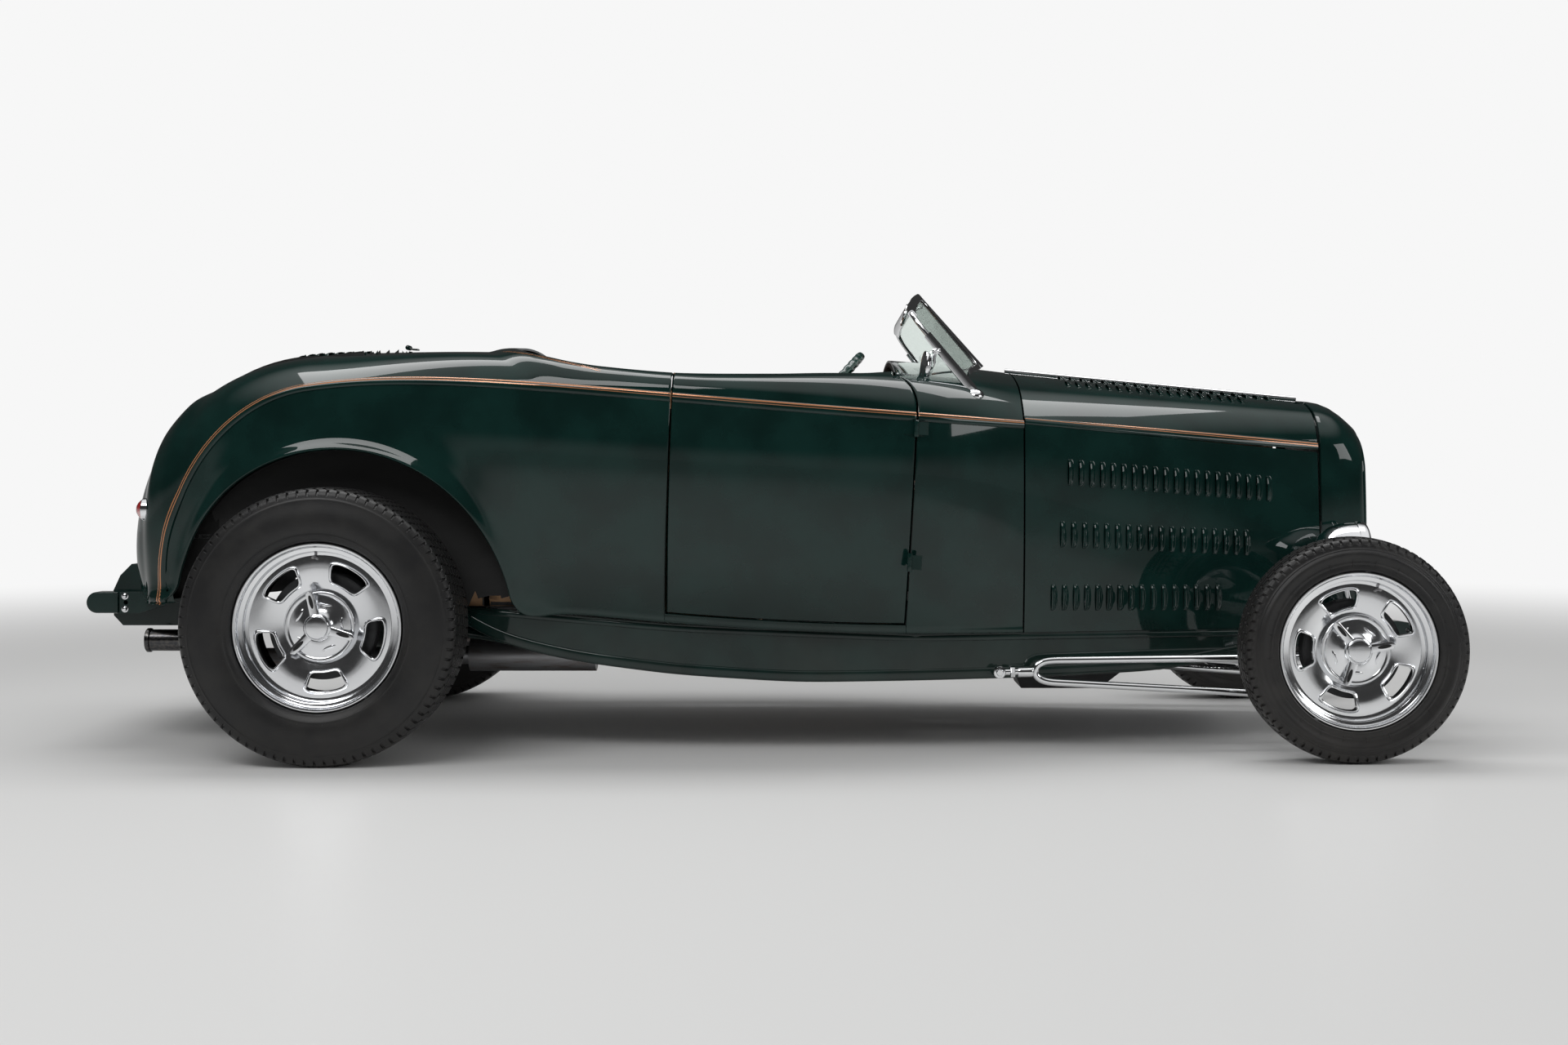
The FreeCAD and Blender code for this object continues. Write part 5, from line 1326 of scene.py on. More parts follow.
bars = []
around = np.linspace(0, 2 * np.pi, 12, endpoint=False)
section = np.stack([2.6 * np.cos(around), 8 * np.sin(around)], 1)
for y in np.linspace(-165, 165, 23):
    near = mouth_line[np.abs(mouth_line[:, 0] - abs(y)) < 3]
    bars += upright(2848, y, near[:, 1].min() - 3, near[:, 1].max() + 3, section)
bars += upright(2853, 0, 353, 857, circle(7, 14))
plated("grille_bars", bars, replaces=["grille_insert"], angle=60)

# %% [markdown]
# ## Wheels and tyres
#
# The wheels are cast aluminium discs in a spun rim, polished all over. Five kidney-shaped
# slots with raised lips let air to the drums. A three-eared knock-off nut, held by one big
# thread, is hit loose with a soft hammer. On each ear a slot is milled and painted.

# %% Tyres
REAR = dict(x=0.0, radius=361.0, width=236.0, lip=219.0, rim=184.0, track=727.0)
FRONT = dict(x=WHEELBASE, radius=296.0, width=148.0, lip=207.0, rim=124.0, track=711.0)
GROOVE = np.array([(-4.2, 0), (-3.2, 7.5), (3.2, 7.5), (4.2, 0)])   # offset and depth
CROWN_DROP, BLOCK_DEPTH = 1.6, 6.5
STEP_IN = 34.0                        # from the side of the tyre to its tread's edge


def hub_centre(size, side):
    return np.array([size["x"], side * size["track"], size["radius"]])


def turned(radius, out, angle, side):
    """Points about an axle from radius, offset away from the car, and angle."""
    out = np.broadcast_to(side * out, np.broadcast(radius, angle).shape)
    return np.stack([radius * np.cos(angle), out, radius * np.sin(angle)], -1)


def sidewall(size):
    """Rows of (radius, offset) from the bead to the tread's edge, with two fine ribs."""
    half, rim_half = size["width"] / 2, size["rim"] / 2
    lip, radius, edge = size["lip"], size["radius"], half - STEP_IN
    knots = np.array([(lip + 1, rim_half - 4), (lip + 4, rim_half + 8), (lip + 22, half - 5),
                      ((lip + radius) / 2 + 6, half - 0.6), (radius - 30, half - 8),
                      (radius - 12, edge + 21), (radius - 3.6, edge + 8), (radius - 1.6, edge)])
    run = np.concatenate([[0], np.cumsum(np.linalg.norm(np.diff(knots, axis=0), axis=1))])
    ribs = [run[i] + k for i in (2, 4) for k in (-4, -2, 0, 2, 4)]
    at = np.unique(np.concatenate([np.linspace(0, run[-1], 26), ribs]))
    wall = spline(run, knots, at)
    ridge = np.exp(-((at - run[2]) / 2.2) ** 2) + 0.8 * np.exp(-((at - run[4]) / 2.0) ** 2)
    wall[:, 1] += 1.8 * ridge * (wall[:, 1] < half - 1.5)
    return wall


def tyre(size, side, pitches, grooves, name, body):
    """A tyre as rings round the axle: for each angle the profile's radius less the depth
    of the tread there. Blocks repeat pitches times; grooves run round at given offsets."""
    centre, radius, lip = hub_centre(size, side), size["radius"], size["lip"]
    edge, wall = size["width"] / 2 - STEP_IN, sidewall(size)
    cut = np.vstack([GROOVE + (offset, 0) for offset in grooves])[::-1]
    y = np.concatenate([wall[:, 1], cut[:, 0], -wall[::-1, 1]])
    r = np.concatenate([wall[:, 0], radius - CROWN_DROP * (cut[:, 0] / edge) ** 2, wall[::-1, 0]])
    groove_depth = np.concatenate([0 * wall[:, 0], cut[:, 1], 0 * wall[:, 0]])
    angle = ((np.arange(pitches)[:, None] + (0.0, 0.72, 0.78, 0.94)) / pitches).ravel() * 2 * np.pi
    gap = np.tile(np.array([0, 0, 1, 1.0]), pitches)
    shoulder = smooth((r - (radius - 24)) / 12) * (np.abs(y) > max(grooves) + 3)
    inner_ribs = 0.55 * (np.abs(y) <= max(grooves)) * (np.abs(y) > min(np.abs(grooves)) + 2)
    blocks = gap[:, None] * (BLOCK_DEPTH * shoulder + BLOCK_DEPTH * inner_ribs)[None]
    slant = np.sign(y) * (np.abs(y) / edge) * 0.45 * 2 * np.pi / pitches
    a = angle[:, None] + slant[None] * (np.abs(y) < edge + 12)
    parts = [grid(turned(r[None] - np.maximum(groove_depth[None], blocks), y[None], a, side) + centre,
                  ring_rows=True)]
    foot, tip = lip + 15, lip + 31
    y_foot, y_tip = np.interp([foot, tip], wall[:, 0], wall[:, 1])
    out = np.array([0, side * 1.0, 0])
    for k in range(24):               # fine radial ticks round the sidewall
        around = 2 * np.pi * (k + 0.3) / 24
        ray = np.array([math.cos(around), 0, math.sin(around)])
        path = [centre + ray * foot + out * (y_foot - 0.2), centre + ray * tip + out * (y_tip - 0.2)]
        parts += sweep(path, circle(0.9, 6), up=out)
    make(name + "_tread", parts, body, RUBBER, "tyre", replaces=[name], angle=32)


for side, label in SIDES:
    tyre(REAR, side, 84, [-62, -31, 0, 31, 62], "tyre_rear_" + label, "wheel_rear_" + label)
    tyre(FRONT, side, 72, [-30, -10, 10, 30], "tyre_front_" + label, "wheel_front_" + label)


# %% Wheels
HUB_R = 92.0                          # where the disc begins
SLOTS, SLOT_HALF = 5, 18.0            # kidney slots, and half of one in degrees
DISC_T = 9.0


def rim_profile(lip, half, face):
    """(radius, offset) from the inner edge of the rim round both lips to the disc."""
    seat = lip - 16
    return [(seat - 26, -half + 54), (seat - 24, -half + 50), (seat - 2, -half + 20),
            (lip - 12, -half + 8), (lip - 6, -half + 2), (lip - 2, -half - 3), (lip, -half - 1),
            (lip - 0.6, -half + 8), (lip - 14, -half + 18), (seat, -half + 30), (seat, half - 24),
            (lip - 3, half - 16), (lip - 0.5, half - 6), (lip, half), (lip - 0.6, half + 2.6),
            (lip - 2.4, half + 4), (lip - 5, half + 4.3), (lip - 8, half + 3.4),
            (lip - 10.2, half + 1), (lip - 11.4, half - 3), (lip - 12.6, half - 7.2),
            (lip - 15, half - 9), (lip - 20, half - 10), (lip - 22.5, half - 11.5),
            (lip - 23.5, half - 15), (lip - 24.2, half - 21), (lip - 26, face + 1),
            (lip - 30, face - 1.2), (lip - 36, face - 2.2)]


def hub_profile(face):
    """(radius, offset) of the stepped dish between the disc and the knock-off nut."""
    bowl = [(r, face - 1.5 + 14 * ((80 - r) / 46) ** 1.4) for r in (78, 72, 64, 56, 48, 40)]
    return [(HUB_R + 4, face - 14), (HUB_R + 1, face - 6), (HUB_R - 1, face - 1),
            (HUB_R - 3, face + 0.8), (HUB_R - 6, face + 1.2), (HUB_R - 9, face + 0.6),
            (HUB_R - 12, face - 1.5), *bowl, (34, face + 16), (33, face + 20), (31.5, face + 30)]


def slotted_disc(dish, lip, slots, mids, side):
    """Front and back of the disc in polar cells, with the slots left out. dish gives the
    face's offset by radius, slots their inner and outer radius, mids their angles."""
    slot_in, slot_out = slots
    across = np.concatenate([[-19.6, -SLOT_HALF], np.linspace(-SLOT_HALF, SLOT_HALF, 13)[1:-1],
                             [SLOT_HALF, 19.6], np.linspace(22, 50, 8)])
    around = np.radians((mids[:, None] + across).ravel())
    radii = np.concatenate([[HUB_R, HUB_R + 3, HUB_R + 8, (HUB_R + slot_in) / 2, slot_in - 3.5],
                            np.linspace(slot_in, slot_out, 8), [slot_out + 3.5],
                            np.linspace(slot_out + 8, lip - 34.0, 4)])
    angle, radius = np.meshgrid(around, radii, indexing="ij")
    face = turned(radius, dish(radius), angle, side)
    place_in_slot = np.arange(len(around)) % len(across)
    in_slot = (place_in_slot >= 1) & (place_in_slot < 13)
    beside = (radii[:-1] >= slot_in - 0.1) & (radii[:-1] < slot_out - 0.1)
    keep = ~(in_slot[:, None] & beside[None])
    back = face[:, ::-1] - (0, side * DISC_T, 0)
    return [(face, keep), (back, keep[:, ::-1])]


def slot_lip(dish, slots, middle, side):
    """A slot's wall through the disc and the raised, rolled lip round it: rings of a squared
    ellipse, each set in and lifted from the disc's face."""
    c, h = (slots[1] + slots[0]) / 2, (slots[1] - slots[0]) / 2
    q = np.linspace(0, 2 * np.pi, 72, endpoint=False)
    squared = (np.abs(np.cos(q)) ** 5 + np.abs(np.sin(q)) ** 5) ** (-1 / 5)
    r = c + h * squared * np.sin(q)
    a = math.radians(middle) + np.radians(SLOT_HALF) * squared * np.cos(q) * (1 + 0.06 * (r - c) / h)
    rows = []
    for inset, lift in ((-7.5, -0.6), (-6.2, 2.0), (-4.2, 3.6), (-2.0, 4.0), (-0.2, 3.0),
                        (0.6, 0.6), (1.0, -3), (1.2, -9.5), (-1.5, -9.8)):
        radius = c + (r - c) * (1 - inset / h)
        angle = math.radians(middle) + (a - math.radians(middle)) \
            * (1 - inset / (c * np.radians(SLOT_HALF)))
        rows.append(turned(radius, dish(radius) + lift, angle, side))
    return np.stack(rows)


def crescent(middle, face, side):
    """The line of a bead pressed into the hub's dish, and its thickness along it."""
    q = np.linspace(-1, 1, 19)
    path = turned(58 + 5 * q ** 2, face + 4.4 - 2.2 * q ** 2, math.radians(middle) + 0.30 * q, side)
    return path, np.clip(1.25 - np.abs(q) ** 3, 0.3, 1)


def spinner_ear(degrees, face, centre, side):
    """One ear of the knock-off nut, and the painted slot along it. The ear is a squared tube
    that tapers and closes at its tip."""
    a = math.radians(degrees)
    ray, tangent = np.array([math.cos(a), 0, math.sin(a)]), np.array([-math.sin(a), 0, math.cos(a)])
    out = np.array([0, side, 0.0])
    q = np.linspace(0, 1, 16)
    wide, high = 12.5 - 3.0 * q, 6.0 - 1.2 * q
    wide = np.where(q > 0.9, wide * np.sqrt(np.clip(1 - ((q - 0.9) / 0.1) ** 2, 0.02, 1)), wide)
    mid = centre + ray * (24 + 72 * q)[:, None] + out * (face + 21 + 3.5 * q ** 2)[:, None]
    u = np.linspace(0, 2 * np.pi, 20, endpoint=False)
    ring = (np.abs(np.cos(u)) ** 4 + np.abs(np.sin(u)) ** 4) ** -0.25
    points = mid[:, None] + tangent * (wide[:, None] * (ring * np.cos(u))[None])[..., None] \
        + out * (high[:, None] * (ring * np.sin(u))[None])[..., None]
    u = np.linspace(0, 2 * np.pi, 28, endpoint=False)
    lift = face + 21 + 3.5 * ((44 + 17 * np.cos(u)) / 72) ** 2 + 5.6
    loop = centre + ray * (68 + 17 * np.cos(u))[:, None] + tangent * (4.0 * np.sin(u))[:, None] \
        + out * lift[:, None]
    return ([grid(points, ring_cols=True), fan(points[-1]), fan(points[0][::-1])],
            sweep(loop, circle(0.9, 8), closed=True, up=out) + [fan(loop + out * 0.2)])


def wheel(size, side, slot_turn, spinner_turn, name):
    """A wheel in three pieces: its casting, the slots painted on its ears, and its valve.
    Every offset is along the axle, away from the car."""
    centre, lip, half = hub_centre(size, side), size["lip"], size["rim"] / 2
    face, disc_end, axis = half - 30, lip - 34.0, (0, side, 0)
    slots, mids = (0.545 * lip, 0.765 * lip), slot_turn + 72 * np.arange(SLOTS)

    def dish(r):
        """Offset of the disc's face by radius: it swells between hub and rim."""
        w = np.clip((r - HUB_R) / (disc_end - HUB_R), 0, 1)
        return face - 12 + 11 * np.sin(np.pi * np.clip(w * 0.92, 0, 1)) ** 0.9 + 8 * w ** 2

    parts = [spun(rim_profile(lip, half, face), centre, axis, 128)]
    parts += [grid(points + centre, ring_rows=True, keep=keep)
              for points, keep in slotted_disc(dish, lip, slots, mids, side)]
    parts += [grid(slot_lip(dish, slots, middle, side) + centre, ring_cols=True) for middle in mids]
    parts.append(spun(hub_profile(face), centre, axis, 96))
    for middle in mids + 18:
        path, thickness = crescent(middle, face, side)
        parts += sweep(path + centre, circle(3.4, 10, 0.6), up=axis, scale=thickness)
    cap = [(34, 14), (35, 18), (35, 27), (33.6, 29.4), (31, 30.4), (29.6, 31.8), (29, 34.5),
           (27.4, 36.4), (20, 37.8), (10, 38.6), (0.01, 38.9)]
    parts.append(spun([(r, face + offset) for r, offset in cap], centre, axis, 64))
    ears = [spinner_ear(spinner_turn + 120 * k, face, centre, side) for k in range(3)]
    for ear, _ in ears:
        parts += ear
    a = math.radians(slot_turn + 34)
    valve = centre + turned(lip - 38, face + 4, a, side)
    stem = bar(valve - (0, side * 8, 0), valve + (0, side * 22.0, 0), 3.4, 12, ends=0.8)
    make(name + "_casting", parts, name, ALLOY, "polished_alloy", replaces=[name], angle=30)
    make(name + "_ear_slots", ears[0][1] + ears[1][1] + ears[2][1], name, DARK, "polished_alloy",
         angle=40)
    make(name + "_valve", stem, name, STEEL, "steel", angle=40)


def drum(size, side, radius, inboard, outboard, name, body):
    """Finned brake drum behind the slots, closed towards the wheel."""
    fins = []
    for y in np.linspace(inboard, outboard - 6, 9):
        fins += [(radius - 5, y), (radius, y + 0.8), (radius, y + 2.4), (radius - 5, y + 3.4)]
    profile = [(radius - 12, inboard), *fins, (radius - 3, outboard), (radius - 20, outboard),
               (60, outboard), (40, outboard)]
    make(name, [spun(profile, hub_centre(size, side), (0, side, 0), 96)], body, CAST, "cast_metal",
         angle=30)


for side, label in SIDES:
    wheel(REAR, side, 60, 104, "wheel_rear_" + label)
    drum(REAR, side, 140, -29, 31.7, "drum_rear_" + label, "wheel_rear_" + label)
    wheel(FRONT, side, 36, 130, "wheel_front_" + label)
    drum(FRONT, side, 130, -52, 1.7, "drum_front_" + label, "wheel_front_" + label)

# %% [markdown]
# ## Windscreen
#
# The windscreen is in two flat panes that meet in a vee. Each pane sits in a plated frame,
# and a stanchion on the cowl carries the frame's side on a pivot.

# %% Windscreen frame, panes and stanchions
def unit(v):
    v = np.asarray(v, float)
    return v / np.linalg.norm(v)


def mirrored_parts(parts):
    return parts + [mirror_y(part) for part in parts]


def rounded_box(width, height, corner=0.3, count=20):
    """A profile between an ellipse and a rectangle, as (side, rise)."""
    u = np.linspace(0, 2 * np.pi, count, endpoint=False)
    ring = (np.abs(np.cos(u)) ** (2 / corner) + np.abs(np.sin(u)) ** (2 / corner)) ** (-corner / 2)
    return np.stack([width / 2 * ring * np.cos(u), height / 2 * ring * np.sin(u)], 1)


def soft_path(points, count=160, closed=False, blur=4):
    """A polyline resampled evenly and rounded at its corners."""
    points = np.asarray(points, float)
    if closed:
        points = np.vstack([points, points[:1]])
    run = np.concatenate([[0], np.cumsum(np.linalg.norm(np.diff(points, axis=0), axis=1))])
    at = np.linspace(0, run[-1], count, endpoint=not closed)
    path = np.stack([np.interp(at, run, points[:, k]) for k in range(points.shape[1])], 1)
    kernel = np.ones(2 * blur + 1) / (2 * blur + 1)
    for _ in range(2):
        padded = np.pad(path, ((blur, blur), (0, 0)), "wrap" if closed else "edge")
        path = np.stack([np.convolve(padded[:, k], kernel, "valid") for k in range(path.shape[1])], 1)
    return path


def tube(points, count, blur, radius, sides, up=(0, 1, 0), scale=1.0):
    """A round bar along an open polyline with rounded corners."""
    return sweep(soft_path(points, count, blur=blur), circle(radius, sides), up=up, scale=scale)


base, top, foot = np.array([1780, 0, 1064.0]), np.array([1590, 0, 1284.0]), np.array([1719, -500, 978.0])
across = unit(foot - base)
out = unit(np.cross(across, top - base))
up = np.cross(out, across)
reach, lean = np.linalg.norm(foot - base), (top - base).dot(across)


def on_screen(rows, lift=0.0):
    """Points of the right pane's plane from rows of (across, up)."""
    rows = np.asarray(rows, float)
    return base + across * rows[:, :1] + up * rows[:, 1:2] + out * lift


def screen_outline(inset):
    return [(inset, inset), (reach * 0.5, inset + 22), (reach - inset - 6, inset),
            (reach - inset, 30 + inset), (reach + lean - 40 - inset, 262 - inset),
            (reach + lean - 84 - inset, 292 - inset), (lean + 120, 300 - inset),
            (lean + inset, 290 - inset)]


border = soft_path(screen_outline(10.5), 220, True, 4)
screen_frame = sweep(on_screen(border), rounded_box(19, 12.5, 0.45), closed=True, up=out)
# a deeper plated cap over the header, from the centre to the outer corner
cap_line = soft_path([(lean + 9, 281), (lean + 120, 286.5), (reach + lean - 96, 279.5),
                      (reach + lean - 66, 262)], 60, blur=5)
screen_frame += sweep(on_screen(cap_line), rounded_box(25, 19, 0.5), up=out)
gasket_line = soft_path(screen_outline(20.5), 220, True, 4)
gasket = sweep(on_screen(gasket_line), rounded_box(3, 8, 0.5, 10), closed=True, up=out)
pane_line = soft_path(screen_outline(19.5), 120, True, 2)
front, back = on_screen(pane_line, 2.4), on_screen(pane_line, -2.4)
pane = [fan(front), fan(back[::-1]), grid(np.stack([front, back]), ring_cols=True)]
# centre post where the two frames meet, and the side stanchion with its pivot plate
post = sweep(np.linspace(base + (2, 0, 4), top + (0, 0, -2), 12), rounded_box(15, 15, 0.5), up=(1, 0, 0))
side_dir = unit(np.array([lean - 40.0, 232.0]))
q = np.linspace(0, 1, 40)
post_line = np.array([reach + 6, -6.0]) + side_dir * (q * 214)[:, None]
taper = np.where(q < 0.10, 0.55 + 0.45 * np.sqrt(q / 0.10), 1 - 0.20 * (q - 0.10))
stanchion = sweep(on_screen(post_line) + (0, -3.0, 0), rounded_box(10, 27, 0.4), up=out,
                  scale=taper)
shoe = spun([(0.01, 13), (9, 12), (17, 8), (22, 3), (23, 0), (22, -4)],
            on_screen(post_line[1:2])[0] + (2, -2, -4), (0.1, -0.45, 0.9), 32)
plated("windscreen_plating", mirrored_parts(screen_frame + stanchion + [shoe]) + post,
       replaces=["windscreen_frame"], angle=50)
make("windscreen_gasket", mirrored_parts(gasket), "chassis", DARK, "chrome", angle=50)
make("windscreen_panes", mirrored_parts(pane), "chassis", GLASS, "glass",
     replaces=["windscreen_glass"], angle=40)

# %% Mirrors
# A round mirror hangs from a clamp behind each stanchion; a third one is on the top rail.
clamp = on_screen(post_line[29:30])[0] + (-12.0, -3, -4)
head, facing = clamp + (-24.0, 0, -44), (1, 0.12, -0.12)
bowl = [(0.01, 18), (14, 16.6), (27, 12), (37, 5.4), (43, -1), (45, -6), (44.6, -9), (43, -10.4),
        (41.4, -9.6)]
swing = [spun(bowl, head, facing, 56),
         spun([(0.01, -9), (6, -9), (9, -7), (9, 7), (6, 9), (0.01, 9)], clamp, (0, 1, 0), 24),
         spun([(0.01, 14), (4, 13.4), (6.4, 11), (6.4, 8)], clamp, (0, -1, 0), 6)]
swing += tube([clamp, clamp + (-4, 0, -18), clamp + (-3, 0, -36), head + (12, 0, 0)], 20, 3, 5, 12)
swing += sweep([clamp + (14, 0, 2), clamp + (-2, 0, 0)], circle(7, 16), up=(0, 1, 0))
plated("swing_mirrors", mirrored_parts(swing), angle=40)
make("swing_mirror_glass", mirrored_parts([spun([(0.01, -9.2), (41.6, -9.2)], head, facing, 48)]),
     "chassis", ALLOY, "chrome", seal=False)

MIRROR_AT, tilt = np.array([1553.0, 0, 1224.0]), (1, 0, -0.28)
bowl = [(0.01, 9), (14, 8.4), (25, 6.2), (31, 3), (33.6, 0), (34, -2.5), (33, -4.5), (31.5, -4.8),
        (31, -4.0)]
inner_mirror = [spun(bowl, MIRROR_AT, tilt, 48)]
inner_mirror += tube([MIRROR_AT + (6, 0, 0), (1578, 0, 1236), (1592, 0, 1243), (1606, 0, 1248)],
                     20, 2, 4.4, 12)
inner_mirror.append(spun([(0.01, 8), (6, 7), (8, 4), (8, 0)], (1568, 0, 1230.5), (1, 0, 0.4), 20))
plated("mirror_body", inner_mirror, replaces=["mirror"], angle=40)
make("mirror_glass", [spun([(0.01, -4.2), (31.2, -4.2)], MIRROR_AT, tilt, 48)], "chassis", ALLOY,
     "chrome", seal=False)

# %% [markdown]
# ## Lamps
#
# The headlamps are plated bowls with a rim, a clear lens and a reflector behind it. The
# tail lamps are red domes in thin plated rings.

# %% Headlamps
LAMP = np.array([WHEELBASE + 121, 392.0, 526.0])
REARWARD = (-1, 0, 0)                 # lamp profiles are (radius, depth behind the front)
bowl = [(0.01, 141), (12, 140.4), (24, 138.6), (40, 133), (56, 123.5), (70, 110), (81, 92), (88, 70),
        (91.3, 48), (92.2, 34), (92.4, 29)]
rim = [(92.0, 30), (94.4, 28), (95, 24), (95, 10), (94.2, 5), (92.0, 1.6), (89, 0.4), (86.5, 1.2),
       (85.5, 4), (85.2, 9), (84, 12)]
face = [(0.01, -0.6), (20, 0.0), (45, 1.8), (68, 4.8), (84.6, 9)]
face_back = [(r, depth + 2.5) for r, depth in face][::-1]
reflector = [(84, 12), (80, 26), (70, 50), (52, 74), (30, 90), (12, 96), (0.01, 97)]
bulb = [(0.01, 44), (8, 46), (11, 54), (9, 66), (7, 92)]
for side, label in SIDES:
    at = LAMP * [1, side, 1]
    foot = np.array([at[0] - 13, side * 299.0, 338.3])
    stem = tube([foot + (0, 0, 8), foot + (0, 0, 40), at - (40, side * 30, 118), at - (52, 0, 88)],
                30, 3, 11, 20, up=(1, 0, 0), scale=np.linspace(1.15, 0.85, 30))
    flange = spun([(0.01, 0.2), (22, 0.2), (24, 2), (24, 5), (20, 8), (13.5, 11), (12.5, 18)], foot,
                  (0, 0, 1), 36)
    nut = spun([(16, 0), (16, 12), (14, 14), (9, 15)], at + [-52, 0, -92], (0, 0, 1), 6)
    shells = [spun(bowl, at, REARWARD, 80), spun(rim, at, REARWARD, 80)]
    plated("lamp_bowl_" + label, shells + stem + [flange, nut], replaces=["headlamps"], angle=40)
    make("lamp_reflector_" + label, [spun(reflector, at, REARWARD, 64)], "chassis", ALLOY, "chrome",
         seal=False)
    make("lamp_lens_" + label, [spun(face, at, REARWARD, 80), spun(face_back, at, REARWARD, 80)],
         "chassis", CLEAR, "glass", angle=60)
    make("lamp_bulb_" + label, [spun(bulb, at, REARWARD, 24)], "chassis", STEEL, "steel")

# %% Tail lamps
tip_x = 1000 * (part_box("tail_lamps")[0][0] - AXLE_REAR[0])
ring = [(31, -60), (31, -22), (30.6, -19.5), (29.4, -18.4), (28.2, -18.8), (27.8, -21)]
dome = [(0.01, 0), (7, -0.8), (13, -2.9), (19, -6.6), (23.6, -11), (26.8, -15.6), (28, -20)]
for side, label in SIDES:
    at = np.array([tip_x, side * 485.0, 657.0])
    plated("tail_lamp_ring_" + label, [spun(ring, at, REARWARD, 56)], replaces=["tail_lamps"],
           angle=40, seal=False)
    make("tail_lamp_lens_" + label, [spun(dome, at, REARWARD, 56)], "chassis", RED, "red_lens",
         seal=False)

# %% [markdown]
# ## Cabin
#
# A padded bench in tan leather with sewn flutes, a moulded steering wheel on a plated
# column, a painted dash with five round gauges, and carpet on the floor.

# %% Bench seat
def cushion(centre, size, rounding, flutes, crown, tilt=0.0, pinch=8.0):
    """A closed pad. Rings of a squared ellipse go from the middle of its top over the edge,
    down the side and to the middle of its underside; flutes sink the top along sewn lines,
    and the sides pull in by pinch between the corners."""
    a, b, c = size
    q = np.linspace(0, 2 * np.pi, 312, endpoint=False)
    power = 7
    ring = (np.abs(np.cos(q)) ** power + np.abs(np.sin(q)) ** power) ** (-1 / power)
    ex, ey = ring * np.cos(q), ring * np.sin(q)
    turn, low_turn = np.linspace(0, np.pi / 2, 10)[1:], np.linspace(0, np.pi / 2, 7)[1:]
    low = 0.6 * rounding              # the lower edge is rounded less than the upper one
    reach = np.concatenate([np.linspace(0.02, 1, 44), np.ones(9 + 6 + 6), np.linspace(1, 0.02, 14)])
    inset = np.concatenate([np.full(44, rounding), rounding * (1 - np.sin(turn)), np.zeros(6),
                            low * (1 - np.cos(low_turn)), np.full(14, low)])
    height = np.concatenate([np.full(44, c), c - rounding * (1 - np.cos(turn)),
                             np.linspace(c - rounding, -c + low, 7)[1:],
                             -c + low * (1 - np.sin(low_turn)), np.full(14, -c)])
    x = (a - inset)[:, None] * reach[:, None] * ex[None]
    y = (b - inset)[:, None] * reach[:, None] * ey[None]
    z = np.broadcast_to(height[:, None], x.shape).copy()
    upper = smooth((z + c * 0.2) / (c * 1.2))
    z -= crown * ((x / a) ** 2 * 0.6 + (y / b) ** 4 * 0.4) * upper
    edge_x, edge_y = a * 0.90, b * 0.93
    lines = np.linspace(-edge_y, edge_y, flutes + 1)
    gap = np.abs(y[..., None] - lines).min(-1)
    pitch = lines[1] - lines[0]
    seam = 9 * np.exp(-(gap / 5) ** 2)
    pad = 4.5 * np.sin(np.pi * np.clip(gap / pitch, 0, 0.5))
    z -= (seam - pad + 4.5) * smooth((edge_x - np.abs(x)) / 12) * upper
    z -= 7 * np.exp(-((np.abs(x) - edge_x) / 4.5) ** 2) * upper * (np.abs(y) < edge_y)
    side = smooth((c - np.abs(z)) / c)
    x -= np.sign(x) * pinch * side * (1 - (y / b) ** 2) * (np.abs(ex) > 0.7)
    y -= np.sign(y) * pinch * side * (1 - (x / a) ** 2) * (np.abs(ey) > 0.7)
    cos_t, sin_t = math.cos(math.radians(tilt)), math.sin(math.radians(tilt))
    points = np.stack([x * cos_t + z * sin_t, y, z * cos_t - x * sin_t], -1) + centre
    return [grid(points, ring_cols=True), fan(points[0][::-1]), fan(points[-1])], points


WELT_ROW = 45                         # the ring of a pad that its piping lies on
bottom, bottom_rows = cushion(np.array([779.0, 0, 524.0]), (228, 497, 114), 46, 14, 12)
seat_bottom = make("seat_bottom", bottom, "chassis", LEATHER, "upholstery",
                   replaces=["seat_cushion"], angle=50)
back_pad, back_rows = cushion(np.array([476.0, 0, 722.0]), (308, 497, 56), 40, 14, 8, tilt=-84.5,
                              pinch=4)
seat_back = make("seat_backrest", back_pad, "chassis", LEATHER, "upholstery",
                 replaces=["seat_back"], angle=50)
welt = sweep(bottom_rows[WELT_ROW], circle(4.2, 8), closed=True, up=(0, 0, 1))
welt += sweep(back_rows[WELT_ROW], circle(4.2, 8), closed=True, up=(-1, 0, 0))
make("seat_welts", welt, "chassis", LEATHER, "upholstery", angle=60)

# %% Gauges
def clock_ray(degrees):
    """A direction in a dial's plane."""
    a = math.radians(degrees)
    return np.array([0, math.cos(a), math.sin(a)])


bezels, dials, marks, needles = [], [], [], []
for y, r, needle in ((0, 44, 210), (-104, 28, 150), (104, 28, 60), (-176, 28, 120), (176, 28, 95)):
    at = np.array([1477.5, y, 968.0])
    bezel = [(r - 4, 2), (r - 3.4, 5.4), (r - 1.4, 7.4), (r + 1.6, 7.2), (r + 3.6, 4), (r + 4, -1)]
    bezels.append(spun(bezel, at, REARWARD, 56))
    dials.append(spun([(0.01, 2.2), (r - 3.8, 2.2)], at, REARWARD, 40))
    for k in range(13):
        ray = clock_ray(-40 + 260 * k / 12)
        marks += bar(at - (2.6, 0, 0) + ray * (r * 0.72), at - (2.6, 0, 0) + ray * (r * 0.85), 0.5, 6)
    ray = clock_ray(needle)
    needles += bar(at - (3.6, 0, 0) - ray * r * 0.12, at - (3.6, 0, 0) + ray * r * 0.66, 0.8, 6)
    needles.append(spun([(0.01, 5), (3, 4.6), (3.4, 2.4)], at, REARWARD, 16))
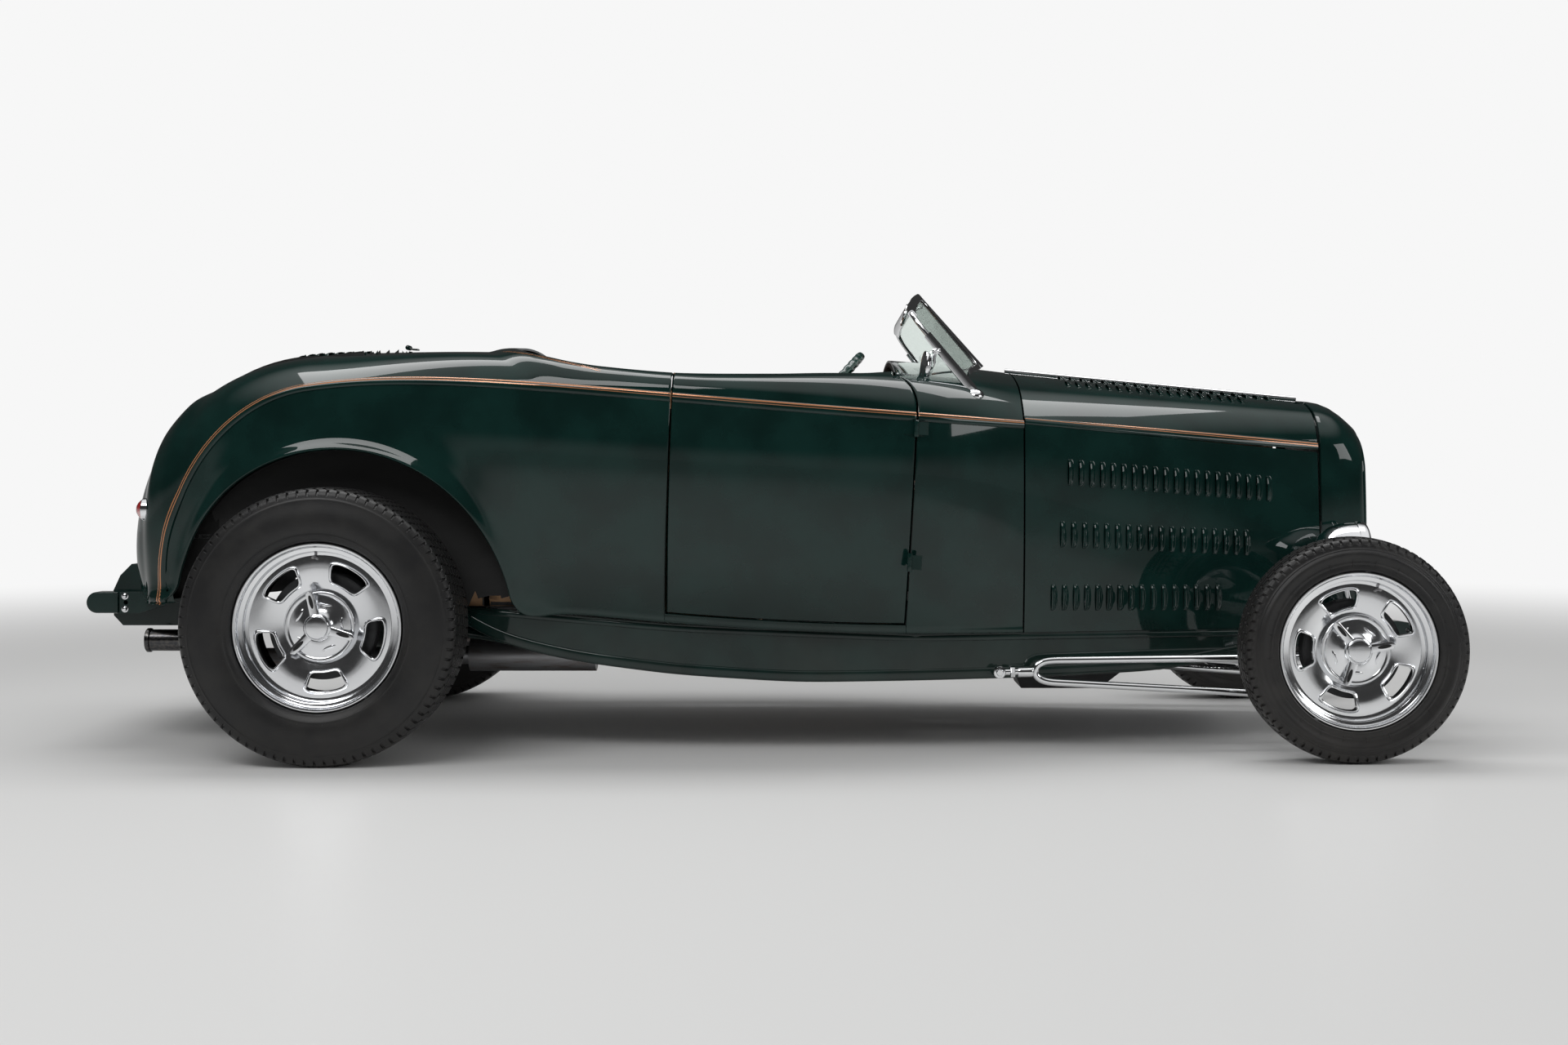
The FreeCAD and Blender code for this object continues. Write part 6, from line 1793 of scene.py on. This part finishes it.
plated("gauge_bezels", bezels, angle=40, seal=False)
make("gauge_dials", dials, "chassis", MOULDED, "body_paint", seal=False)
make("gauge_marks", marks, "chassis", IVORY, "body_paint")
make("gauge_needles", needles, "chassis", RED, "red_lens")

# %% Shift lever and pedals
lever = tube([(1262, 0, 404), (1240, 0, 470), (1190, 0, 600), (1168, 0, 690), (1150, 0, 742)], 40, 5,
             6.5, 14, scale=np.linspace(1.2, 0.8, 40))
plated("shift_lever", lever, angle=50)
knob = [(0.01, 25), (8, 24), (16, 18.5), (20.5, 9), (21, 0), (18, -10), (11, -17), (6, -19)]
make("shift_knob", [spun(knob, (1146, 0, 752), (-0.25, 0, 1), 40)], "chassis", MOULDED,
     "wheel_rim_wrap", angle=60)
boot = [(70, -4), (70, 2), (64, 8), (50, 16), (40, 26), (26, 42), (16, 62), (11, 84), (7, 92)]
make("shift_boot", [spun(boot, (1258, 0, 409), (-0.28, 0, 1), 44)], "chassis", DARK, "upholstery",
     angle=60)
pedals, pads = [], []
for y, z in ((255, 560), (345, 560), (445, 520)):
    pedals += tube([(1540, y, z + 130), (1500, y, z + 60), (1470, y, z + 12), (1462, y, z)], 24, 3,
                   6, 12)
    pads += sweep([(1462, y, z - 34), (1450, y, z + 34)], rounded_box(12, 56, 0.35), up=(0, 1, 0))
make("pedal_arms", pedals, "chassis", STEEL, "steel", angle=50)
make("pedal_pads", pads, "chassis", RUBBER, "tyre", angle=40)

# %% Steering wheel
HUB = np.array([1313.0, 350.0, 989.0])
RAKE = math.radians(42)
AXIS = np.array([-math.cos(RAKE), 0, math.sin(RAKE)])
SIDE = np.array([0, 1.0, 0])
UP = np.cross(AXIS, SIDE)
q = np.linspace(0, 2 * np.pi, 240, endpoint=False)
rim_line = HUB + (SIDE * np.cos(q)[:, None] + UP * np.sin(q)[:, None]) * 176
grip = 1 + 0.07 * np.cos(q * 36) * (np.abs(np.sin(q)) < 0.95)
rim_tube = sweep(rim_line, rounded_box(24, 27, 0.8, 16), closed=True, up=AXIS, scale=grip)
make("steering_rim", rim_tube, "steering_wheel", MOULDED, "wheel_rim_wrap",
     replaces=["steering_wheel"], angle=50)
spokes = []
for k in range(4):
    a = math.radians(45 + 90 * k)
    ray = SIDE * math.cos(a) + UP * math.sin(a)
    sag = 14 * (1 - np.linspace(0, 1, 20)) ** 1.5
    line = HUB + ray * np.linspace(34, 168, 20)[:, None] - AXIS * sag[:, None]
    spokes += sweep(line, rounded_box(22, 7, 0.55, 16), up=AXIS, scale=np.linspace(1.1, 0.75, 20))
boss = [(46, -22), (46, -12), (43, -6), (36, -3.5), (30, -3), (28, 0), (26, 3), (18, 5.4), (8, 6.4),
        (0.01, 6.6)]
spokes.append(spun(boss, HUB, AXIS, 56))
spokes.append(spun([(20, -32), (34, -30), (40, -24), (46, -22)], HUB, AXIS, 40))
make("steering_spokes", spokes, "steering_wheel", ALLOY, "polished_alloy", angle=35)
button = [(0.01, 9.4), (8, 9), (15, 7.4), (17.5, 5), (18, 3)]
make("horn_button", [spun(button, HUB, AXIS, 40)], "steering_wheel", MOULDED, "wheel_rim_wrap",
     angle=50)

# %% [markdown]
# ## Carried over
#
# The imported shapes of the running gear and of the plain fittings are good as they stand.
# Each is shown as a merged copy, most of them with their sharp edges rounded, so that they catch light.

# %% Running gear and fittings
def end_at(shape, station):
    """Cuts off what lies behind a station and closes the cut."""
    cut = bmesh.ops.bisect_plane(shape, geom=shape.verts[:] + shape.edges[:] + shape.faces[:],
                                 plane_co=metres((station, 0, 0)), plane_no=(-1, 0, 0),
                                 clear_outer=True)
    edges = [part for part in cut["geom_cut"] if isinstance(part, bmesh.types.BMEdge)]
    bmesh.ops.holes_fill(shape, edges=edges)


def carried(node, finish, slot, bevel, trim=None):
    """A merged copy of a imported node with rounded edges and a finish; trim is a station that
    the copy ends at, where a piece of its own takes over."""
    mesh, shape = packed_copy(node)
    if trim is not None:
        end_at(shape, trim)
    bmesh.ops.dissolve_limit(shape, angle_limit=0.01, verts=shape.verts, edges=shape.edges)
    shape.to_mesh(mesh)
    shape.free()
    piece = place(node + "_dressed", mesh, [finish], NODES[node]["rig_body"], slot, [node], 30)
    if bevel:
        round_edges(piece, bevel, 35)


for nodes, finish, slot in (
        ((("crossmembers", 2), ("spreader_bars", 0), ("fuel_tank", 6), ("rear_axle", 2),
          ("rear_suspension", 1)), CHASSIS_PAINT, "chassis_paint"),
        ((("floor_pan", 0),), CARPET, "chassis_paint"),
        ((("pitman_arm", 1.5), ("steering_box", 2)), CHASSIS_PAINT, "chassis_paint"),
        ((("dashboard", 3),), PAINT, "body_paint"),
        ((("exhaust", 0),), STEEL, "steel"),
        ((("hood_hinge", 0), ("front_axle", 2), ("front_spring", 1), ("steering_column", 0),
          ("knuckle_left", 1), ("knuckle_right", 1), ("tie_rod", 0), ("drag_link", 0)),
         CHROME, "chrome"),
        ((("engine", 4),), CAST, "cast_metal"),
        ((("driveshaft", 0), ("radiator", 1)), STEEL, "steel")):
    for node, bevel in nodes:
        carried(node, finish, slot, bevel)
RAIL_END = -653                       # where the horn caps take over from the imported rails
carried("frame", CHASSIS_PAINT, "chassis_paint", 2.5, trim=RAIL_END)

# %% [markdown]
# ## Edges, hinges and stripes
#
# The body's top edge is rolled over a wire all round the cockpit. Each door hangs on two
# outside hinges, solid blocks with a round barrel. A pair of lines branches off the belt
# and runs round the raised band behind the seat.

# %% Rolled edges round the cockpit
rear_rim = rear_points[columns_to[4]:, upper_row]
for side, label in SIDES:
    for name, rim, body in (("rim_rear_", rear_rim, "chassis"),
                            ("rim_door_", door_points[:, -1], "door_" + label)):
        line = (rim - (0, 0, 3)) * (1, -side, 1) - (0, 0, 3) + (0, 1.8, 0)
        make(name + label, sweep(line, circle(5.0, 12)), body, PAINT, "body_paint", angle=50)

# %% Door seals
# A flat rubber strip on the cabin side of each rear door gap closes it to the light.
SIDE_WALL = 45.0
rear_edge = door_points[door_points[:, 0, 0].argmin()]
rear_edge = rear_edge[rear_edge[:, 2] < 940]
for side, label in SIDES:
    strip_line = (rear_edge + (-2.0, SIDE_WALL + 2.6, 0)) * (1, -side, 1)
    strip = sweep(strip_line[::3], rounded_box(15, 2.4, 0.3, 12), up=(0, 1, 0))
    make("door_seal_" + label, strip, "chassis", RUBBER, "tyre", angle=50)

# %% Door and lid hinges
def barrel(half):
    """Profile of a hinge barrel: three knuckles with a fine gap between them."""
    upper = [(7, 7), (6.2, 7.6), (6.2, 8.4), (7, 9), (7, half - 4), (6.6, half - 2), (4, half),
             (0.01, half)]
    return [(r, -offset) for r, offset in upper[::-1]] + upper


LEAN = unit((18 / 356, 0, 1))         # the line through both of a door's barrels
for side, label in SIDES:
    parts = []
    for x, z, half in ((1551.0, 876.0, 23), (1533.0, 520.0, 25)):
        at = np.array([x, side * 655.0, z])
        inner_end = at + (17.0, -side * 3.0, 0)
        parts.append(spun(barrel(half), at, LEAN, 32))
        parts += sweep([inner_end - LEAN * (half - 6), inner_end + LEAN * (half - 6)],
                       rounded_box(30, 13, 0.35, 24), up=(0, 1, 0))
    y = side * 250
    parts.append(spun(barrel(20), (122.5, y, 1113), (0, 1, 0), 28))
    parts += sweep([(124, y, 1111), (134, y, 1108.5), (150, y, 1107.5)], rounded_box(34, 5, 0.4))
    make("hinges_" + label, parts, "chassis", PAINT, "body_paint", angle=40,
         replaces=["body_hinges"] if side < 0 else ())

# %% Lines round the raised band
def settled_on(surface, points, lift):
    """Points moved onto a grid of the body, lifted off it; also the surface's directions."""
    tree = BVHTree.FromPolygons(surface[0].tolist(), surface[1].tolist())
    hits = [tree.find_nearest(Vector(p)) for p in points]
    normal = np.array([tuple(h[1]) for h in hits])
    return np.array([tuple(h[0]) for h in hits]) + normal * lift, normal


rear_part = grid(rear_points)
q = np.linspace(0, 1, 90)
stripe = np.stack([470 + 250 * q ** 1.1 - 52 * (1 - q) ** 6,
                   -np.interp(q, [0, 0.15, 0.5, 1], [520, 592, 628, 655]),
                   1105 - 60 * q - 20 * q ** 3], 1)
stripe, _ = settled_on(rear_part, stripe, 0.0)
stripe, facing = settled_on(rear_part, soft_path(stripe, 120, blur=5), 0.35)
beside = np.cross(facing, np.gradient(stripe, axis=0))
beside /= np.linalg.norm(beside, axis=1)[:, None]
q = np.linspace(0, 1, len(stripe))
taper = np.clip(np.minimum(q, 1 - q) * 12, 0.1, 1)[:, None]
for width, shift, label in ((3.2, 0.0, "wide"), (1.5, 6.0, "fine")):
    half = width / 2 * taper
    part = grid(np.stack([stripe + beside * (shift + half), stripe + beside * (shift - half)]))
    make("branch_line_" + label, [part, mirror_y(part)], "chassis", STRIPE, "body_paint",
         seal=False, inside=(700, 0, 700))

# %% Louvres on the deck lid
lid_part = grid(lid_points)
U, V = np.meshgrid(np.linspace(-1, 1, 25), np.linspace(0, 1, 9), indexing="ij")
side_taper = np.sqrt(np.clip(1 - np.abs(U) ** 2.6, 0, 1))
high = 7.0 * np.sin(V * np.pi / 2) ** 0.8 * side_taper
scoops = []
for middle_y in (-300, -170, 98, 228):
    hand = (1, -1, 1) if middle_y > 0 else (1, 1, 1)     # the grid is the right half of the lid
    for middle_x in [-170 + 164 * k / 6 for k in range(7)]:
        ground = np.stack([middle_x + 17 * (V - 1) * np.where(side_taper > 0.2, side_taper, 0.2),
                           middle_y + 36 * U, np.full(U.shape, 1100.0)], -1)
        seat, facing = settled_on(lid_part, ground.reshape(-1, 3) * hand, -0.3)
        scoop = (seat + facing * high.reshape(-1, 1)).reshape(U.shape + (3,)) * hand
        scoops += [grid(scoop), grid((scoop - (0, 0, 1.2))[::-1])]
make("lid_louvres", scoops, "deck_lid", PAINT, "body_paint", seal=False, angle=50)

# %% [markdown]
# ## Under the body
#
# Plated hairpins hold the front axle; each ends in a threaded adjuster with a locknut and a
# round bushing on the rail. The exhaust runs under the floor and ends in two dark tips with
# rolled lips.

# %% Rail edges and horns
RAIL_HALF = np.array([(-640, 401), (-520, 404), (-330, 478), (130, 500), (420, 546), (700, 562),
                      (1100, 562), (1555, 538), (1850, 486), (2300, 402), (2720, 340), (2930, 328),
                      (3068, 318.5)])
RAIL_LOW = np.array([(-745, 366), (-600, 366), (-430, 420), (-160, 470), (130, 470), (420, 300),
                     (620, 252), (900, 215), (1240, 193), (1900, 199), (2240, 210), (2560, 262),
                     (2760, 285), (2930, 284), (3040, 262), (3075, 276)])
RAIL_TOP = np.array([(-160, 545), (130, 545), (300, 398), (480, 384), (900, 348), (1540, 319.5),
                     (2718, 319.5), (2790, 338), (2930, 338)])
x = np.linspace(-120, 2900, 200)
half_at, low_at, top_at = (np.interp(x, *table.T) for table in (RAIL_HALF, RAIL_LOW, RAIL_TOP))
low_line = soft_path(np.stack([x, half_at - 4, low_at + 13], 1), 150, blur=3)
top_line = soft_path(np.stack([x, half_at - 2.5, top_at - 12], 1), 150, blur=3)
rolls = sweep(low_line, rounded_box(17, 31, 0.45)) + sweep(top_line, rounded_box(11, 16, 0.5, 16))
q = np.linspace(np.pi / 2, 3 * np.pi / 2, 24)
horn = np.vstack([np.stack([-715.5 + 29.5 * np.cos(q), 395.5 + 29.5 * np.sin(q)], 1),
                  [(-655, 366), (-655, 425)]])
inner, outer = (np.insert(horn, 1, y, 1) for y in (349.0, 403.0))
horn_cap = [grid(np.stack([inner, outer]), ring_cols=True), fan(outer), fan(inner[::-1])]
make("rail_rolls", mirrored_parts(rolls), "chassis", CHASSIS_PAINT, "chassis_paint", angle=50)
make("horn_caps", mirrored_parts(horn_cap), "chassis", CHASSIS_PAINT, "chassis_paint", angle=40,
     bevel=4)
bolt = [(0.01, 6.4), (3, 6), (5.6, 4.6), (7, 2), (7.4, 0), (9.5, -0.4), (9.5, -2)]
bolts = [spun(bolt, (-637, side * 402.5, z), (0, side, 0), 28) for side, _ in SIDES
         for z in (378, 414)]
plated("horn_bolts", bolts, angle=40)

# %% Exhaust tips
tip = [(29.8, -125), (29.8, -13), (31, -11.5), (33, -10), (33.6, -6), (33.2, -1), (31.5, 1),
       (28.5, 0.6), (26.4, -1.5), (25.6, -6), (25.6, -70), (0.01, -70)]
tips = [spun(tip, (-567, side * 420.0, 293), (-1, 0, 0), 64) for side, _ in SIDES]
make("exhaust_tips", tips, "chassis", PIPE, "steel", angle=35)

# %% Hairpins
AXLE_PLATE = WHEELBASE - 27           # station where the hairpins meet the axle
bushing = [(0.01, -15), (9, -15), (9.6, -13), (15, -12), (16.5, -10)]
bushing += [(r, -offset) for r, offset in bushing[::-1]]
locknut = [(14.5, 30), (15, 31), (15, 41), (14.5, 42), (9, 42)]
adjuster = [(9, 50), (13, 50), (14, 52), (14, 88), (12, 92), (9.4, 94)]
rod_end = [(0.01, -22), (11, -22), (13, -20), (13, 2), (11, 4), (0.01, 4)]
for side, label in SIDES:
    eye = np.array([1783.0, side * 530.0, 216.0])
    along = (1, -side * 0.05, 0)
    upper_end, lower_end = (np.array([AXLE_PLATE, side * 468.0, z]) for z in (250, 142))
    q = np.linspace(-np.pi / 2, np.pi / 2, 24)
    bend = np.stack([eye[0] + 122 - 32 * np.cos(q), np.full(24, eye[1] - side * 6),
                     218 + 29 * np.sin(q)], 1)
    upper = np.linspace(bend[-1] + (12, 0, 0.4), upper_end, 14)
    lower = np.linspace(lower_end, bend[0] + (12, 0, -0.6), 14)
    parts = tube(np.vstack([lower, bend, upper]), 150, 2, 10.2, 20)
    parts += sweep([eye + (10, 0, 0), eye + (96, -side * 5, 2)], circle(8.6, 20))
    parts += [spun(locknut, eye, along, 6), spun(adjuster, eye, along, 32),
              spun(bushing, eye, (0, 1, 0), 40)]
    parts.append(spun([(10.5, 14), (10.5, 19), (9, 21), (0.01, 21)], eye, (0, side, 0), 6))
    parts += [spun(rod_end, end, (1, 0, 0), 28) for end in (upper_end, lower_end)]
    plate_at = upper_end * (1, 1, 0) - (4, 0, 0)
    parts += sweep([plate_at + (0, 0, 262.0), plate_at + (0, 0, 130.0)], rounded_box(16, 24, 0.4),
                   up=(1, 0, 0))
    plated("hairpin_" + label, parts, replaces=["hairpins"] if side < 0 else (), angle=35)

# %% [markdown]
# ## The studio
#
# A pale floor and a pale surround, three large soft lamps, and the camera low at the car's
# side.

# %% Backdrop and floor
CAMERA = (0.086, -5.891, 0.793)
BACKDROP = 0.93                       # the white that the camera sees behind the car

world = bpy.data.worlds.new("studio")
world.use_nodes = True
bpy.context.scene.world = world
net = Net(world.node_tree)
path = world.node_tree.nodes.new("ShaderNodeLightPath")
seen = net.math("MAXIMUM", path.outputs["Is Camera Ray"], path.outputs["Is Transmission Ray"])
rise = net("SeparateXYZ", 2, Vector=net("TexCoord", "Generated"))
ceiling = net.ramp(rise, 0.62, 0.9)
haze = net.math("MULTIPLY", net.ramp(rise, 0.10, 0.0), 0.30)
mirrored = net.math("ADD", net.math("MULTIPLY_ADD", ceiling, 0.85, 0.035), haze)
plain = net.math("MULTIPLY_ADD", path.outputs["Is Glossy Ray"], -0.55, 0.55)
glossy = net.math("MULTIPLY", path.outputs["Is Glossy Ray"], mirrored)
backdrop, lit = net.math("MULTIPLY", seen, BACKDROP), net.math("ADD", plain, glossy)
sky = world.node_tree.nodes["Background"]
sky.inputs["Color"].default_value = (1, 1, 1, 1)
net.feed(sky.inputs["Strength"], net.math("MAXIMUM", backdrop, lit))

floor_mesh = bpy.data.meshes.new("floor")
floor_mesh.from_pydata([(-30, -30, 0), (30, -30, 0), (30, 30, 0), (-30, 30, 0)], [], [(0, 1, 2, 3)])
floor = bpy.data.objects.new("floor", floor_mesh)
bpy.context.scene.collection.objects.link(floor)


def floor_finish(net):
    """Matt grey paint; to the camera it fades with distance into the backdrop's white."""
    path = net.tree.nodes.new("ShaderNodeLightPath")
    far = net("VectorMath", "Value", operation="LENGTH", _0=net("TexCoord", "Object"))
    fade = net.math("MULTIPLY", net.ramp(far, 3.0, 8.5), path.outputs["Is Camera Ray"])
    base = net.mix(net.noise(3, 3), (0.66, 0.66, 0.655), (0.70, 0.70, 0.695))
    return {"Base Color": net.mix(fade, base, (0, 0, 0)), "Roughness": 0.42,
            "Specular IOR Level": net.math("MULTIPLY_ADD", fade, -0.4, 0.4),
            "Emission Color": (BACKDROP, BACKDROP, BACKDROP), "Emission Strength": fade}


floor_mesh.materials.append(material("floor", floor_finish))


# %% Lamps and camera
def softbox(name, place, aim, size, power):
    lamp = bpy.data.lights.new(name, "AREA")
    lamp.shape, lamp.size, lamp.size_y, lamp.energy = "RECTANGLE", *size, power
    item = bpy.data.objects.new(name, lamp)
    item.location = place
    item.rotation_euler = (Vector(aim) - Vector(place)).to_track_quat("-Z", "Y").to_euler()
    bpy.context.scene.collection.objects.link(item)


softbox("key", (-2.5, -4.2, 4.6), (0, 0, 0.5), (4.5, 1.6), 130)
softbox("fill", (4.8, -2.8, 2.4), (0.6, 0, 0.5), (2.4, 1.6), 45)
softbox("top", (0, 0.6, 4.6), (0, 0, 0.5), (6.0, 1.6), 120)

view = bpy.data.cameras.new("view")
view.lens, view.sensor_width = 45.3, 36
view.shift_x, view.shift_y = -0.0125, -0.040
camera = bpy.data.objects.new("camera", view)
camera.location, camera.rotation_euler = CAMERA, (math.pi / 2, 0, 0)
bpy.context.scene.collection.objects.link(camera)
bpy.context.scene.camera = camera
bpy.context.scene.view_settings.view_transform = "Standard"
